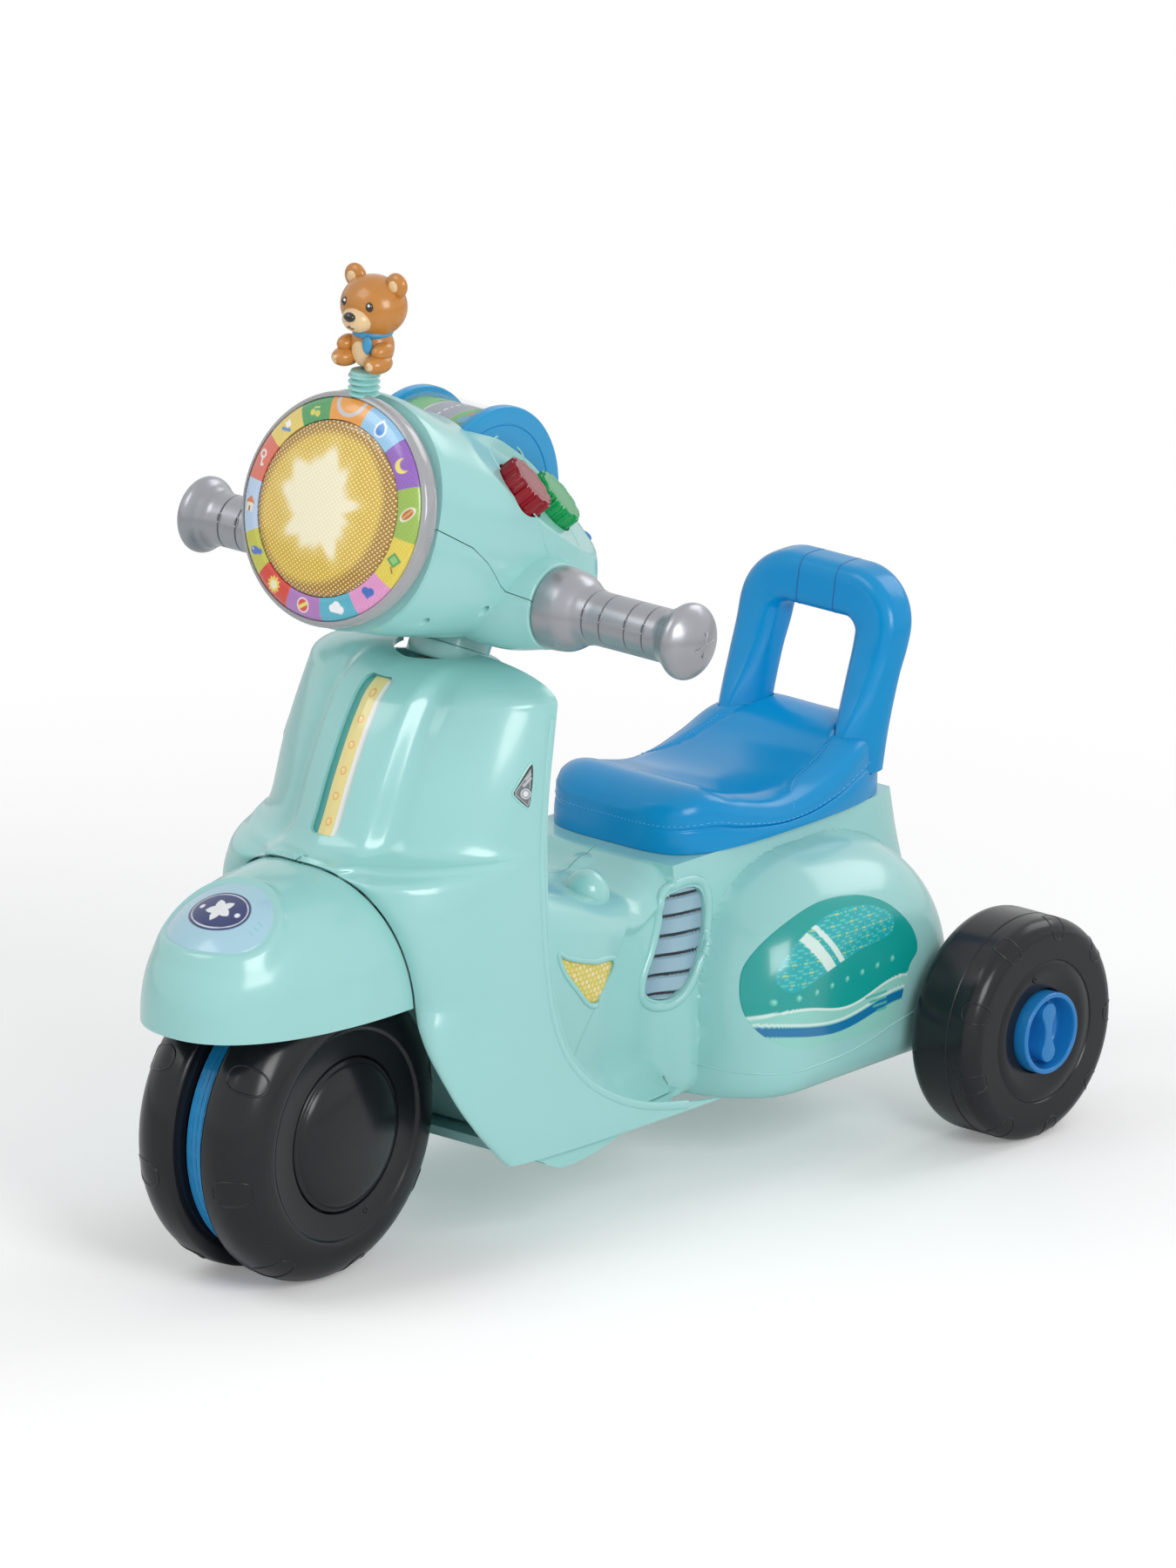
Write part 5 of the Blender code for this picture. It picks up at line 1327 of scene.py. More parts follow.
@dataclass
class Shield:
    """The leg shield: an arch over the wheel, a raised ridge with a slot, and its rear panel."""

    fender: Fender
    wall: float = 0.0030
    lip: float = 0.0012
    top_z: float = 0.2980
    dome: float = 0.0158
    low_z: float = 0.0560
    ridge_half: float = 0.0265
    ridge_rise: float = 0.0050
    slot_half: float = 0.0098
    slot_depth: float = 0.0022
    slot_low: float = 0.2320
    slot_high: float = 0.3090
    slot_corner: float = 0.0032
    strip_corner: float = 0.0028
    strip_gap: float = 0.0006
    middle_y: float = -0.0789
    nose: float = 1.42
    blunt: float = 0.9
    arch_start: float = 0.30
    arch_end: float = 0.56
    top_start: float = 0.80
    curl_in: float = 0.68
    curl_back: float = 0.50
    curl_early: float = 0.42
    curl_late: float = 0.58
    panel_low: float = 0.0615
    panel_high: float = 0.302
    panel_wall: float = 0.0026
    panel_gap: float = 0.0010
    panel_round_z: float = 0.285
    panel_round: float = 0.017
    panel_narrow: float = 0.42
    panel_groove: float = 0.0006
    column_half: float = 0.062

    # Each table gives, by height, how far along (FRONT, REAR_BACK) or out (REAR_OUT) an edge stands.
    FRONT = [(0.2215, -0.1898), (0.2255, -0.1775), (0.2330, -0.1695), (0.26, -0.1570), (0.285, -0.1440),
             (0.300, -0.1340)]
    REAR_OUT = [(0.056, 0.0962), (0.065, 0.0950), (0.09, 0.0920), (0.15, 0.0890), (0.22, 0.0865),
                (0.26, 0.0845), (0.30, 0.0800)]
    REAR_BACK = [(0.056, 0.0420), (0.060, 0.0150), (0.066, -0.0130), (0.077, -0.0400), (0.092, -0.0620),
                 (0.115, -0.0800), (0.15, -0.0900), (0.20, -0.0935), (0.25, -0.0915), (0.30, -0.0790)]

    def front_y(self, z: float) -> float:
        """The shield's middle line before the ridge is added."""
        return interpolate(self.FRONT, z)

    def rear(self, z: float) -> tuple[float, float]:
        """How far out and how far back the side's rear edge stands at a height."""
        return interpolate(self.REAR_OUT, z), interpolate(self.REAR_BACK, z)

    def opening(self, z: float) -> tuple[float, float]:
        """The front edge beside the wheel: how far out and where along."""
        side_x = self.fender.half_width + self.lip
        out = interpolate([(self.low_z, 0.0860), (0.062, 0.0850), (0.105, 0.0800),
                           (self.fender.edge_z, side_x)], z)
        along = interpolate([(self.low_z, -0.1215), (0.0602, -0.1265), (0.0708, -0.1370), (0.080, -0.1455),
                             (0.099, -0.1600), (0.1223, -0.1703), (0.138, -0.1722),
                             (self.fender.edge_z, self.fender.seam_side_y)], z)
        return out, along

    def wing_x(self, y: float, z: float) -> float:
        """Half-width of the outer skin at a place behind its front edge."""
        out, back = self.rear(z)
        if z >= self.fender.edge_z:
            return out
        open_x, open_y = self.opening(z)
        share = min(1.0, max(0.0, (back - y) / (back - open_y)))
        return open_x + (out - open_x) * math.sqrt(1.0 - share * share) ** 0.9

    def ridge(self, x: float, share: float = 1.0) -> float:
        """How far the ridge stands proud at a distance from the middle."""
        width = self.ridge_half
        body = 1.0 - smoothstep(width - 0.0035, width + 0.0050, x)
        valley = math.exp(-((x - width - 0.0075) / 0.0065) ** 2) * 0.0022
        return (self.ridge_rise * body - valley) * share

    def place(self, a: float, b: float) -> Vector:
        """Half of the skin: a from its middle to its rear edge, b from bottom to top."""
        angle = math.radians(90.0 * a)
        arch_start, arch_end, top_start = self.arch_start, self.arch_end, self.top_start
        arch_z = self.fender.edge_z + self.fender.crown + self.lip
        if b >= top_start:
            lift = math.radians(90.0 * (b - top_start) / (1.0 - top_start))
            out, back = self.rear(self.top_z)
            front = self.front_y(self.top_z)
            curl = 1.0 - math.cos(lift)
            x = out * math.sin(angle) ** self.nose * (1.0 - self.curl_in * curl)
            shrink = 1.0 - self.curl_back * (self.curl_early * math.sin(lift) + self.curl_late * curl)
            y = self.middle_y + (back - (back - front) * math.cos(angle) - self.middle_y) * shrink
            return Vector((x, y - self.ridge(x, math.cos(lift)), self.top_z + self.dome * math.sin(lift)))
        if b >= arch_end:
            z = arch_z + (self.top_z - arch_z) * (b - arch_end) / (top_start - arch_end)
            open_x, open_y = 0.0, self.front_y(z)
        elif b >= arch_start:
            turn = math.radians(90.0 * (arch_end - b) / (arch_end - arch_start))
            open_y = self.fender.seam_y(turn)
            open_x, z = self.fender.section(open_y, turn, self.lip)
            open_y += self.ridge(open_x)
        else:
            z = self.low_z + (self.fender.edge_z - self.low_z) * b / arch_start
            open_x, open_y = self.opening(z)
        out, back = self.rear(z)
        power = self.blunt + (self.nose - self.blunt) * smoothstep(0.40, 0.58, b)
        x = open_x + (out - open_x) * math.sin(angle) ** power
        y = back - (back - open_y) * math.cos(angle)
        return Vector((x, y - self.ridge(x), z))

    def build(self) -> None:
        """Make the shield, the strip in its slot, its side lights and the rear panel."""
        bm = skin(110, 220, self.place)
        bmesh.ops.mirror(bm, geom=bm.verts[:] + bm.edges[:] + bm.faces[:], axis="X", merge_dist=0.00002)
        bmesh.ops.remove_doubles(bm, verts=bm.verts[:], dist=0.00002)
        point_out(bm)
        if self.faces_in(bm):
            bmesh.ops.reverse_faces(bm, faces=bm.faces[:])
        surface = Surface(bm)
        thicken(bm, self.wall)
        point_out(bm)
        cut = carve(bm, [(self.slot_tool(surface), "DIFFERENCE")])
        publish("shield_shell", cut, Finishes.MINT, Berth(Body.FRAME, "mint_plastic", ("leg_shield",)), 40.0)
        self.strip(surface)
        for side, sign in (("left", 1), ("right", -1)):
            self.side_light(surface, sign)
            self.flange(side, sign, surface)
        self.rear_panel()

    def flange(self, side: str, sign: int, surface: Surface) -> None:
        """The raised band down the shield's rear edge."""

        def at(share: float) -> tuple[Vector, Vector]:
            """A point just in front of the rear edge."""
            spot = self.place(0.972, 0.010 + 0.770 * share)
            return surface.beside(spot.y, spot.z, sign)

        band = bead(at, 160, 0.0046, 0.0010, closed=False)
        publish(f"shield_flange_{side}", band, Finishes.MINT, FRAME_MINT, 50.0)

    def faces_in(self, bm: bmesh.types.BMesh) -> bool:
        """Whether a shield's faces point at its middle."""
        front = min(bm.faces, key=lambda face: face.calc_center_median().y)
        return front.normal.y > 0.0

    def slot_place(self, p: float, z: float, surface: Surface) -> tuple[Vector, Vector]:
        """A place in front of the slot, dropped on to the skin."""
        return surface.drop((p, -0.3, z), (0.0, 1.0, 0.0))

    def slot_tool(self, surface: Surface) -> bmesh.types.BMesh:
        """The solid that cuts the slot, its floor a fixed depth under the skin."""

        def place(a: float, b: float) -> Vector:
            """A point of the slot's floor, its ends rounded."""
            z = self.slot_low + (self.slot_high - self.slot_low) * b
            near = min(b, 1.0 - b) * (self.slot_high - self.slot_low)
            half = self.slot_half - corner_trim(self.slot_corner, near)
            hit, normal = self.slot_place((2.0 * a - 1.0) * half, z, surface)
            return hit - normal * self.slot_depth

        bm = skin(10, 60, place)
        for vert in grow(bm, open_rim(bm))[0]:
            vert.co.y -= 0.012
            vert.co.z += 0.006
        return point_out(fill_rims(bm))

    def strip(self, surface: Surface) -> None:
        """The printed strip on the slot's floor."""
        gap = self.strip_gap
        half, low, high = self.slot_half - gap, self.slot_low + gap, self.slot_high - gap
        tall = high - low

        def layout(a: float, b: float) -> tuple[float, float]:
            """A place on the strip, its ends rounded."""
            near = min(b, 1.0 - b) * tall
            return (2.0 * a - 1.0) * (half - corner_trim(self.strip_corner, near)), low + tall * b

        def lift(p: float, q: float) -> Vector:
            """Lay a place of the strip on the slot's floor."""
            hit, normal = self.slot_place(p, q, surface)
            return hit - normal * (self.slot_depth - 0.0002)

        def paint(p: np.ndarray, q: np.ndarray) -> Canvas:
            """A yellow band with six dots, a white edge on one side and a dark teal band of painted shade on
            the other.
            """
            canvas = Canvas(p, q, (0.86, 0.88, 0.86))
            canvas.lay(p - 0.0050, (0.86, 0.72, 0.30))
            # Painted shade: the dark teal band stands for the shade of the slot's left wall.
            canvas.lay(p + 0.0044, (0.050, 0.330, 0.300))
            for step in range(6):
                spot = low + tall * (step + 0.5) / 6
                canvas.disc(0.0008, spot, 0.0021, (0.84, 0.44, 0.12))
                canvas.disc(0.0008, spot, 0.0014, (0.92, 0.66, 0.28))
                canvas.disc(0.0003, spot + 0.0005, 0.0005, (0.96, 0.86, 0.60))
            return canvas

        printed("slot_strip", (60, 220), layout, lift, paint, Finishes.FILM, FRAME_PRINT)

    def side_light(self, surface: Surface, sign: int) -> None:
        """A small printed triangle, like a side lamp, low on the shield's flank."""
        corners = [(-0.1002, 0.2710), (-0.1041, 0.2496), (-0.1059, 0.2479), (-0.1126, 0.2556),
                   (-0.1120, 0.2583)]
        path = polyline([Vector((0.0, y, z)) for y, z in corners])
        middle = Vector((0.0, -0.1062, 0.2570))

        def layout(a: float, b: float) -> tuple[float, float]:
            """A place inside the triangle."""
            spot = middle.lerp(path(a), b)
            return spot.y, spot.z

        def lift(p: float, q: float) -> Vector:
            """Drop a place of the triangle on to the flank."""
            hit, normal = surface.beside(p, q, sign)
            return hit + normal * FILM_LIFT

        def paint(p: np.ndarray, q: np.ndarray) -> Canvas:
            """A grey lamp with two slanted bars in a dark frame."""
            canvas = Canvas(p, q, (0.035, 0.040, 0.045))
            depth = depths_inside(corners, p, q)
            canvas.lay(0.0008 - depth, (0.46, 0.49, 0.51))
            canvas.lay(0.0013 - depth, (0.16, 0.18, 0.20))
            canvas.bar(-0.1046, 0.2618, 0.0032, 0.0007, (0.50, 0.53, 0.55), angle=38.0)
            canvas.bar(-0.1036, 0.2645, 0.0022, 0.0005, (0.50, 0.53, 0.55), angle=38.0)
            canvas.disc(-0.1062, 0.2558, 0.0033, (0.10, 0.11, 0.13))
            canvas.disc(-0.1062, 0.2558, 0.0028, (0.62, 0.66, 0.68))
            canvas.ring(-0.1062, 0.2558, 0.0019, 0.0005, (0.26, 0.29, 0.31))
            canvas.disc(-0.1062, 0.2558, 0.0011, (0.84, 0.86, 0.88))
            return canvas

        side = "left" if sign > 0 else "right"
        printed(f"side_light_{side}", (96, 28), layout, lift, paint, Finishes.FILM, FRAME_PRINT)
        rim = bead(lambda share: surface.beside(path(share).y, path(share).z, sign), 96, 0.0014, 0.0006)
        publish(f"side_light_rim_{side}", rim, Finishes.MINT, FRAME_MINT)

    def panel_y(self, x: float, z: float) -> float:
        """The rear panel's rider side, swelling round the steering column near the top."""
        limit = interpolate([(0.05, -0.0900), (0.12, -0.0900), (0.15, -0.0902), (0.20, -0.0940),
                             (0.30, -0.0830)], z)
        swell = interpolate([(0.05, 0.0), (0.19, 0.0), (0.22, 0.012), (0.27, 0.031), (0.30, 0.0375)], z)
        share = min(1.0, abs(x) / self.column_half)
        return limit + swell * (1.0 - share * share) ** 2

    def panel_place(self, a: float, b: float) -> Vector:
        """The rear panel: a across, b from bottom to top."""
        z = self.panel_low + (self.panel_high - self.panel_low) * b
        edge_y = self.panel_y(0.09, z) - self.panel_wall
        half = self.wing_x(edge_y, min(z, self.top_z)) - self.wall - self.panel_gap
        if z > self.panel_round_z:
            half *= 1.0 - self.panel_narrow * ((z - self.panel_round_z) / self.panel_round) ** 2
        x = half * (2.0 * a - 1.0)
        off = abs(abs(2.0 * a - 1.0) - 0.90)
        groove = self.panel_groove * (1.0 - smoothstep(0.0, 0.012, off)) * smoothstep(0.03, 0.06, b)
        return Vector((x, self.panel_y(x, z) - groove, z))

    def rear_panel(self) -> None:
        """Make the panel behind the steering column."""
        bm = skin(120, 90, self.panel_place)
        point_out(bm)
        if bm.faces[:][0].normal.y < 0.0:
            bmesh.ops.reverse_faces(bm, faces=bm.faces[:])
        thicken(bm, self.panel_wall)
        berth = Berth(Body.FRAME, "mint_plastic", ("shield_back",))
        publish("shield_panel", bm, Finishes.MINT, berth, 40.0)


@dataclass
class BodyShell:
    """The body under the seat in two halves, with its fairings, humps, vents, lights and decals."""

    front_y: float = -0.0892
    rear_y: float = 0.2440
    bottom_z: float = 0.0445
    top_z: float = 0.1725
    hood_top: float = 0.1890
    floor_top: float = 0.0600
    fillet: float = 0.0240
    bulge_x: float = 0.1065
    bulge_y: float = 0.1510
    bulge_z: float = 0.0730
    bulge_front: float = 0.0900
    bulge_rear: float = 0.0950
    bulge_rz: float = 0.0915
    boss_y: float = 0.0440
    boss_r: float = 0.0200
    split: float = 0.00035
    board_x: float = 0.0635
    top_round: float = 0.022
    low_round: float = 0.014
    low_tuck: float = 0.012

    # Outlines on the body's side, as (Y, Z) corners.
    VENT = [(0.0556, 0.1590), (0.0690, 0.1568), (0.0733, 0.1500), (0.0710, 0.1330), (0.0645, 0.1190),
            (0.0548, 0.1078), (0.0445, 0.1015), (0.0340, 0.1030), (0.0268, 0.1094), (0.0275, 0.1180),
            (0.0345, 0.1300), (0.0398, 0.1430), (0.0425, 0.1552)]
    LIGHT = [(-0.0553, 0.1510), (-0.0480, 0.1474), (-0.0291, 0.1412), (-0.0125, 0.1386), (-0.0118, 0.1330),
             (-0.0200, 0.1212), (-0.0262, 0.1185), (-0.0340, 0.1207), (-0.0440, 0.1310), (-0.0528, 0.1420)]
    DECAL = [(0.1509, 0.1430), (0.1339, 0.1456), (0.1169, 0.1443), (0.1001, 0.1386), (0.0859, 0.1298),
             (0.0753, 0.1178), (0.0709, 0.1042), (0.0712, 0.0912), (0.0763, 0.0818), (0.0849, 0.0757),
             (0.0935, 0.0725), (0.1117, 0.0708), (0.1385, 0.0692), (0.1604, 0.0688), (0.1713, 0.0710),
             (0.1765, 0.0792), (0.1800, 0.0884), (0.1839, 0.0982), (0.1898, 0.1049), (0.1871, 0.1153),
             (0.1782, 0.1264), (0.1657, 0.1367)]

    def top(self, y: float) -> float:
        """Height of the top along the body."""
        high, low = self.hood_top, self.top_z
        top = interpolate([(-0.09, high), (-0.06, high - 0.0040), (-0.03, high - 0.0130), (0.0, low - 0.0065),
                           (0.020, low - 0.0105), (0.035, low - 0.0060), (0.050, low), (0.238, low)], y)
        return min(top, low) if y > self.boss_y else top

    def bottom(self, y: float) -> float:
        """Height of the underside along the body, raised where it stands on the floor pan."""
        low = self.floor_top + 0.0003
        return low + (self.bottom_z - low) * smoothstep(0.038, 0.052, y)

    def crease_z(self, y: float) -> float:
        """Height at which the side runs out into the footboard."""
        return interpolate([(-0.09, 0.1400), (-0.06, 0.1230), (-0.033, 0.1033), (-0.016, 0.0927),
                            (0.0034, 0.0823), (0.0228, 0.0760), (0.0421, 0.0713), (0.056, 0.0604)], y)

    def lobe(self, y: float, z: float) -> float:
        """Share of the hump at a place, 1 on its flat face and 0 outside it."""
        dy = abs(y - self.bulge_y) / (self.bulge_front if y < self.bulge_y else self.bulge_rear)
        dz = max(0.0, z - self.bulge_z) / self.bulge_rz
        reach = (dy ** 2.5 + dz ** 2.5) ** (1.0 / 2.5)
        if reach >= 1.0:
            return 0.0
        return (1.0 - (max(0.0, reach - 0.54) / 0.46) ** 2.2) ** 0.68

    def side(self, y: float, z: float) -> float:
        """Half-width of the body at a place on its side."""
        top = self.top(y)
        base = interpolate([(-0.10, 0.0640), (-0.03, 0.0630), (0.01, 0.0585), (0.04, 0.0540),
                            (0.10, 0.0550), (0.24, 0.0560)], y)
        flare = interpolate([(0.04, 0.0100), (0.09, 0.0085), (0.13, 0.0040), (0.175, -0.0020)], z)
        board = 1.0 - smoothstep(0.034, 0.056, y)
        front = interpolate([(0.06, 0.004), (0.10, 0.004), (0.13, 0.003), (0.175, -0.002)], z)
        width = base + flare + (front - flare) * board
        if y < 0.05:
            rise = min(1.0, max(0.0, (z - (top - self.top_round)) / self.top_round))
            width *= 0.62 + 0.38 * math.sqrt(max(0.0, 1.0 - rise ** 2.4))
        step = smoothstep(-0.0440, -0.0350, y - (z - 0.10) * 0.92)
        ledge = 1.0 - smoothstep(top - 0.0200, top - 0.0130, z)
        width -= 0.0055 * step * (1.0 - smoothstep(0.02, 0.06, y)) * ledge
        swell = math.exp(-((y + 0.030) / 0.034) ** 2 - ((z - 0.152) / 0.022) ** 2)
        width += 0.0018 * swell * (1.0 - step)
        width += max(0.0, self.bulge_x - width) * self.lobe(y, z)
        crease = self.crease_z(y)
        if z < crease and board > 0.0:
            share = min(1.0, (crease - z) / max(crease - self.floor_top, 1e-4))
            run = max(0.0, self.board_x + self.fillet - width)
            fade = 1.0 - smoothstep(0.018, 0.044, y)
            width += run * (1.0 - math.sqrt(max(0.0, 1.0 - share * share))) * fade
        low = min(1.0, max(0.0, (self.bottom(y) + self.low_round - z) / self.low_round)) * (1.0 - board)
        width -= self.low_tuck * (1.0 - math.sqrt(max(0.0, 1.0 - low * low)))
        rear = min(1.0, max(0.0, (y - (self.rear_y - 0.034)) / 0.044))
        width -= (0.016 + 0.016 * smoothstep(0.10, 0.16, z)) * (1.0 - math.sqrt(max(0.0, 1.0 - rear * rear)))
        return width

    def place(self, a: float, b: float) -> Vector:
        """Half of the skin: a from front to rear, b from the middle underneath to the middle on top."""
        under, over = 0.05, 0.90
        share = min(1.0, max(0.0, (b - under) / (over - under)))
        lean = interpolate([(0.0, 0.0), (0.35, 0.003), (0.6, 0.0015), (0.85, -0.004), (1.0, -0.008)], share)
        y = self.front_y + (self.rear_y + lean - self.front_y) * a
        z = self.bottom(y) + (self.top(y) - self.bottom(y)) * share
        x = self.side(y, z)
        if b < under:
            x *= b / under
        elif b > over:
            rest = (1.0 - b) / (1.0 - over)
            crown = 0.0040 * (1.0 - smoothstep(0.01, 0.045, y))
            x, z = x * rest, z + crown * (1.0 - rest * rest)
        return Vector((x, y, z))

    def build(self) -> None:
        """Make both halves, the dark line between them and all that is let into them."""
        for side, sign in (("left", 1), ("right", -1)):
            half = skin(230, 150, self.place, 0.00002)
            self.close(half)
            surface = Surface(half)
            boss = ball(self.boss_r, (0.95, 1.25, 1.0), (0.0, self.boss_y, self.top_z - self.boss_r - 0.002),
                        64, 40)
            knee = ball(1.0, (0.0125, 0.0115, 0.0130), (0.0350, 0.0010, 0.1660), 48, 32)
            block = prism([(-0.2, -0.1), (0.4, -0.1), (0.4, 0.4), (-0.2, 0.4)], -0.3, self.split)
            vent = self.pocket(self.VENT, 0.0030)
            light = self.pocket(self.LIGHT, 0.0016)
            shell = carve(half, [(boss, "UNION"), (knee, "UNION"), (block, "DIFFERENCE"),
                                 (vent, "DIFFERENCE"), (light, "DIFFERENCE")])
            berth = Berth(Body.FRAME, "mint_plastic", (f"body_{side}",))
            publish(f"body_half_{side}", on_side(shell, sign), Finishes.MINT, berth, 32.0)
            self.vent_louvres(side, sign, surface)
            self.light(side, sign, surface)
            self.decal(side, sign, surface)
            self.trim_lines(side, sign, surface)
        self.split_fill()

    def close(self, half: bmesh.types.BMesh) -> None:
        """Close a half's ends and its open side a little past the middle."""
        rear = [edge for edge in half.edges if edge.is_boundary and all(
            vert.co.y > self.rear_y - 0.02 and vert.co.x > 1e-5 for vert in edge.verts)]
        for last, share in ((1.0, 0.94), (0.94, 0.80), (0.80, 0.50), (0.50, 0.20)):
            moved, rear = grow(half, rear)
            middle = sum((vert.co.z for vert in moved), 0.0) / len(moved)
            for vert in moved:
                vert.co.x *= share / last
                vert.co.z = middle + (vert.co.z - middle) * (1.0 - (last - share) * 0.08)
                vert.co.y += 0.0016 * (last - share)
        for vert in grow(half, open_rim(half))[0]:
            vert.co.x = -0.004
        fill_rims(half)
        bmesh.ops.remove_doubles(half, verts=half.verts[:], dist=0.00001)
        bmesh.ops.dissolve_degenerate(half, edges=half.edges[:], dist=1e-6)
        point_out(half)

    def split_fill(self) -> None:
        """The shadow line between the two halves."""
        outline = [(self.front_y + 0.002, self.floor_top + 0.004)]
        outline += [(y / 1000.0, self.top(y / 1000.0) + 0.0022) for y in range(-85, 26, 5)]
        outline += [(0.0280, self.top_z - 0.0130), (0.0360, self.top_z - 0.0050),
                    (0.0560, self.top_z - 0.0010)]
        outline += [(self.rear_y - 0.012, self.top_z - 0.001), (self.rear_y - 0.001, self.bottom_z + 0.06),
                    (self.rear_y - 0.002, self.bottom_z + 0.002), (0.06, self.bottom_z + 0.002)]
        fill = prism(outline, -self.split * 0.9, self.split * 0.9)
        publish("body_split", fill, Finishes.SEAM, FRAME_MINT)

    def fan(self, corners: Sequence[tuple[float, float]], reach: float) -> Place:
        """Places inside a rounded outline: a round it, b from its middle to its rim.

        Args:
            corners: the outline's corners.
            reach: the share of the way to the outline at which the rim lies.

        Returns:
            A function from the two shares to (Y, Z).
        """
        path = polyline([(y, z, 0.0) for y, z in corners])
        middle = Vector((sum(y for y, _ in corners), sum(z for _, z in corners), 0.0)) / len(corners)

        def layout(a: float, b: float) -> tuple[float, float]:
            """A place inside the outline."""
            spot = middle.lerp(path(a), b * reach)
            return spot.x, spot.y

        return layout

    def pocket(self, corners: Sequence[tuple[float, float]], depth: float) -> bmesh.types.BMesh:
        """The solid that cuts a recess whose floor follows the side.

        Args:
            corners: the recess's outline.
            depth: how deep its floor lies under the side.

        Returns:
            The mesh.
        """
        layout = self.fan(corners, 1.0)

        def place(a: float, b: float) -> Vector:
            """A point of the recess's floor."""
            y, z = layout(a, b)
            return Vector((self.side(y, z) - depth, y, z))

        bm = skin(96, 12, place, 0.00002)
        for vert in grow(bm, open_rim(bm))[0]:
            vert.co.x += depth + 0.012
        return point_out(fill_rims(bm))

    def rim(self, corners: Sequence[tuple[float, float]], surface: Surface, width: float,
            height: float, out: float) -> bmesh.types.BMesh:
        """The rounded bead round a recess.

        Args:
            corners: the recess's outline.
            surface: the body's skin.
            width: the bead's width.
            height: how far it stands proud.
            out: how far outside the outline its middle runs, as a share of the outline's size.

        Returns:
            The mesh.
        """
        layout = self.fan(corners, out)

        def at(share: float) -> tuple[Vector, Vector]:
            """A point of the rim on the side."""
            y, z = layout(share, 1.0)
            return surface.beside(y, z)

        return bead(at, 140, width, height)

    def vent_louvres(self, side: str, sign: int, surface: Surface) -> None:
        """The vent's slats: pale ledges with painted shade in the slots between them, inside a rounded rim.
        """
        layout = self.fan(self.VENT, 0.985)
        pitch, slope, middle_y, first_z = 0.0103, 0.06, 0.050, 0.1035

        def step(y: float, z: float) -> float:
            """The share of the way up one slat's pitch, also for whole arrays of places."""
            return ((z + (y - middle_y) * slope - first_z) / pitch) % 1.0

        def lift(p: float, q: float) -> Vector:
            """A point of the slats, each slat a ledge."""
            ledge = 0.0013 * smoothstep(0.12, 0.20, step(p, q)) * (1.0 - 0.5 * step(p, q))
            return Vector((sign * (self.side(p, q) - 0.0028 + ledge), p, q))

        def paint(p: np.ndarray, q: np.ndarray) -> Canvas:
            """Pale blue slats with a painted highlight, and painted shade in the dark slots between them."""
            share = step(p, q)
            canvas = Canvas(p, q, (0.250, 0.400, 0.500))
            canvas.edge = 0.010
            # Painted highlight: a soft lighter band slants across the middle of the slats.
            canvas.lay(np.abs(p - 0.054 - (q - 0.13) * 0.30) - 0.010, (0.330, 0.500, 0.600))
            canvas.edge = 0.0004
            # Painted shade: the slots between the slats are near black, and a darker band runs along the top
            # of each slat beside its slot.
            canvas.lay((np.abs(share - 0.07) - 0.085) * pitch, (0.012, 0.016, 0.022))
            canvas.lay((np.abs(share - 0.93) - 0.05) * pitch, (0.200, 0.330, 0.420))
            return canvas

        printed(f"vent_slats_{side}", (150, 90), layout, lift, paint, Finishes.MATT_FILM,
                FRAME_PRINT, lambda co: co - Vector((sign * 0.0004, 0.0, 0.0)))
        beads = join([self.rim(self.VENT, surface, 0.0052, 0.0020, 1.12),
                      self.rim(self.LIGHT, surface, 0.0032, 0.0011, 1.09)])
        publish(f"vent_rims_{side}", on_side(beads, sign), Finishes.MINT,
                FRAME_MINT, 60.0)

    def light(self, side: str, sign: int, surface: Surface) -> None:
        """The yellow honeycomb light in the fairing, its reflector film given a painted glow."""
        outline = smooth_outline(self.LIGHT, 96)
        middle = (sum(y for y, _ in outline) / 96, sum(z for _, z in outline) / 96)
        path = polyline([(y, z, 0.0) for y, z in outline])

        def layout(a: float, b: float) -> tuple[float, float]:
            """A place inside the light's outline."""
            rim = path(a)
            reach = 0.965 * b
            return middle[0] + (rim.x - middle[0]) * reach, middle[1] + (rim.y - middle[1]) * reach

        def lift(p: float, q: float) -> Vector:
            """A point of the light's gently domed face."""
            hit, _ = surface.beside(p, q)
            depth = min(inside(outline, p, q), 0.004)
            return Vector((sign * (hit.x - 0.0016 + 0.0012 * math.sqrt(max(0.0, depth / 0.004))), p, q))

        def paint(p: np.ndarray, q: np.ndarray) -> Canvas:
            """A yellow honeycomb inside a plain edge."""
            canvas = Canvas(p, q, (0.700, 0.560, 0.030))
            pitch = 0.0034
            for row in range(-7, 8):
                for column in range(-9, 10):
                    y = middle[0] + (column + 0.5 * (row % 2)) * pitch
                    z = middle[1] + row * pitch * 0.866
                    glint = 0.5 + 0.5 * math.sin(row * 2.3 + column * 1.7)
                    canvas.disc(y, z, pitch * 0.42,
                                (0.66 + 0.10 * glint, 0.60 + 0.08 * glint, 0.16 + 0.22 * glint))
                    canvas.ring(y, z, pitch * 0.44, 0.00035, (0.56, 0.42, 0.02))
            canvas.lay(depths_inside(outline, p, q) - 0.0014, (0.660, 0.520, 0.020))
            return canvas

        # Painted glow: the reflector film emits its own print colours.
        printed(f"fairing_light_{side}", (150, 34), layout, lift, paint, Finishes.REFLECTOR, FRAME_PRINT,
                lambda co: co - Vector((sign * 0.0025, 0.0, 0.0)))

    def decal(self, side: str, sign: int, surface: Surface) -> None:
        """The teal print on the hump: a window of dashes, two stripes, a row of dots and two waves."""
        outline = smooth_outline(self.DECAL, 120)
        middle = (0.1260, 0.1050)
        path = polyline([(y, z, 0.0) for y, z in outline])

        def layout(a: float, b: float) -> tuple[float, float]:
            """A place inside the print's outline."""
            rim = path(a)
            return middle[0] + (rim.x - middle[0]) * b, middle[1] + (rim.y - middle[1]) * b

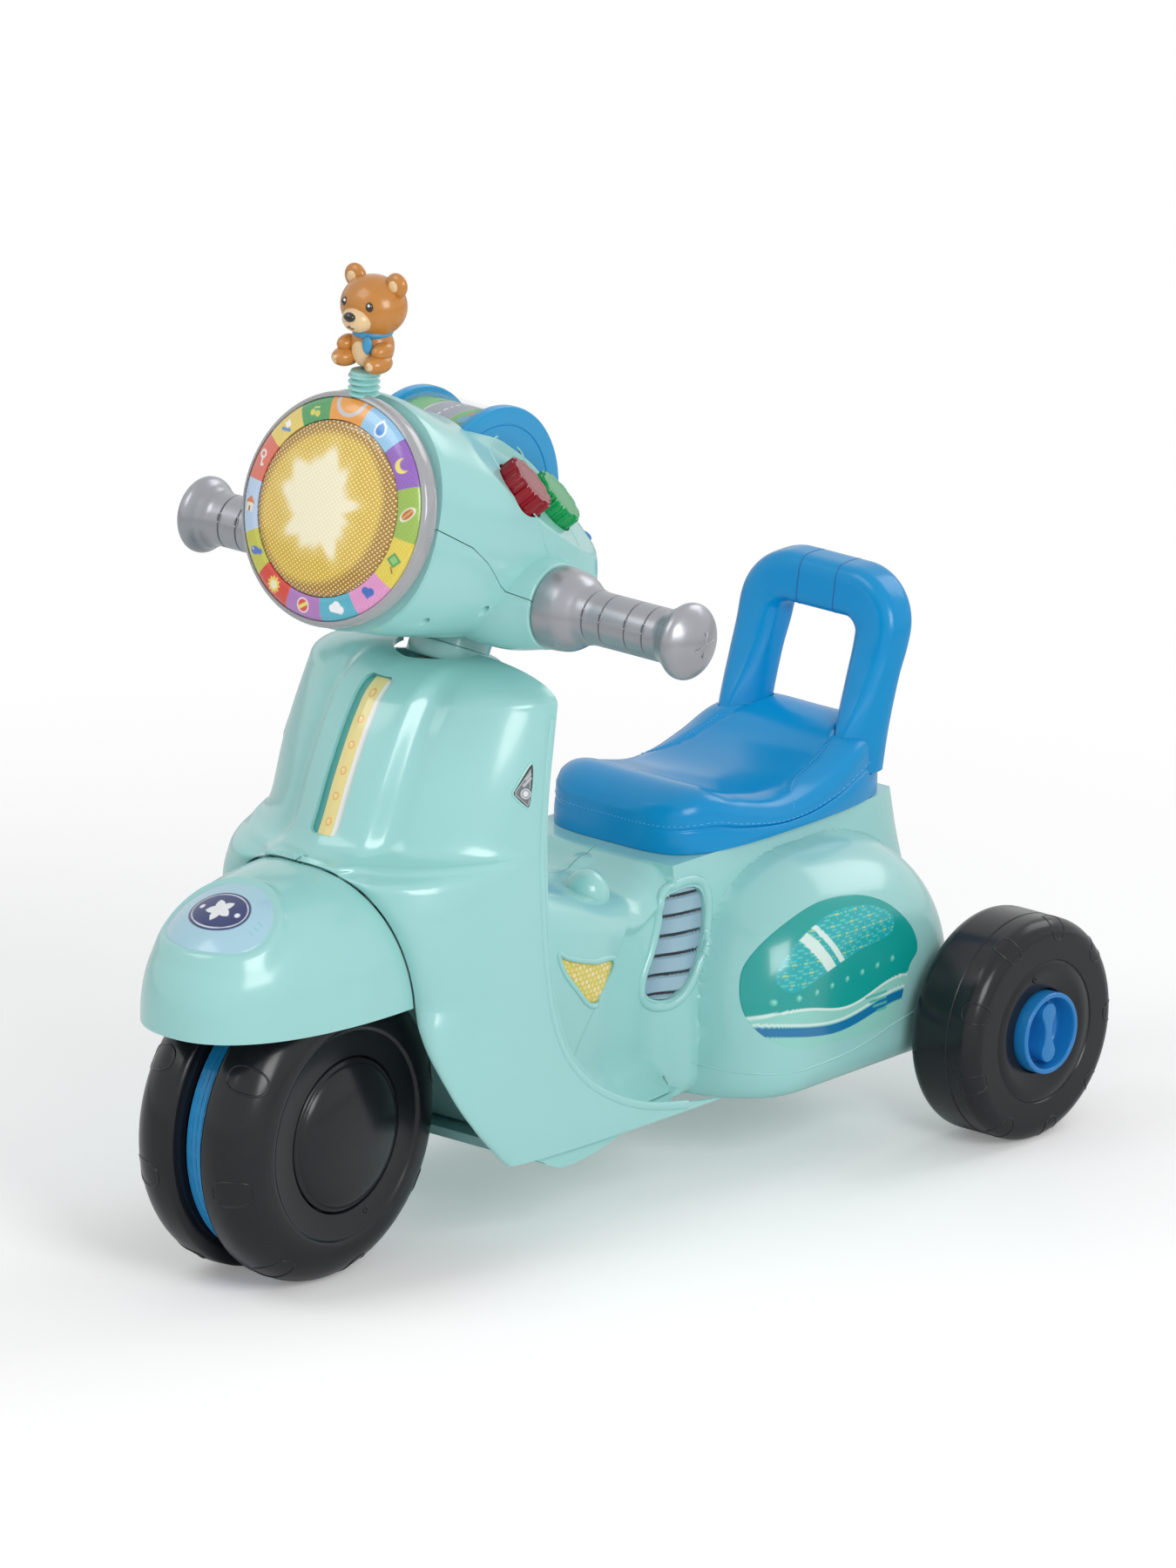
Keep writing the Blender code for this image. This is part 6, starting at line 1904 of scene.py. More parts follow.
        def lift(p: float, q: float) -> Vector:
            """Drop a place of the print on to the hump."""
            hit, normal = surface.beside(p, q)
            spot = hit + normal * FILM_LIFT
            return Vector((sign * spot.x, spot.y, spot.z))

        def paint(p: np.ndarray, q: np.ndarray) -> Canvas:
            """The window, the stripes, the dots and the waves on teal."""
            teal, mint = (0.004, 0.360, 0.330), (0.30, 0.68, 0.60)
            dark, pale = (0.005, 0.190, 0.420), (0.72, 0.90, 0.85)
            canvas = Canvas(p, q, teal)
            window = smooth_outline([(0.1500, 0.1385), (0.1300, 0.1402), (0.1100, 0.1350), (0.0930, 0.1240),
                                     (0.0840, 0.1110), (0.0900, 0.1040), (0.1100, 0.1090), (0.1400, 0.1160),
                                     (0.1680, 0.1200), (0.1700, 0.1275), (0.1610, 0.1350)], 60)
            depth = depths_inside(window, p, q)
            canvas.lay(-depth, (0.010, 0.420, 0.450))
            rows = np.floor((q - 0.100) / 0.0017)
            wave = np.sin(p * 900.0 + rows * 2.7) + 0.6 * np.sin(p * 430.0 + rows * 5.1)
            dash = np.where(wave > 0.35, -0.001, 0.001)
            line = np.abs((q - 0.100) / 0.0017 - rows - 0.5) * 0.0017 - 0.00045
            canvas.lay(np.maximum(np.maximum(line, dash), 0.0004 - depth), (0.10, 0.60, 0.52))
            odd = np.where((rows % 3 == 1) & (wave < -0.55), -0.001, 0.001)
            canvas.lay(np.maximum(np.maximum(line, odd), 0.0004 - depth), (0.42, 0.66, 0.28))
            for start, wide in ((0.1120, 0.0034), (0.1225, 0.0017)):
                slant = np.abs((p - start) + (q - 0.1200) * 0.75) * 0.8 - wide
                canvas.lay(np.maximum(slant, 0.0003 - depth), (0.70, 0.88, 0.82))
            low = 0.0905 + 0.0035 * np.sin((p - 0.07) * 75.0)
            canvas.lay(q - low, mint)
            canvas.lay(np.abs(q - low) - 0.0007, pale)
            second = 0.0805 + 0.0030 * np.sin((p - 0.05) * 62.0)
            canvas.lay(np.abs(q - second) - 0.0026, dark)
            canvas.lay(np.abs(q - second - 0.0040) - 0.0006, pale)
            for index in range(8):
                y = 0.0815 + 0.0125 * index
                z = 0.0995 + 0.0008 * index
                canvas.disc(y, z, 0.0017, (0.10, 0.55, 0.47))
                canvas.disc(y + 0.0002, z + 0.0003, 0.0009, (0.30, 0.72, 0.62))
            for index in range(4):
                canvas.bar(0.1560 + 0.0016 * index, 0.0880 - 0.0030 * index, 0.0090 - 0.0016 * index, 0.0007,
                           (0.10, 0.50, 0.44), corner=0.0006)
            return canvas

        printed(f"hump_decal_{side}", (300, 120), layout, lift, paint, Finishes.FILM, FRAME_PRINT,
                lambda co: co - Vector((sign * 0.0004, 0.0, 0.0)))

    def trim_lines(self, side: str, sign: int, surface: Surface) -> None:
        """The fine raised line low on the hump."""
        low = polyline([(0.0, 0.0560, 0.0650), (0.0, 0.0654, 0.0614), (0.0, 0.0969, 0.0602),
                        (0.0, 0.1381, 0.0616),
                        (0.0, 0.1720, 0.0681), (0.0, 0.1950, 0.0720)], closed=False)
        line = bead(lambda share: surface.beside(low(share).y, low(share).z), 90, 0.0011, 0.00035,
                    closed=False)
        publish(f"body_lines_{side}", on_side(line, sign), Finishes.MINT, FRAME_MINT, 50.0)


@dataclass
class FloorPan:
    """The tray under the feet, between the shield's wings."""

    shield: Shield
    top_z: float = 0.0600
    thick: float = 0.0140
    front_y: float = -0.1050
    rear_y: float = 0.0300
    side_gap: float = 0.0012
    rear_narrow: float = 0.0150
    nose_thin: float = 0.009
    rear_thin: float = 0.80
    rib_deep: float = 0.0004
    rib_pitch: float = 0.0090

    def place(self, a: float, b: float, c: float) -> Vector:
        """A point of the tray from its place in the cube it is made from."""
        y = self.front_y + (self.rear_y - self.front_y) * (b + 1.0) / 2.0
        half = self.shield.wing_x(y, self.shield.low_z + 0.002) - self.shield.wall - self.side_gap
        half -= self.rear_narrow * smoothstep(-0.005, self.rear_y, y)
        nose = self.thick - self.nose_thin * smoothstep(0.080, -self.front_y, -y)
        deep = nose * (1.0 - self.rear_thin * smoothstep(-0.075, -0.010, y))
        wave = math.cos((y + 0.10) / self.rib_pitch * math.tau)
        rib = self.rib_deep * smoothstep(0.6, 0.9, wave) if c < 0.0 else 0.0
        return Vector((half * a, y, self.top_z - deep * (1.0 - c) / 2.0 - rib))

    def build(self) -> None:
        """Make the tray."""
        tray = cube_skin(40, self.place)
        publish("floor_tray", tray, Finishes.MINT_SATIN, Berth(Body.FRAME, "mint_plastic", ("floor_pan",)),
                35.0)


@dataclass
class Backrest:
    """The loop behind the seat, with two lines across its top and pointed feet."""

    half_width: float = 0.0545
    leg_x: float = 0.0400
    top_z: float = 0.2890
    bar: float = 0.0270
    foot_z: float = 0.1860
    corner: float = 0.0200
    top_y: float = 0.243
    line_x: float = 0.0125
    foot_share: float = 0.155

    def path(self, share: float) -> tuple[float, float, float]:
        """Middle line of the loop: across, up and the angle turned so far."""
        height = self.top_z - self.bar / 2
        legs = height - self.corner - self.foot_z
        turn = self.corner * math.pi / 2
        level = 2 * (self.leg_x - self.corner)
        walked = share * (2 * legs + 2 * turn + level)
        if walked < legs:
            return -self.leg_x, self.foot_z + walked, 0.0
        walked -= legs
        if walked < turn:
            angle = walked / self.corner
            return -self.leg_x + self.corner * (1 - math.cos(angle)), \
                self.foot_z + legs + self.corner * math.sin(angle), angle
        walked -= turn
        if walked < level:
            return -self.leg_x + self.corner + walked, height, math.pi / 2
        walked -= level
        if walked < turn:
            angle = math.pi / 2 + walked / self.corner
            return self.leg_x - self.corner + self.corner * math.sin(angle - math.pi / 2), \
                height - self.corner + self.corner * math.cos(angle - math.pi / 2), angle
        return self.leg_x, self.foot_z + legs - (walked - turn), math.pi

    def depths(self, z: float) -> tuple[float, float]:
        """Front and rear of the loop at a height."""
        front = interpolate([(0.185, 0.1960), (0.205, 0.2020), (0.23, 0.2150), (0.25, 0.2240),
                             (0.27, 0.2290), (0.29, 0.2320)], z)
        rear = interpolate([(0.185, 0.2270), (0.21, 0.2320), (0.235, 0.2390), (0.25, 0.2455), (0.27, 0.2515),
                            (0.29, 0.2560)], z)
        return front, rear

    def place(self, a: float, b: float, grow: float = 0.0) -> Vector:
        """The skin: a round the section, b along the loop from foot to foot."""
        x, z, angle = self.path(b)
        level = math.sin(angle) ** 2
        half = (self.half_width - self.leg_x) * (1.0 - level) + self.bar / 2 * level + grow
        turn = math.tau * a
        across = signed_power(math.cos(turn), 0.50)
        deep = signed_power(math.sin(turn), 0.50)
        out_z = z + half * across * math.sin(angle)
        front, rear = self.depths(out_z)
        taper = interpolate([(0.186, 0.66), (0.205, 0.56), (0.225, 0.34), (0.25, 0.14), (0.27, 0.04)], out_z)
        narrow = 1.0 - taper * (1.0 - level) * smoothstep(0.35, -1.0, deep)
        narrow -= 0.10 * smoothstep(-0.5, -1.0, deep)
        out_x = x - half * across * math.cos(angle) * narrow
        y = (front + rear) / 2 + ((rear - front) / 2 + grow) * deep
        return Vector((out_x, y, out_z))

    def build(self) -> None:
        """Make the loop and its two lines."""
        bm = skin(96, 220, self.place, 0.00002)
        point_out(fill_rims(bm))
        surface = Surface(bm)
        publish("backrest_loop", bm, Finishes.SEAT_BLUE, Berth(Body.FRAME, "blue_plastic", ("backrest",)),
                40.0)
        height = self.top_z - self.bar / 2
        lines = []
        for x in (-self.line_x, self.line_x):

            def ring(share: float, x: float = x) -> tuple[Vector, Vector]:
                """A point of a seam round the loop's bar."""
                angle = math.tau * share
                middle = Vector((x, self.top_y, height))
                start = Vector((x, self.top_y + 0.05 * math.cos(angle), height + 0.05 * math.sin(angle)))
                return surface.drop(start, middle - start)

            lines.append(bead(ring, 90, 0.0007, 0.00018))
        # Painted shade: the lines are darker than the loop so that they read as grooves.
        publish("backrest_lines", join(lines), Finishes.SEAT_SEAM_SHADE, Berth(Body.FRAME, "blue_plastic"), 50.0)

    def foot_tool(self, sign: int, grow: float) -> bmesh.types.BMesh:
        """One leg's foot grown by a clearance, to cut its pocket."""

        def place(a: float, b: float) -> Vector:
            """A point of one foot, grown by the clearance."""
            spot = self.place(a, self.foot_share * b, grow)
            spot.z -= 0.0006 * (1.0 - b)
            return spot

        bm = skin(64, 12, place, 0.00002)
        point_out(fill_rims(bm))
        return on_side(bm, -sign)


@dataclass
class Seat:
    """The moulded seat with its stitched edge and its two rear bolsters."""

    backrest: Backrest
    front_y: float = 0.0600
    rear_y: float = 0.2380
    half_width: float = 0.0590
    bottom_z: float = 0.1728
    edge_r: float = 0.0110
    back_rise: float = 0.0050
    hollow: float = 0.003
    bolster_rise: float = 0.0016
    groove_deep: float = 0.0007
    groove_wide: float = 0.0009
    belt_z: float = 0.62
    belt_deep: float = 0.020
    foot_gap: float = 0.0006

    # By Y: the height of the top, and how far out the inner edge of the bolsters stands.
    TOP_LINE = [(0.060, 0.2040), (0.085, 0.2050), (0.105, 0.1985), (0.135, 0.1915), (0.160, 0.1920),
                (0.185, 0.1985), (0.205, 0.2070), (0.238, 0.2160)]
    BOLSTER = [(0.140, 0.0640), (0.147, 0.0530), (0.158, 0.0440), (0.175, 0.0395), (0.195, 0.0360),
               (0.215, 0.0300), (0.240, 0.0300)]

    def place(self, a: float, b: float, c: float) -> Vector:
        """A point of the seat from its place in the cube it is made from."""
        edge = max(abs(a), abs(b))
        power = 4.4
        even = (abs(a / edge) ** power + abs(b / edge) ** power) ** (1.0 / power) if edge > 0.0 else 1.0
        plan_x, plan_y = a / even, b / even
        y = (self.front_y + self.rear_y) / 2 + (self.rear_y - self.front_y) / 2 * plan_y
        taper = interpolate([(-1.0, 0.94), (0.0, 1.0), (1.0, 0.95)], plan_y)
        x = self.half_width * taper * plan_x
        top = interpolate(self.TOP_LINE, y)
        hollow = self.hollow * (1.0 - (x / self.half_width) ** 2) * smoothstep(0.16, 0.20, y)
        drop = self.edge_r * (1.0 - math.sqrt(max(0.0, 1.0 - max(0.0, (edge - 0.72) / 0.28) ** 2)))
        lift = self.back_rise * (y - self.front_y) / (self.rear_y - self.front_y)
        share = (c + 1.0) / 2.0
        over = abs(x) - interpolate(self.BOLSTER, y)
        bolster = self.bolster_rise * smoothstep(-0.0006, 0.0050, over) * (1.0 - smoothstep(0.60, 0.95, edge))
        groove = self.groove_deep * math.exp(-(over / self.groove_wide) ** 2)
        groove *= 1.0 - smoothstep(0.80, 0.90, edge)
        groove *= smoothstep(0.138, 0.150, y)
        high = top - drop - hollow + bolster - groove
        z = self.bottom_z + (high - self.bottom_z) * share + lift * share * 0.3
        belt = 1.0 - 0.02 * share
        if edge > 0.999:
            belt -= self.belt_deep * math.exp(-((share - self.belt_z) / 0.040) ** 2)
            belt += 0.010 * math.sin(math.pi * min(1.0, share / 0.58)) * (share < 0.58)
        return Vector((x * belt, y, z))

    def rim_path(self, surface: Surface, share_up: float) -> Callable[[float], tuple[Vector, Vector]]:
        """A line round the seat's side at a share of its height."""

        def at(share: float) -> tuple[Vector, Vector]:
            """A point of the rim's path and the cushion's normal there."""
            turn = math.tau * share
            a, b = math.cos(turn), math.sin(turn)
            reach = max(abs(a), abs(b))
            spot = self.place(a / reach, b / reach, 2.0 * share_up - 1.0)
            middle = Vector((0.0, min(max(spot.y, self.front_y + 0.055), self.rear_y - 0.055), spot.z))
            start = middle + (spot - middle).normalized() * 0.12
            return surface.drop(start, middle - start)

        return at

    def build(self) -> None:
        """Make the seat and its stitches."""
        bm = cube_skin(86, self.place)
        surface = Surface(bm)
        cuts = [(self.backrest.foot_tool(sign, self.foot_gap), "DIFFERENCE") for sign in (1, -1)]
        seat = carve(bm, cuts)
        publish("seat_cushion", seat, Finishes.SEAT_BLUE, Berth(Body.FRAME, "blue_plastic", ("seat",)), 40.0)
        rows = [stitches(self.rim_path(surface, 0.74), 150)]
        for sign in (1, -1):

            def curve(share: float, sign: int = sign) -> tuple[Vector, Vector]:
                """A point of the seam beside one bolster."""
                y = 0.1425 + (0.1960 - 0.1425) * share
                x = interpolate(self.BOLSTER, y) + 0.0014
                return surface.drop((sign * x, y, 0.3), (0.0, 0.0, -1.0))

            rows.append(stitches(curve, 26))
        publish("seat_stitches", join(rows), Finishes.STITCH, Berth(Body.FRAME, "blue_plastic"), 50.0)


@dataclass
class Fork:
    """The satin blue band between the front wheel halves, under its crown."""

    axle_y: float = FRONT_AXLE_Y
    axle_z: float = FRONT_RADIUS
    radius: float = 0.0725

    # Where the fine rings stand along X.
    RINGS = (-0.0058, -0.0030, 0.0, 0.0030, 0.0058)

    def build(self) -> None:
        """Dress the fork's node, and lay fine rings round its edge."""
        dress("fork_disc", Finishes.FORK_BLUE)
        rings = []
        for x in self.RINGS:

            def at(share: float, x: float = x) -> tuple[Vector, Vector]:
                """A point of one ring on the band's edge."""
                turn = math.radians(-150.0 + 205.0 * share)
                out = Vector((0.0, math.sin(turn), math.cos(turn)))
                return Vector((x, self.axle_y, self.axle_z)) + out * self.radius, out

            rings.append(bead(at, 120, 0.0005, 0.00012, closed=False))
        publish("fork_rings", join(rings), Finishes.FORK_BLUE, Berth(Body.STEERING, "blue_plastic"), 50.0)


@dataclass
class ButtonPanel:
    """The slanted panel on each side of the head and the two buttons that stand in it."""

    radius: float = 0.0165
    thick: float = 0.0120
    proud: float = 0.0090
    travel: float = 0.0020
    teeth: int = 10
    tooth_depth: float = 0.0012
    gap: float = 0.0003

    # The left panel's plane, and each button's side and place on it.
    CENTRE = Vector((0.0492, -0.0639, 0.4012))
    NORMAL = Vector((0.62, 0.45, 0.64)).normalized()
    PLACES = {"red": (1, Vector((0.0520, -0.0799, 0.4087))),
              "green": (1, Vector((0.0465, -0.0479, 0.3938))),
              "yellow": (-1, Vector((0.0520, -0.0799, 0.4087))),
              "blue": (-1, Vector((0.0465, -0.0479, 0.3938)))}

    def frame_of(self, name: str) -> Matrix:
        """Where a button stands, its Z axis along the way it is pressed from."""
        sign, base = self.PLACES[name]
        base = base - self.NORMAL * (base - self.CENTRE).dot(self.NORMAL)
        spot = Vector((base.x * sign, base.y, base.z))
        normal = Vector((self.NORMAL.x * sign, self.NORMAL.y, self.NORMAL.z))
        return Matrix.Translation(spot) @ normal.to_track_quat("Z", "Y").to_matrix().to_4x4()

    def well(self, name: str) -> bmesh.types.BMesh:
        """The solid that cuts a button's well."""
        depth = self.proud - self.thick - self.travel - self.gap * 2
        reach = self.radius + self.gap * 2
        return shift(lathe([(depth, 0.0), (depth, reach), (0.0300, reach), (0.0300, 0.0)], 96, "Z"),
                     self.frame_of(name))

    def outline(self, reach: float) -> list[tuple[float, float]]:
        """A gear's outline: rounded teeth with fine ribs between."""
        points = []
        count = self.teeth * 16
        for index in range(count):
            turn = math.tau * index / count
            tooth = 0.5 + 0.5 * math.cos(self.teeth * turn)
            valley = self.tooth_depth * (1.0 - smoothstep(0.20, 0.65, tooth))
            rib = 0.00022 * math.cos(self.teeth * 4 * turn)
            size = reach - 0.00022 - valley + rib
            points.append((size * math.cos(turn), size * math.sin(turn)))
        return points

    def build(self) -> None:
        """Make the four buttons."""
        for name, body, finish in (("red", Body.RED_BUTTON, Finishes.RED_CLEAR),
                                   ("green", Body.GREEN_BUTTON, Finishes.GREEN_CLEAR),
                                   ("yellow", Body.YELLOW_BUTTON, Finishes.YELLOW_CLEAR),
                                   ("blue", Body.BLUE_BUTTON, Finishes.BLUE_CLEAR)):
            low, high = self.proud - self.thick, self.proud
            gear = prism(self.outline(self.radius), low, high - 0.0011, "Z")
            for vert in gear.verts:
                if vert.co.z > high - 0.002:
                    vert.co.x *= 0.985
                    vert.co.y *= 0.985
            step = prism(self.outline(self.radius * 0.93), high - 0.0013, high - 0.0001, "Z")
            for vert in step.verts:
                if vert.co.z > high - 0.0005:
                    vert.co.x *= 0.965
                    vert.co.y *= 0.965
            dish = lathe([(high - 0.0004, 0.0), (high - 0.0004, 0.0098), (high + 0.0, 0.0104),
                          (high + 0.0, 0.0112), (high - 0.0004, 0.0118), (high - 0.0010, 0.0118),
                          (high - 0.0010, 0.0)], 64, "Z")
            whole = shift(join([gear, step, dish]), self.frame_of(name))
            publish(f"{name}_key", whole, finish, Berth(body, f"{name}_clear", (f"button_{name}",)), 30.0)


@dataclass
class Drum:
    """The road drum: a printed core under a clear sleeve, between two blue discs."""

    y: float = -0.0740
    z: float = 0.3945
    radius: float = 0.0535
    half: float = 0.0300
    disc_t: float = 0.0050
    core_r: float = 0.0480
    clear: float = 0.0010
    gap: float = 0.0003

    def place(self) -> Matrix:
        """Where the drum's axle stands."""
        return Matrix.Translation((0.0, self.y, self.z))

    def well(self) -> bmesh.types.BMesh:
        """The solid that cuts the drum's well."""
        shaft, reach = self.half + 0.0068, self.half + self.clear
        thin = 0.004 + self.gap
        profile = [(-shaft, 0.0), (-shaft, thin), (-reach, thin), (-reach, self.radius + self.clear),
                   (reach, self.radius + self.clear), (reach, thin), (shaft, thin), (shaft, 0.0)]
        return shift(lathe(profile, 128), self.place())

    def build(self) -> None:
        """Make the discs, the sleeve and the printed core."""
        inner = self.half - self.disc_t - self.gap
        for side, sign in (("left", 1), ("right", -1)):
            low, high = self.half - self.disc_t, self.half
            profile = [(low, 0.0043), (low, self.radius - 0.0012)]
            profile += arc((low + 0.0012, self.radius - 0.0012), 0.0012, 180, 90, 4)
            profile += arc((high - 0.0012, self.radius - 0.0012), 0.0012, 90, 0, 4)
            profile += [(high, 0.0440), (high - 0.0006, 0.0437), (high - 0.0006, 0.0433), (high, 0.0430)]
            profile += [(high, 0.0120), (high - 0.0005, 0.0110), (high - 0.0005, 0.0070), (high, 0.0060),
                        (high, 0.0043)]
            disc = lathe(profile, 144)
            disc = shift(on_side(disc, sign), self.place())
            publish(f"road_disc_{side}", disc, Finishes.DISC_BLUE,
                    Berth(Body.DRUM, "blue_plastic", (f"drum_disc_{side}",)), 35.0)
        out, back = self.radius - 0.0030, self.radius - 0.0048
        sleeve = lathe([(-inner, back), (-inner, out - 0.0002), (-inner + 0.0002, out), (inner - 0.0002, out),
                        (inner, out - 0.0002), (inner, back)], 144)
        publish("road_sleeve", shift(sleeve, self.place()), Finishes.CLEAR,
                Berth(Body.DRUM, "sleeve", ("drum_sleeve",)))
        self.core(inner)

    def core(self, inner: float) -> None:
        """The printed core: a road with dashes between fields, trees and ponds."""
        around = math.tau * self.core_r

        def layout(a: float, b: float) -> tuple[float, float]:
            """A place on the core from its share of a turn and of the width."""
            return around * a, inner * (2.0 * b - 1.0)

        def lift(p: float, q: float) -> Vector:
            """Roll a place of the print round the core."""
            turn = p / self.core_r
            return Vector((q, self.y + self.core_r * math.sin(turn), self.z + self.core_r * math.cos(turn)))

        def paint(p: np.ndarray, q: np.ndarray) -> Canvas:
            """A dashed road with three bridges between fields, trees and ponds."""
            field, leaf, road = (0.060, 0.330, 0.090), (0.130, 0.480, 0.130), (0.330, 0.350, 0.420)
            canvas = Canvas(p, q, field)
            patch = np.sin(p * 170.0 + 1.3) + np.sin(q * 260.0 + p * 60.0) * 0.7
            canvas.lay(np.where(patch > 0.6, -0.001, 0.001), leaf)
            canvas.lay(np.abs(q + 0.0005 * np.sin(p * 90.0)) - 0.0102, (0.620, 0.640, 0.660))
            canvas.lay(np.abs(q) - 0.0094, road)
            dash = np.abs((p / 0.0062) - np.round(p / 0.0062)) * 0.0062
            canvas.lay(np.maximum(dash - 0.0019, np.abs(q) - 0.0006), (0.90, 0.91, 0.92))
            for index in range(9):
                spot = around * (index + 0.35) / 9
                side = 0.0175 if index % 2 else -0.0175
                canvas.disc(spot, side, 0.0034, (0.030, 0.230, 0.060))
                canvas.disc(spot + 0.0016, side + 0.0018, 0.0022, (0.180, 0.520, 0.100))
                canvas.disc(spot - 0.0014, side + 0.0008, 0.0018, (0.240, 0.560, 0.160))
                canvas.disc(spot + 0.013, -side, 0.0030, (0.130, 0.460, 0.720), 1.7, 24.0)
                canvas.bar(spot + 0.021, -side * 0.95, 0.0030, 0.0024, (0.520, 0.250, 0.110), 12.0, 0.0008)
                canvas.bar(spot + 0.006, side * 0.82, 0.0011, 0.0011, (0.800, 0.560, 0.120), 45.0, 0.0003)
            for index in range(3):
                spot = around * (index + 0.62) / 3
                canvas.bar(spot, 0.0, 0.0046, 0.0094, (0.500, 0.270, 0.150), 0.0, 0.0006)
                for step in range(-3, 4):
                    canvas.bar(spot + step * 0.0013, 0.0, 0.00016, 0.0090, (0.330, 0.170, 0.090))
            return canvas

        printed("road_core", (560, 130), layout, lift, paint, Finishes.MATT_FILM,
                Berth(Body.DRUM, "road_print", ("drum_core",)), weld=1e-6)


@dataclass
class Head:
    """The two head mouldings with the wells for the drum, the buttons and the grips."""

    panel: ButtonPanel
    drum: Drum
    lamp_y: float = LAMP_Y
    lamp_z: float = LAMP_Z
    lamp_tilt: float = LAMP_TILT
    bezel_depth: float = BEZEL_DEPTH
    socket_x: float = SOCKET_X
    socket_r: float = SOCKET_R
    collar_top: float = COLLAR_TOP
    collar_r: float = COLLAR_R
    split: float = 0.00030

    # By Y: the heights of the top and the underside, the half-width, and the height of the split line.
    TOP = [(-0.1505, 0.4640), (-0.1205, 0.4530), (-0.0855, 0.4420), (-0.0605, 0.4310), (-0.0405, 0.4130),
           (-0.0205, 0.3870), (-0.0055, 0.3560)]
    LOW = [(-0.1505, 0.3440), (-0.1205, 0.3318), (-0.0855, 0.3215), (-0.0605, 0.3185), (-0.0255, 0.3185),
           (-0.0055, 0.3275)]
    HALF = [(-0.1505, 0.0590), (-0.1205, 0.0630), (-0.0855, 0.0665), (-0.0605, 0.0670), (-0.0355, 0.0640),
            (-0.0205, 0.0570), (-0.0055, 0.0400)]
    SEAM = [(-0.2400, 0.4550), (-0.1528, 0.4054), (-0.1285, 0.3910), (-0.1170, 0.3800), (-0.1053, 0.3649),
            (-0.1010, 0.3610), (-0.0950, 0.3560), (-0.0860, 0.3515), (-0.0765, 0.3500), (0.0500, 0.3500)]
    # Where the screw recesses open under the lower moulding.
    SCREWS = ((0.0425, -0.1427, 0.3548), (0.0535, -0.1090, 0.3516))

    def front_y(self) -> float:
        """Where the plane behind the lamp meets the head's middle height."""
        middle = (self.TOP[0][1] + self.LOW[0][1]) / 2
        depth = (self.bezel_depth + 0.0003) / math.cos(self.lamp_tilt)
        return self.lamp_y + depth + (middle - self.lamp_z) * math.tan(self.lamp_tilt)

    def place(self, a: float, b: float) -> Vector:
        """The skin: a round, b from the lamp to the rider's side."""
        front = self.front_y()
        y = front + (self.TOP[-1][0] - front) * b
        top, low, half = (interpolate(table, y) for table in (self.TOP, self.LOW, self.HALF))
        turn = math.tau * a
        x = half * signed_power(math.sin(turn), 0.88)
        middle = (top + low) / 2
        z = middle + (top - low) / 2 * signed_power(math.cos(turn), 0.88)
        y += (z - middle) * math.tan(self.lamp_tilt) * (1.0 - smoothstep(0.0, 0.45, b))
        point = Vector((abs(x), y, z))
        over = max(0.0, (point - self.panel.CENTRE).dot(self.panel.NORMAL))
        point -= self.panel.NORMAL * over * smoothstep(0.029, 0.038, abs(x))
        return Vector((math.copysign(point.x, x), point.y, point.z))

    def solid(self) -> bmesh.types.BMesh:
        """The whole head before anything is cut from it."""
        bm = skin(200, 84, self.place, 0.00002)
        rear = [edge for edge in bm.edges if edge.is_boundary and edge.verts[0].co.y > -0.05]
        for shrink, back in ((0.94, 0.0026), (0.84, 0.0024), (0.68, 0.0018), (0.45, 0.0012), (0.40, 0.0004)):
            moved, rear = grow(bm, rear)
            middle = sum((vert.co for vert in moved), Vector()) / len(moved)
            for vert in moved:
                vert.co = middle + (vert.co - middle) * shrink
                vert.co.y += back
        return point_out(fill_rims(bm))

    def above(self, offset: float) -> bmesh.types.BMesh:
        """The region above the split line, moved by an offset."""
        outline = [(y, z + offset) for y, z in self.SEAM] + [(0.05, 0.52), (-0.24, 0.52)]
        return prism(outline, -0.12, 0.12)

    def socket(self, sign: int) -> bmesh.types.BMesh:
        """The flare that holds one grip."""
        edge = self.socket_x
        profile = [(0.030, 0.0), (0.030, 0.0285), (0.040, 0.0286), (0.046, 0.0285), (0.052, 0.0281),
                   (0.057, 0.0273),
                   (0.062, 0.0262), (0.066, 0.0252), (0.070, 0.0242), (edge - 0.0014, self.socket_r + 0.0001)]
        profile += arc((edge - 0.0010, self.socket_r - 0.0010), 0.0010, 80, 0, 4) + [(edge, 0.0)]
        bm = lathe(profile, 128)
        return shift(on_side(bm, sign), Matrix.Translation(BAR))

    def bore(self, sign: int) -> bmesh.types.BMesh:
        """The bore for one grip's spigot."""
        edge = self.socket_x
        bm = lathe([(edge - 0.0303, 0.0), (edge - 0.0303, SPIGOT_BORE), (edge + 0.01, SPIGOT_BORE),
                    (edge + 0.01, 0.0)], 48)
        return shift(on_side(bm, sign), Matrix.Translation(BAR))

    def screw_hole(self, x: float, y: float, z: float) -> bmesh.types.BMesh:
        """A slanted screw recess that runs up into the lower moulding."""
        bm = lathe([(-0.012, 0.0), (-0.012, 0.0030), (0.0, 0.0028), (0.0090, 0.0024), (0.0090, 0.0)], 32, "Z")
        return shift(bm, Matrix.Translation((x, y, z)) @ Matrix.Rotation(math.radians(-16.0), 4, "X"))

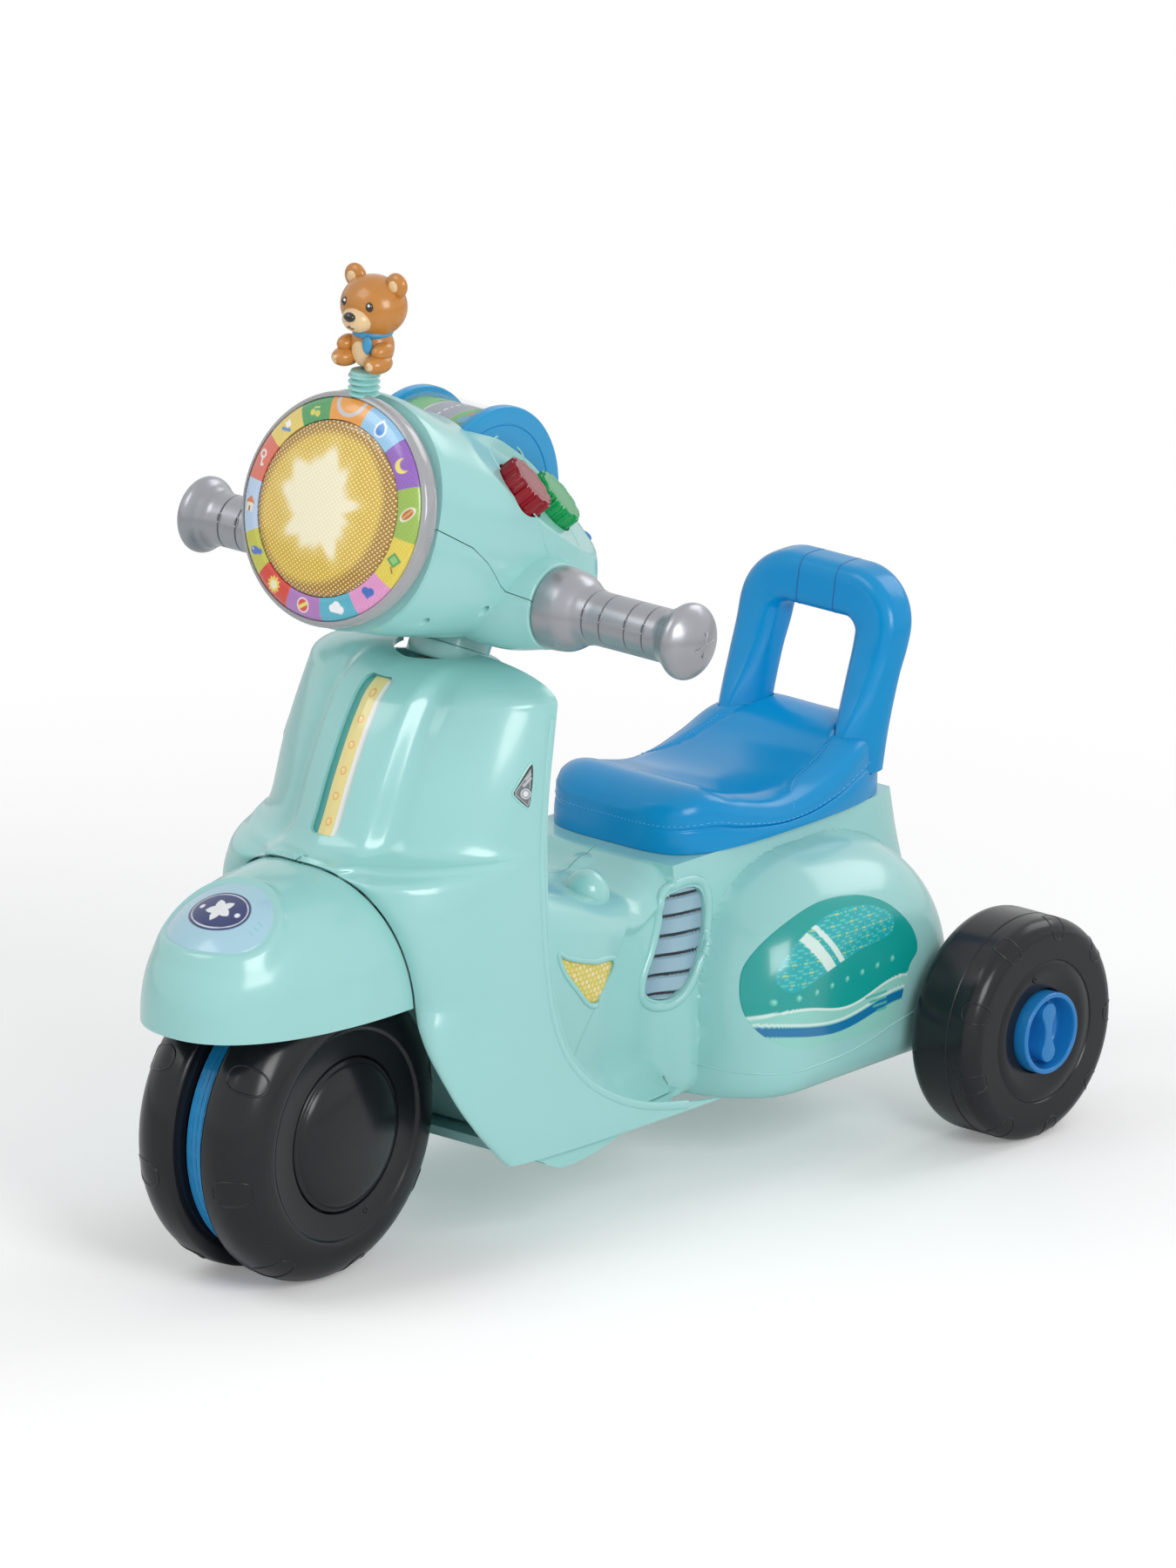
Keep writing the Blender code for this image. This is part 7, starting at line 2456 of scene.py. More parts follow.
    def build(self) -> None:
        """Make both mouldings and what is drawn on them."""
        surface = Surface(self.solid())
        for name, offset, mode in (("upper", self.split, "INTERSECT"), ("lower", -self.split, "DIFFERENCE")):
            cuts = [(self.socket(sign), "UNION") for sign in (1, -1)]
            if name == "lower":
                neck = lathe([(self.collar_top + 0.0003, 0.0),
                              (self.collar_top + 0.0003, self.collar_r - 0.002),
                              (0.0300, self.collar_r - 0.002), (0.0300, 0.0)], 96, "Z")
                clear = lathe([(-0.0300, 0.0), (-0.0300, self.collar_r + 0.001),
                               (self.collar_top + 0.0003, self.collar_r + 0.001),
                               (self.collar_top + 0.0003, 0.0)], 96, "Z")
                cuts = [(shift(neck, STEER_FRAME), "UNION"), (shift(clear, STEER_FRAME), "DIFFERENCE")] + cuts
            cuts.append((self.above(offset), mode))
            cuts.append((self.drum.well(), "DIFFERENCE"))
            cuts += [(self.bore(sign), "DIFFERENCE") for sign in (1, -1)]
            if name == "upper":
                cuts += [(self.panel.well(button), "DIFFERENCE") for button in self.panel.PLACES]
                cuts.append((ModeSwitch().recess(), "DIFFERENCE"))
            else:
                stem = lathe([(-0.05, 0.0), (-0.05, STEM_BORE), (0.0075, STEM_BORE), (0.0075, 0.0)], 48, "Z")
                cuts.append((shift(stem, STEER_FRAME), "DIFFERENCE"))
                cuts += [(self.screw_hole(*spot), "DIFFERENCE") for spot in self.SCREWS]
            shell = carve(self.solid(), cuts)
            berth = Berth(Body.STEERING, "mint_plastic", (f"head_{name}",))
            publish(f"head_shell_{name}", shell, Finishes.MINT, berth, 32.0)
        for side, sign in (("left", 1), ("right", -1)):
            self.panel_line(side, sign, surface)

    def panel_line(self, side: str, sign: int, surface: Surface) -> None:
        """The raised outline round the buttons."""
        turn = self.panel.NORMAL.to_track_quat("Z", "Y").to_matrix()

        def at(share: float) -> tuple[Vector, Vector]:
            """A point of the outline, dropped on to the head."""
            angle = math.tau * share
            flat = Vector((0.0225 * signed_power(math.cos(angle), 0.9),
                           0.0375 * signed_power(math.sin(angle), 0.9), 0.0))
            start = self.panel.CENTRE + turn @ flat + self.panel.NORMAL * 0.04
            start.x = max(start.x, 0.0355)
            hit, normal = surface.drop(start, -self.panel.NORMAL)
            return hit, normal

        line = bead(at, 120, 0.0012, 0.00030)
        publish(f"panel_line_{side}", on_side(line, sign), Finishes.MINT,
                Berth(Body.STEERING, "mint_plastic"), 60.0)


@dataclass
class ModeSwitch:
    """The small blue knob that slides in a recess facing the rider."""

    place_at: tuple[float, float, float] = (0.0350, -0.0120, 0.3590)
    lean: float = math.radians(55.0)
    radius: float = 0.0045
    travel: float = 0.0240

    def local(self) -> Matrix:
        """Where the switch stands, its Z axis out of the head."""
        return Matrix.Translation(self.place_at) @ Matrix.Rotation(-self.lean, 4, "X")

    def recess(self) -> bmesh.types.BMesh:
        """The solid that cuts the recess."""
        reach = self.radius + 0.0006
        run = self.travel + reach
        outline = [(reach * math.cos(math.radians(a)), reach * math.sin(math.radians(a)))
                   for a in range(-90, 91, 15)]
        outline += [(-run + reach + reach * math.cos(math.radians(a)), reach * math.sin(math.radians(a)))
                    for a in range(90, 271, 15)]
        return shift(prism(outline, 0.0, 0.03, "Z"), self.local())

    def build(self) -> None:
        """Make the knob with its ridged rim."""
        profile = [(0.0003, 0.0), (0.0003, self.radius), (0.0030, self.radius),
                   (0.0034, self.radius - 0.0004),
                   (0.0038, self.radius), (0.0070, self.radius - 0.0002), (0.0085, self.radius - 0.0006)]
        profile += arc((0.0080, self.radius - 0.0022), 0.0018, 60, 0, 5) + [(0.0096, 0.0)]
        knob = shift(lathe(profile, 40, "Z"), self.local())
        publish("slide_knob", knob, Finishes.KNOB_BLUE,
                Berth(Body.SWITCH, "knob_plastic", ("mode_switch",)), 40.0)


@dataclass
class NeckCollar:
    """The collar on the steering stem under the head."""

    radius: float = COLLAR_R
    top: float = COLLAR_TOP

    def build(self) -> None:
        """Make the collar."""
        profile = [(-0.0045, STEM_BORE), (-0.0045, self.radius - 0.0012), (-0.0040, self.radius - 0.0004),
                   (-0.0033, self.radius), (self.top - 0.0006, self.radius), (self.top, self.radius - 0.0006),
                   (self.top, STEM_BORE)]
        collar = shift(lathe(profile, 96, "Z"), STEER_FRAME)
        publish("stem_collar", collar, Finishes.MINT,
                Berth(Body.STEERING, "mint_plastic", ("neck_collar",)), 40.0)


@dataclass
class Grips:
    """The two silver grips with their ring lines, dimples and crossed ends."""

    socket_x: float = SOCKET_X
    socket_r: float = SOCKET_R
    end_x: float = 0.1775
    boss_r: float = 0.0218
    shaft_r: float = 0.0143
    knob_r: float = 0.0205
    spigot_r: float = 0.0100
    spigot: float = 0.0300

    # Where the ring lines stand along X.
    LINES = (0.1045, 0.1160, 0.1330, 0.1450)

    def outline(self) -> Profile:
        """The grip's profile from its spigot to its end."""
        start = self.socket_x + 0.0003
        key = [(0.0, self.socket_r - 0.0020), (0.0006, self.socket_r - 0.0012),
               (0.0020, self.socket_r - 0.0009),
               (0.0060, self.boss_r + 0.0004), (0.010, self.boss_r), (0.0135, self.boss_r - 0.0006),
               (0.0165, self.boss_r - 0.0018), (0.0195, self.boss_r - 0.0035), (0.0225, self.boss_r - 0.0055),
               (0.0258, self.shaft_r + 0.0010), (0.0290, self.shaft_r + 0.0003), (0.0330, self.shaft_r),
               (0.0740, self.shaft_r), (0.0765, self.shaft_r + 0.0001), (0.0785, self.shaft_r + 0.0007),
               (0.0805, self.shaft_r + 0.0020), (0.0830, self.knob_r - 0.0030),
               (0.0850, self.knob_r - 0.0014),
               (0.0872, self.knob_r - 0.0002), (0.0890, self.knob_r), (0.0908, self.knob_r - 0.0003),
               (0.0930, self.knob_r - 0.0018), (0.0955, self.knob_r - 0.0048), (0.0975, self.knob_r - 0.0080),
               (0.0993, self.knob_r - 0.0124), (0.1005, self.knob_r - 0.0160), (0.1014, 0.0)]
        table = [(start + along, radius) for along, radius in key]
        points = [(self.socket_x - self.spigot, 0.0), (self.socket_x - self.spigot, self.spigot_r),
                  (start, self.spigot_r)]
        marks = sorted({round(start + 0.0002 + 0.00085 * step, 5) for step in range(120)}
                       | {x + d for x in self.LINES for d in (-0.0006, -0.00025, 0.00025, 0.0006)})
        for x in [start] + [mark for mark in marks if mark < self.end_x - 0.0004]:
            radius = interpolate(table, x)
            groove = any(abs(x - line) < 0.0003 for line in self.LINES)
            points.append((x, radius - (0.00070 if groove else 0.0)))
        return points + [(self.end_x, 0.0)]

    def build(self) -> None:
        """Make both grips."""
        facing = Vector((0.0, -0.924, 0.383))
        for side, sign in (("left", 1), ("right", -1)):
            parts = [lathe(self.outline(), 112)]
            cross = []
            for x in self.LINES:
                for turn in (0.0, math.pi):
                    out = Matrix.Rotation(turn, 3, "X") @ facing
                    size = self.shaft_r if x > 0.11 else self.shaft_r + 0.0003
                    path_out = out.copy()

                    def at(share: float, x: float = x, out: Vector = path_out,
                           size: float = size) -> tuple[Vector, Vector]:
                        """A point of one dimple's rim."""
                        angle = math.tau * share
                        spin = Matrix.Rotation(0.0026 / size * math.sin(angle), 3, "X")
                        here = spin @ out
                        return Vector((x + 0.0010 * math.cos(angle), 0.0, 0.0)) + here * size, here

                    parts.append(bead(at, 28, 0.0008, 0.00045))
            for turn in (0.25, 1.35):
                bar = ball(0.5, (0.0016, 0.0150, 0.0015), segments=14, rings=8)
                bar = shift(bar, Matrix.Rotation(turn, 4, "X"))
                cross.append(shift(bar, Matrix.Translation((self.end_x - 0.00075, 0.0, 0.0))))
            parts += cross
            grip = join(parts)
            grip = shift(on_side(grip, sign), Matrix.Translation(BAR))
            publish(f"grip_shell_{side}", grip, Finishes.SILVER,
                    Berth(Body.STEERING, "silver_plastic", (f"grip_{side}",)), 38.0)
            # Painted shade: dark rings laid in the ring grooves stand for the grooves' shade.
            lines = []
            for x in self.LINES:

                def ring(share: float, x: float = x) -> tuple[Vector, Vector]:
                    """A point of one ring line."""
                    angle = math.tau * share
                    out = Vector((0.0, math.sin(angle), math.cos(angle)))
                    size = interpolate([(0.10, self.shaft_r + 0.0003), (0.11, self.shaft_r)], x)
                    return Vector((x, 0.0, 0.0)) + out * (size - 0.0005), out

                lines.append(bead(ring, 90, 0.0007, 0.00012))
            fill = join(lines)
            fill = shift(on_side(fill, sign), Matrix.Translation(BAR))
            publish(f"grip_lines_{side}", fill, Finishes.GROOVE_SHADE,
                    Berth(Body.STEERING, "silver_plastic"), 50.0)


@dataclass
class Lamp:
    """The round lamp: frosted rim, printed ring of little pictures and a dotted amber lens."""

    y: float = LAMP_Y
    z: float = LAMP_Z
    tilt: float = LAMP_TILT
    lens_r: float = 0.0463
    bezel_r: float = 0.0620
    depth: float = BEZEL_DEPTH
    dome: float = 0.0045
    bear_y: float = BEAR_Y
    neck_z: float = NECK_Z

    def local(self) -> Matrix:
        """Where the lamp stands, its Z axis out of the lens and its Y axis up."""
        return Matrix.Translation((0.0, self.y, self.z)) @ Matrix.Rotation(math.pi / 2 - self.tilt, 4, "X")

    def build(self) -> None:
        """Make the rim, the ring and the lens."""
        self.rim()
        self.ring()
        self.lens()

    def rim(self) -> None:
        """The frosted rim with its rear lines and the notch for the bear's neck."""
        back = -self.depth
        profile = [(back, 0.0), (back, self.bezel_r - 0.0070)]
        profile += arc((back + 0.0018, self.bezel_r - 0.0060), 0.0018, 210, 120, 5)
        profile += [(back + 0.0040, self.bezel_r - 0.0016), (back + 0.0064, self.bezel_r - 0.0006),
                    (back + 0.0068, self.bezel_r - 0.0010), (back + 0.0072, self.bezel_r - 0.0004),
                    (back + 0.0084, self.bezel_r), (back + 0.0094, self.bezel_r)]
        profile += arc((-0.0052, self.bezel_r - 0.0040), 0.0040, 80, 40, 8)
        profile += [(-0.0018, self.bezel_r - 0.0022), (-0.0014, self.bezel_r - 0.0030),
                    (-0.0028, self.bezel_r - 0.0034),
                    (-0.0028, self.lens_r + 0.0003), (-0.0120, self.lens_r + 0.0003), (-0.0120, 0.0)]
        notch = lathe([(-0.0065, 0.0), (-0.0065, 0.0066), (0.0010, 0.0066), (0.0200, 0.0100),
                       (0.0200, 0.0)], 64, "Z")
        notch = shift(notch, Matrix.Translation((0.0, self.bear_y, self.neck_z)))
        rim = carve(shift(lathe(profile, 160, "Z"), self.local()), [(notch, "DIFFERENCE")])
        publish("lamp_rim", rim, Finishes.RIM, Berth(Body.STEERING, "clear_rim", ("lamp_bezel",)), 35.0)

    def ring_height(self, radius: float) -> float:
        """Height of the printed ring at a distance from the lamp's axis."""
        return interpolate([(self.lens_r, 0.0026), (self.lens_r + 0.0035, 0.0023),
                            (self.bezel_r - 0.0062, 0.0006),
                            (self.bezel_r - 0.0042, -0.0010), (self.bezel_r - 0.0034, -0.0020)], radius)

    def ring(self) -> None:
        """The ring of coloured fields, each with a plain little picture."""
        inner, outer = self.lens_r + 0.0003, self.bezel_r - 0.0036
        local = self.local()

        def layout(a: float, b: float) -> tuple[float, float]:
            """A place on the ring from its turn and its share of the width."""
            radius = inner + (outer - inner) * b
            return radius * math.sin(math.tau * a), radius * math.cos(math.tau * a)

        def lift(p: float, q: float) -> Vector:
            """A point of the ring, sloped towards the rim."""
            return local @ Vector((p, q, self.ring_height(math.hypot(p, q))))

        # Painted glow: the ring's film emits its printed colours.
        sheet = printed("lamp_pictures", (760, 30), layout, lift, self.pictures, Finishes.RING_FILM,
                        Berth(Body.STEERING, "print", ("lamp_ring",)),
                        lambda co: co - (local.to_3x3() @ Vector((0.0, 0.0, 0.0024))))
        LOG.info("%s: ring from %.4f to %.4f", sheet.name, inner, outer)

    def pictures(self, p: np.ndarray, q: np.ndarray) -> Canvas:
        """Paint the ring's fields and pictures.

        Args:
            p: each point's place across the lamp.
            q: each point's place up the lamp.

        Returns:
            The painted canvas.
        """
        fields = [(-13, 13, (0.780, 0.330, 0.060)), (13, 40, (0.300, 0.560, 0.800)),
                  (40, 67, (0.270, 0.120, 0.480)),
                  (67, 97, (0.300, 0.470, 0.080)), (97, 124, (0.720, 0.580, 0.080)),
                  (124, 148, (0.720, 0.300, 0.560)), (148, 172, (0.090, 0.430, 0.560)),
                  (172, 197, (0.420, 0.190, 0.500)), (197, 222, (0.660, 0.060, 0.040)),
                  (222, 246, (0.560, 0.560, 0.080)), (246, 276, (0.480, 0.620, 0.820)),
                  (276, 302, (0.700, 0.170, 0.120)), (302, 326, (0.760, 0.600, 0.160)),
                  (326, 347, (0.080, 0.330, 0.120))]
        canvas = Canvas(p, q, fields[0][2], 0.00030)
        turn = np.degrees(np.arctan2(p, q)) % 360.0
        radius = np.hypot(p, q)
        for start, end, colour in fields:
            middle, half = (start + end) / 2, (end - start) / 2
            off = np.abs((turn - middle + 180.0) % 360.0 - 180.0)
            canvas.lay((off - half) * math.radians(1.0) * radius, colour)
            weave = np.sin(p * 2600.0 + q * 900.0) * np.sin(q * 2200.0 - p * 700.0)
            pale = tuple(min(1.0, part * 1.25 + 0.03) for part in colour)
            canvas.lay(np.maximum((off - half) * 0.0009, np.where(weave > 0.45, -0.001, 0.001)), pale, 0.45)
        reach = (self.lens_r + self.bezel_r - 0.0036) / 2
        drawers = [None, self.draw_drop, self.draw_moon, self.draw_leaf, self.draw_kite, self.draw_heart,
                   self.draw_cloud, self.draw_ball, self.draw_sun, self.draw_fish, self.draw_house,
                   self.draw_key, self.draw_boat, self.draw_berry]
        for (start, end, _), draw in zip(fields, drawers):
            if draw is not None:
                middle = math.radians((start + end) / 2)
                x, y = reach * math.sin(middle), reach * math.cos(middle)
                large = Canvas(x + (p - x) / 1.32, y + (q - y) / 1.32, fields[0][2], canvas.edge)
                large.ink = canvas.ink
                draw(large, x, y)
                canvas.ink = large.ink
        top = np.hypot(p, q - (self.bezel_r - 0.0035))
        canvas.lay(np.abs(top - 0.0088) - 0.0011, (0.55, 0.56, 0.58))
        return canvas

    def draw_drop(self, canvas: Canvas, x: float, y: float) -> None:
        """A rain drop."""
        canvas.disc(x, y - 0.0006, 0.0028, (0.86, 0.90, 0.94))
        canvas.bar(x, y + 0.0012, 0.0019, 0.0019, (0.86, 0.90, 0.94), 45.0, 0.0003)
        canvas.disc(x, y - 0.0006, 0.0020, (0.050, 0.260, 0.640))
        canvas.bar(x, y + 0.0009, 0.0013, 0.0013, (0.050, 0.260, 0.640), 45.0, 0.0002)

    def draw_moon(self, canvas: Canvas, x: float, y: float) -> None:
        """A crescent moon."""
        canvas.disc(x, y, 0.0031, (0.840, 0.700, 0.180))
        canvas.disc(x + 0.0014, y + 0.0010, 0.0026, (0.270, 0.120, 0.480))

    def draw_leaf(self, canvas: Canvas, x: float, y: float) -> None:
        """A veined leaf."""
        canvas.disc(x, y, 0.0020, (0.85, 0.88, 0.70), 1.9, 50.0)
        canvas.disc(x, y, 0.0016, (0.520, 0.150, 0.030), 1.9, 50.0)
        canvas.bar(x, y, 0.0030, 0.00018, (0.80, 0.60, 0.30), 50.0)

    def draw_kite(self, canvas: Canvas, x: float, y: float) -> None:
        """A kite with its tail."""
        canvas.bar(x, y + 0.0006, 0.0022, 0.0022, (0.080, 0.300, 0.110), 45.0)
        canvas.bar(x, y + 0.0006, 0.0014, 0.0014, (0.250, 0.560, 0.160), 45.0)
        canvas.bar(x - 0.0005, y - 0.0034, 0.0003, 0.0014, (0.250, 0.120, 0.040), 20.0)

    def draw_heart(self, canvas: Canvas, x: float, y: float) -> None:
        """A heart."""
        for side in (-1, 1):
            canvas.disc(x + side * 0.0012, y + 0.0008, 0.0016, (0.060, 0.160, 0.520))
        canvas.bar(x, y - 0.0002, 0.0015, 0.0015, (0.060, 0.160, 0.520), 45.0)

    def draw_cloud(self, canvas: Canvas, x: float, y: float) -> None:
        """A cloud."""
        for dx, dy, size in ((-0.0020, -0.0004, 0.0014), (0.0, 0.0006, 0.0020), (0.0021, -0.0003, 0.0015)):
            canvas.disc(x + dx, y + dy, size, (0.88, 0.90, 0.92))
        canvas.bar(x, y - 0.0013, 0.0030, 0.0007, (0.88, 0.90, 0.92), corner=0.0006)

    def draw_ball(self, canvas: Canvas, x: float, y: float) -> None:
        """A striped ball."""
        canvas.disc(x, y, 0.0030, (0.88, 0.86, 0.84))
        canvas.disc(x, y, 0.0025, (0.700, 0.080, 0.060))
        canvas.bar(x, y, 0.0024, 0.0007, (0.860, 0.700, 0.160), 30.0)

    def draw_sun(self, canvas: Canvas, x: float, y: float) -> None:
        """A sun with short rays."""
        canvas.star(x, y, 0.0037, (0.860, 0.660, 0.120), 11, 0.34)
        canvas.disc(x, y, 0.0018, (0.880, 0.840, 0.560))

    def draw_fish(self, canvas: Canvas, x: float, y: float) -> None:
        """A fish."""
        canvas.disc(x, y, 0.0017, (0.110, 0.200, 0.560), 1.5)
        canvas.bar(x + 0.0030, y, 0.0011, 0.0011, (0.110, 0.200, 0.560), 45.0)
        canvas.disc(x - 0.0013, y + 0.0004, 0.0004, (0.90, 0.91, 0.92))

    def draw_house(self, canvas: Canvas, x: float, y: float) -> None:
        """A house with a door."""
        canvas.bar(x, y + 0.0010, 0.0019, 0.0019, (0.660, 0.200, 0.060), 45.0)
        canvas.bar(x, y - 0.0009, 0.0019, 0.0017, (0.86, 0.80, 0.62))
        canvas.bar(x, y - 0.0015, 0.0005, 0.0010, (0.300, 0.130, 0.050))

    def draw_key(self, canvas: Canvas, x: float, y: float) -> None:
        """A key."""
        canvas.ring(x, y + 0.0017, 0.0014, 0.0008, (0.86, 0.84, 0.80))
        canvas.bar(x, y - 0.0012, 0.0004, 0.0020, (0.86, 0.84, 0.80))
        canvas.bar(x + 0.0007, y - 0.0026, 0.0007, 0.0004, (0.86, 0.84, 0.80))

    def draw_boat(self, canvas: Canvas, x: float, y: float) -> None:
        """A little boat."""
        canvas.bar(x, y - 0.0014, 0.0026, 0.0007, (0.120, 0.280, 0.560), corner=0.0005)
        canvas.bar(x + 0.0003, y + 0.0009, 0.0013, 0.0013, (0.90, 0.91, 0.90), 45.0)

    def draw_berry(self, canvas: Canvas, x: float, y: float) -> None:
        """Two berries on a stalk."""
        for dx in (-0.0013, 0.0013):
            canvas.disc(x + dx, y - 0.0010, 0.0013, (0.700, 0.640, 0.120))
        canvas.bar(x, y + 0.0013, 0.0014, 0.0003, (0.700, 0.700, 0.300), 15.0)

    def lens(self) -> None:
        """The domed amber lens with its painted glow and its fine dots."""
        local = self.local()
        reach = self.lens_r - 0.0002

        def layout(a: float, b: float) -> tuple[float, float]:
            """A place on the lens from its turn and its share of the radius."""
            return reach * b * math.sin(math.tau * a), reach * b * math.cos(math.tau * a)

        def lift(p: float, q: float) -> Vector:
            """A point of the domed lens."""
            share = min(1.0, math.hypot(p, q) / reach)
            rim = smoothstep(1.0, 0.955, share)
            return local @ Vector((p, q, 0.0022 + 0.0008 * rim + self.dome * (1.0 - share * share)))

        def paint(p: np.ndarray, q: np.ndarray) -> Canvas:
            """Painted light on amber: a pale star with a soft halo, and painted shade that darkens the rim,
            most towards one side.
            """
            radius = np.hypot(p, q) / reach
            canvas = Canvas(p, q, (0.640, 0.420, 0.045))
            turn = np.arctan2(p, q)
            wave = (0.50 + 0.05 * np.cos(2.0 * turn + 0.8) + 0.05 * np.cos(5.0 * turn - 0.4)
                    + 0.045 * np.cos(9.0 * turn + 1.0) + 0.03 * np.cos(14.0 * turn))
            shifted = np.hypot(p + 0.004, q - 0.002) / reach
            # Painted light: a soft halo and a pale star, a little off the middle.
            canvas.edge = 0.012
            canvas.lay((shifted - wave - 0.06) * reach, (0.780, 0.600, 0.190), 0.8)
            canvas.edge = 0.005
            canvas.lay((shifted - wave) * reach, (0.860, 0.790, 0.560))
            # Painted shade: the dark rim is widest towards one side.
            lower = 0.15 * np.maximum(0.0, np.cos(turn - 2.05))
            upper = 0.07 * np.maximum(0.0, np.cos(turn + 0.3))
            shade = 0.930 - lower - upper
            canvas.edge = 0.004
            canvas.lay((shade - radius) * reach, (0.330, 0.160, 0.022), 0.90)
            canvas.edge = 0.0006
            canvas.lay((0.975 - radius) * reach, (0.300, 0.150, 0.030))
            return canvas

        printed("lamp_glass", (220, 70), layout, lift, paint, Finishes.LENS,
                Berth(Body.STEERING, "lens_plastic", ("lamp_lens",)),
                lambda co: co - (local.to_3x3() @ Vector((0.0, 0.0, 0.0040))))


@dataclass
class Bear:
    """A plain toy bear with a scarf, sitting on a ribbed bendy neck."""

    y: float = BEAR_Y
    base_z: float = NECK_Z
    neck_top: float = 0.4785
    neck_r: float = 0.0085
    back: float = 0.0070
    head_z: float = 0.5120
    head_r: float = 0.0195

    def build(self) -> None:
        """Make the neck, the body, the head, the face and the scarf."""
        place = Matrix.Translation((0.0, self.y, self.base_z))
        self.neck(place)
        up = self.neck_top - self.base_z + 0.0003
        torso = ball(0.0125, (1.0, 0.85, 1.02), (0.0, self.back - 0.001, up + 0.0115), 48, 32)
        bmesh.ops.bisect_plane(torso, geom=torso.verts[:] + torso.edges[:] + torso.faces[:],
                               plane_co=(0, 0, up), plane_no=(0, 0, -1), clear_outer=True)
        fill_rims(torso)
        limbs = []
        for sign in (1, -1):
            leg = (sign * 0.0110, self.back - 0.0090, up + 0.0056)
            arm = (sign * 0.0118, self.back - 0.0065, up + 0.0120)
            limbs.append(ball(0.0066, (1.0, 1.35, 0.8), leg, 36, 24))
            limbs.append(ball(0.0048, (1.0, 1.5, 1.0), arm, 36, 24))
        body = carve(point_out(torso), [(limb, "UNION") for limb in limbs])
        publish("teddy_body", shift(body, place), Finishes.BEAR_TAN,
                Berth(Body.BEAR, "bear_brown", ("bear_body",)), 60.0)
        self.head(place, up)
        self.details(place, up)

    def neck(self, place: Matrix) -> None:
        """The ribbed neck on its round foot."""
        profile = [(-0.0060, 0.0)] + arc((0.0, 0.0), 0.0060, 165, 75, 10)
        length = self.neck_top - self.base_z
        for index in range(61):
            along = 0.0022 + (length - 0.0042) * index / 60
            wave = 0.5 + 0.5 * math.cos((along - 0.0058) / 0.0033 * math.tau)
            swell = smoothstep(0.0030, 0.0060, along)
            profile.append((along, 0.0056 + (self.neck_r - 0.0056) * wave ** 0.8 * swell))
        profile += [(length - 0.0012, 0.0076), (length, 0.0070), (length, 0.0)]
        neck = shift(lathe(profile, 64, "Z"), place)
        publish("bendy_neck", neck, Finishes.MINT_SATIN, Berth(Body.BEAR, "mint_plastic", ("bear_neck",)),
                50.0)

    def head(self, place: Matrix, up: float) -> None:
        """The head with its ears."""
        level = self.head_z - self.base_z
        skull = ball(self.head_r, (0.96, 0.82, 0.84), (0.0, self.back, level), 64, 44)
        adds = [(ball(0.0080, (1.1, 0.9, 0.85), (0.0, self.back - 0.0125, level - 0.0045), 40, 28), "UNION")]
        for sign in (1, -1):
            ear = (sign * 0.0140, self.back + 0.0015, level + 0.0130)
            adds.append((ball(0.0068, (1.0, 0.55, 1.0), ear, 40, 28), "UNION"))
        head = carve(skull, adds)
        publish("teddy_head", shift(head, place), Finishes.BEAR_TAN,
                Berth(Body.BEAR, "bear_brown", ("bear_head",)), 60.0)

    def details(self, place: Matrix, up: float) -> None:
        """Muzzle, nose, eyes, ear pads, belly patch, paw pads and scarf."""
        level = self.head_z - self.base_z
        front = self.back
        cream = [ball(0.0080, (1.12, 0.92, 0.87), (0.0, front - 0.0128, level - 0.0047), 40, 28),
                 ball(0.0088, (0.80, 0.40, 0.90), (0.0, front - 0.0086, up + 0.0100), 32, 22)]
        dark = [ball(0.0029, (1.25, 0.8, 0.9), (0.0, front - 0.0196, level - 0.0022), 28, 18)]
        white, pads = [], []
        for sign in (1, -1):
            ear = (sign * 0.0141, front - 0.0008, level + 0.0131)
            paw = (sign * 0.0112, front - 0.0162, up + 0.0056)
            eye = (sign * 0.0082, front - 0.0134, level + 0.0034)
            glint = (sign * 0.0082 + 0.0007, front - 0.0148, level + 0.0046)
            pads.append(ball(0.0040, (0.9, 0.5, 0.9), ear, 28, 18))
            pads.append(ball(0.0034, (0.9, 0.5, 0.75), paw, 24, 16))
            dark.append(ball(0.0027, (0.85, 0.6, 1.0), eye, 28, 18))
            white.append(ball(0.0008, (1.0, 0.7, 1.0), glint, 14, 10))
        smile = []
        for sign in (1, -1):

            def curve(share: float, sign: int = sign) -> tuple[Vector, Vector]:
                """A point of the smile's line."""
                angle = math.radians(-90.0 + 100.0 * share)
                spot = Vector((sign * (0.0022 + 0.0022 * math.sin(angle)), front - 0.0200 + 0.0012 * share,
                               level - 0.0068 - 0.0016 * math.cos(angle)))
                return spot, Vector((0.0, -1.0, 0.0))

            smile.append(bead(curve, 14, 0.0006, 0.0003, closed=False))
        dark += smile
        for name, parts, finish in (("teddy_cream", cream, Finishes.BEAR_CREAM),
                                    ("teddy_dark", dark, Finishes.BEAR_DARK),
                                    ("teddy_glints", white, Finishes.WHITE),
                                    ("teddy_pads", pads, Finishes.BEAR_CREAM)):
            publish(name, shift(join(parts), place), finish, Berth(Body.BEAR, "bear_brown"), 60.0)
        collar = lathe([(up + 0.0170, 0.0080), (up + 0.0180, 0.0104), (up + 0.0200, 0.0112),
                        (up + 0.0216, 0.0104),
                        (up + 0.0222, 0.0080)], 64, "Z")
        collar = shift(collar, Matrix.Translation((0.0, front - 0.0006, 0.0)))
        tail = ball(0.5, (0.0064, 0.0030, 0.0100), (0.0052, front - 0.0112, up + 0.0150), 24, 16)
        publish("teddy_scarf", shift(join([collar, tail]), place), Finishes.SCARF,
                Berth(Body.BEAR, "bear_brown"), 50.0)


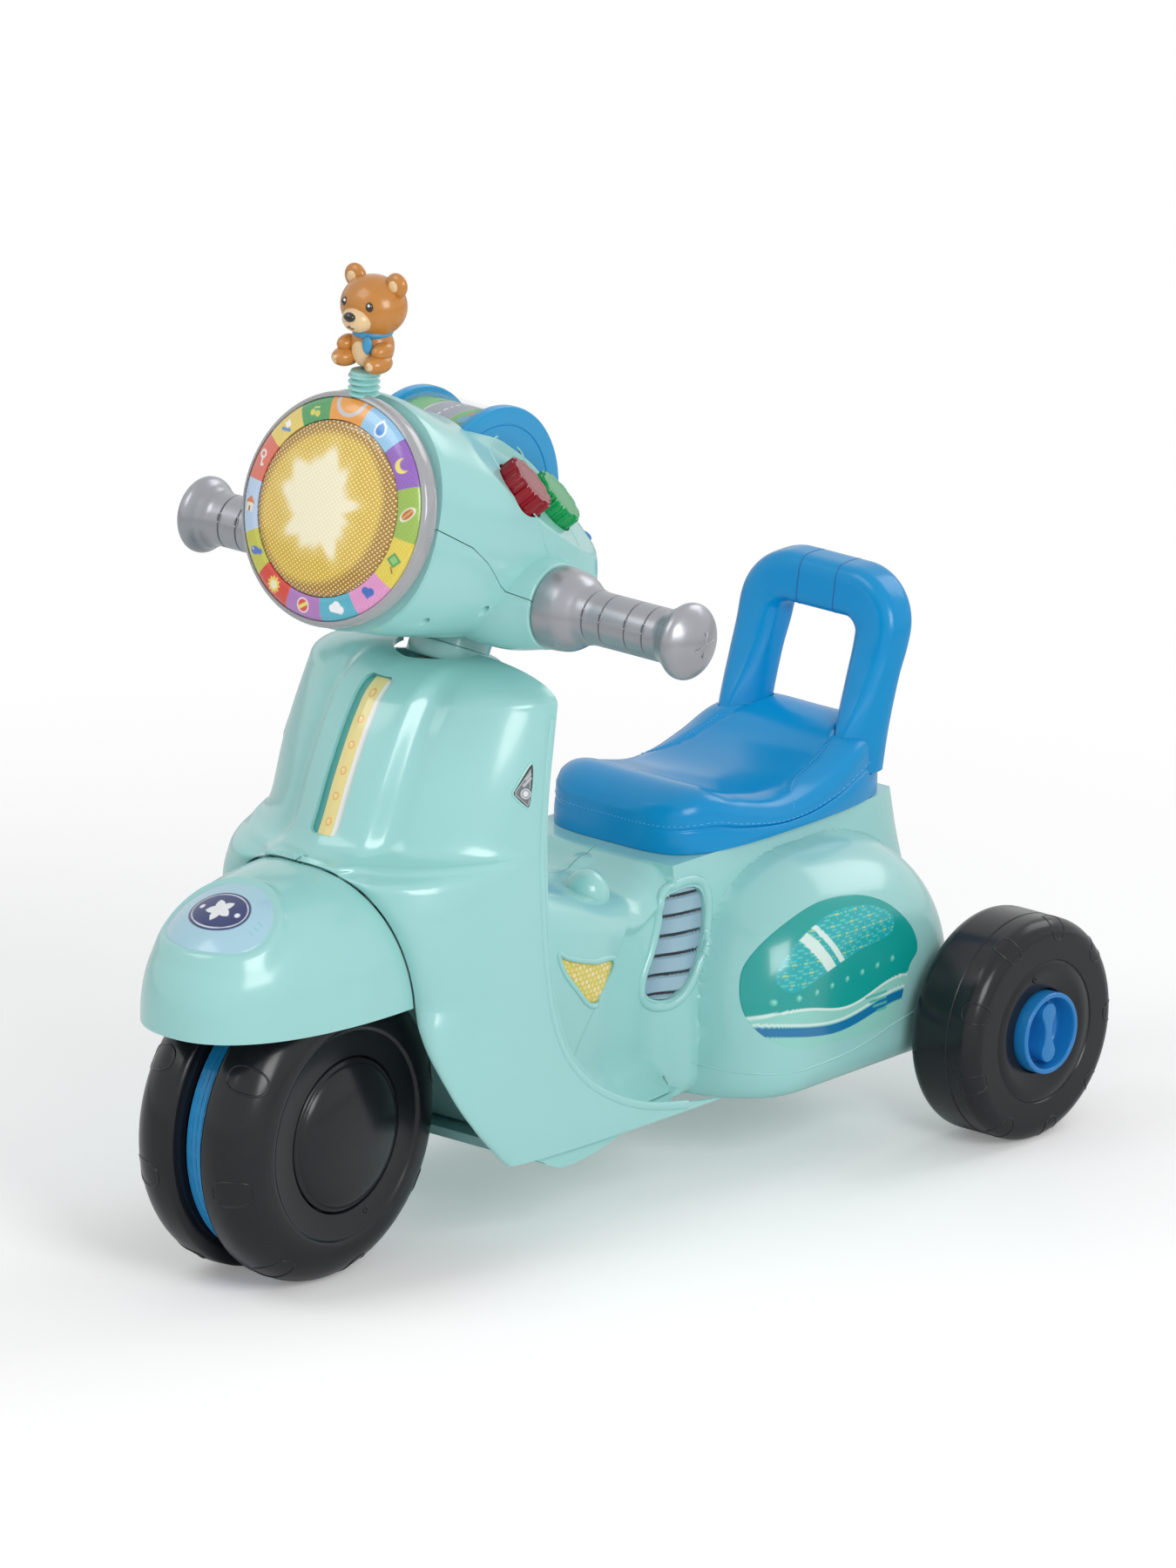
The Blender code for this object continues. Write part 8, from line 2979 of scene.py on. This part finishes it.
class Internals:
    """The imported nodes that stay: they only get their finishes."""

    FINISHES = {
        "steering_housing": Finishes.MINT_SATIN, "upper_bush": Finishes.NYLON, "lower_bush": Finishes.NYLON,
        "rear_axle": Finishes.STEEL, "steering_stem": Finishes.STEEL, "front_axle": Finishes.STEEL,
        "drum_shaft": Finishes.STEEL, "lamp_reflector": Finishes.CHROME, "lamp_board": Finishes.BOARD,
    }

    def build(self) -> None:
        """Dress each node."""
        for name, finish in self.FINISHES.items():
            dress(name, finish)


@dataclass
class Studio:
    """A plain pale floor, a white surround, three soft lamps and the camera."""

    camera_at: tuple[float, float, float] = (8.9734, -10.7640, 4.6841)
    looking: tuple[float, float, float] = (-0.608679, 0.733042, -0.303578)
    roll: float = math.radians(0.8908)
    lens: float = 641.57
    floor_size: float = 60.0
    floor_lift: float = 0.20
    fade_from: float = 0.40
    fade_to: float = 0.95
    world: float = 0.44

    def build(self) -> None:
        """Make them all."""
        self.floor()
        self.surround()
        self.lamp("key_lamp", (-0.9, -1.6, 2.2), 1.3, 15.0)
        self.lamp("side_lamp", (2.2, -1.0, 1.5), 1.1, 29.0)
        self.lamp("rear_lamp", (0.4, 2.2, 2.0), 1.4, 16.0)
        self.camera()

    def floor(self) -> None:
        """The floor: white to the camera where nothing shades it."""
        bm = bmesh.new()
        bmesh.ops.create_grid(bm, x_segments=1, y_segments=1, size=self.floor_size / 2)
        mesh = bpy.data.meshes.new("studio_floor")
        bm.to_mesh(mesh)
        bm.free()
        plate = bpy.data.objects.new("studio_floor", mesh)
        bpy.context.scene.collection.objects.link(plate)
        tree = Tree("studio_floor")
        place = tree.node("TexCoord").outputs["Object"]
        cloud = tree.node("TexNoise", Vector=place, Scale=3.0, Detail=2.0).outputs["Fac"]
        tree.feed(tree.shader, "Base Color",
                  tree.ramp(cloud, [(0.0, (0.92, 0.92, 0.92)), (1.0, (0.94, 0.94, 0.94))]))
        tree.tune(tree.shader, Roughness=0.9, Specular_IOR_Level=0.0)
        seen = tree.node("LightPath").outputs["Is Camera Ray"]
        tree.feed(tree.shader, "Emission Color", (1.0, 1.0, 1.0, 1.0))
        tree.feed(tree.shader, "Emission Strength", tree.math("MULTIPLY", seen, self.floor_lift))
        reach = tree.node("VectorMath", {"operation": "LENGTH"}, Vector=place).outputs["Value"]
        away = tree.node("MapRange", {"interpolation_type": "SMOOTHSTEP"}, Value=reach)
        tree.tune(away, From_Min=self.fade_from, From_Max=self.fade_to)
        white = tree.node("Emission")
        blend = tree.node("MixShader")
        tree.feed(blend, 0, tree.math("MULTIPLY", seen, away.outputs[0]))
        tree.links.new(tree.shader.outputs[0], blend.inputs[1])
        tree.links.new(white.outputs[0], blend.inputs[2])
        tree.links.new(blend.outputs[0], tree.nodes["Material Output"].inputs["Surface"])
        mesh.materials.append(tree.material)

    def surround(self) -> None:
        """A soft grey world that shows white behind the object."""
        world = bpy.data.worlds.new("studio_world")
        world.use_nodes = True
        nodes, links = world.node_tree.nodes, world.node_tree.links
        back = nodes["Background"]
        rays = nodes.new("ShaderNodeLightPath")
        seen = rays.outputs["Is Camera Ray"]
        for kind in ("Is Transmission Ray", "Is Glossy Ray"):
            either = nodes.new("ShaderNodeMath")
            either.operation = "MAXIMUM"
            links.new(seen, either.inputs[0])
            links.new(rays.outputs[kind], either.inputs[1])
            seen = either.outputs[0]
        level = nodes.new("ShaderNodeMapRange")
        links.new(seen, level.inputs["Value"])
        level.inputs["To Min"].default_value = self.world
        level.inputs["To Max"].default_value = 1.0
        back.inputs["Color"].default_value = (1.0, 1.0, 1.0, 1.0)
        links.new(level.outputs[0], back.inputs["Strength"])
        bpy.context.scene.world = world

    def lamp(self, name: str, spot: tuple[float, float, float], size: float, power: float) -> None:
        """One soft square lamp aimed at the object.

        Args:
            name: the lamp's name.
            spot: where it hangs.
            size: its side.
            power: its power in watts.
        """
        light = bpy.data.lights.new(name, "AREA")
        light.shape = "SQUARE"
        light.size = size
        light.energy = power
        holder = bpy.data.objects.new(name, light)
        holder.location = spot
        aim = Vector((0.0, 0.0, 0.22)) - Vector(spot)
        holder.rotation_euler = aim.to_track_quat("-Z", "Y").to_euler()
        bpy.context.scene.collection.objects.link(holder)

    def camera(self) -> None:
        """The camera at the photograph's angle."""
        view = bpy.data.cameras.new("camera")
        view.lens = self.lens
        view.sensor_width = 36.0
        view.clip_start = 0.1
        view.clip_end = 120.0
        holder = bpy.data.objects.new("camera", view)
        holder.location = self.camera_at
        turn = Vector(self.looking).to_track_quat("-Z", "Y").to_matrix() @ Matrix.Rotation(self.roll, 3, "Z")
        holder.rotation_euler = turn.to_euler()
        bpy.context.scene.collection.objects.link(holder)
        bpy.context.scene.camera = holder


def main() -> None:
    """Build every sub-assembly and the studio."""
    logging.basicConfig(level=logging.INFO, format="%(message)s")
    scene = bpy.context.scene
    scene.view_settings.view_transform = "Standard"
    fender = Fender()
    shield = Shield(fender)
    backrest = Backrest()
    panel = ButtonPanel()
    drum = Drum()
    assemblies = [FrontWheel(), RearWheel(), Fork(), fender, shield, BodyShell(), FloorPan(shield), backrest,
                  Seat(backrest), Head(panel, drum), NeckCollar(), Grips(), Lamp(), drum, panel, ModeSwitch(),
                  Bear(), Internals(), Studio()]
    for assembly in assemblies:
        assembly.build()
        LOG.info("built %s", type(assembly).__name__)
    bpy.context.view_layer.update()


if __name__ == "__main__":
    main()
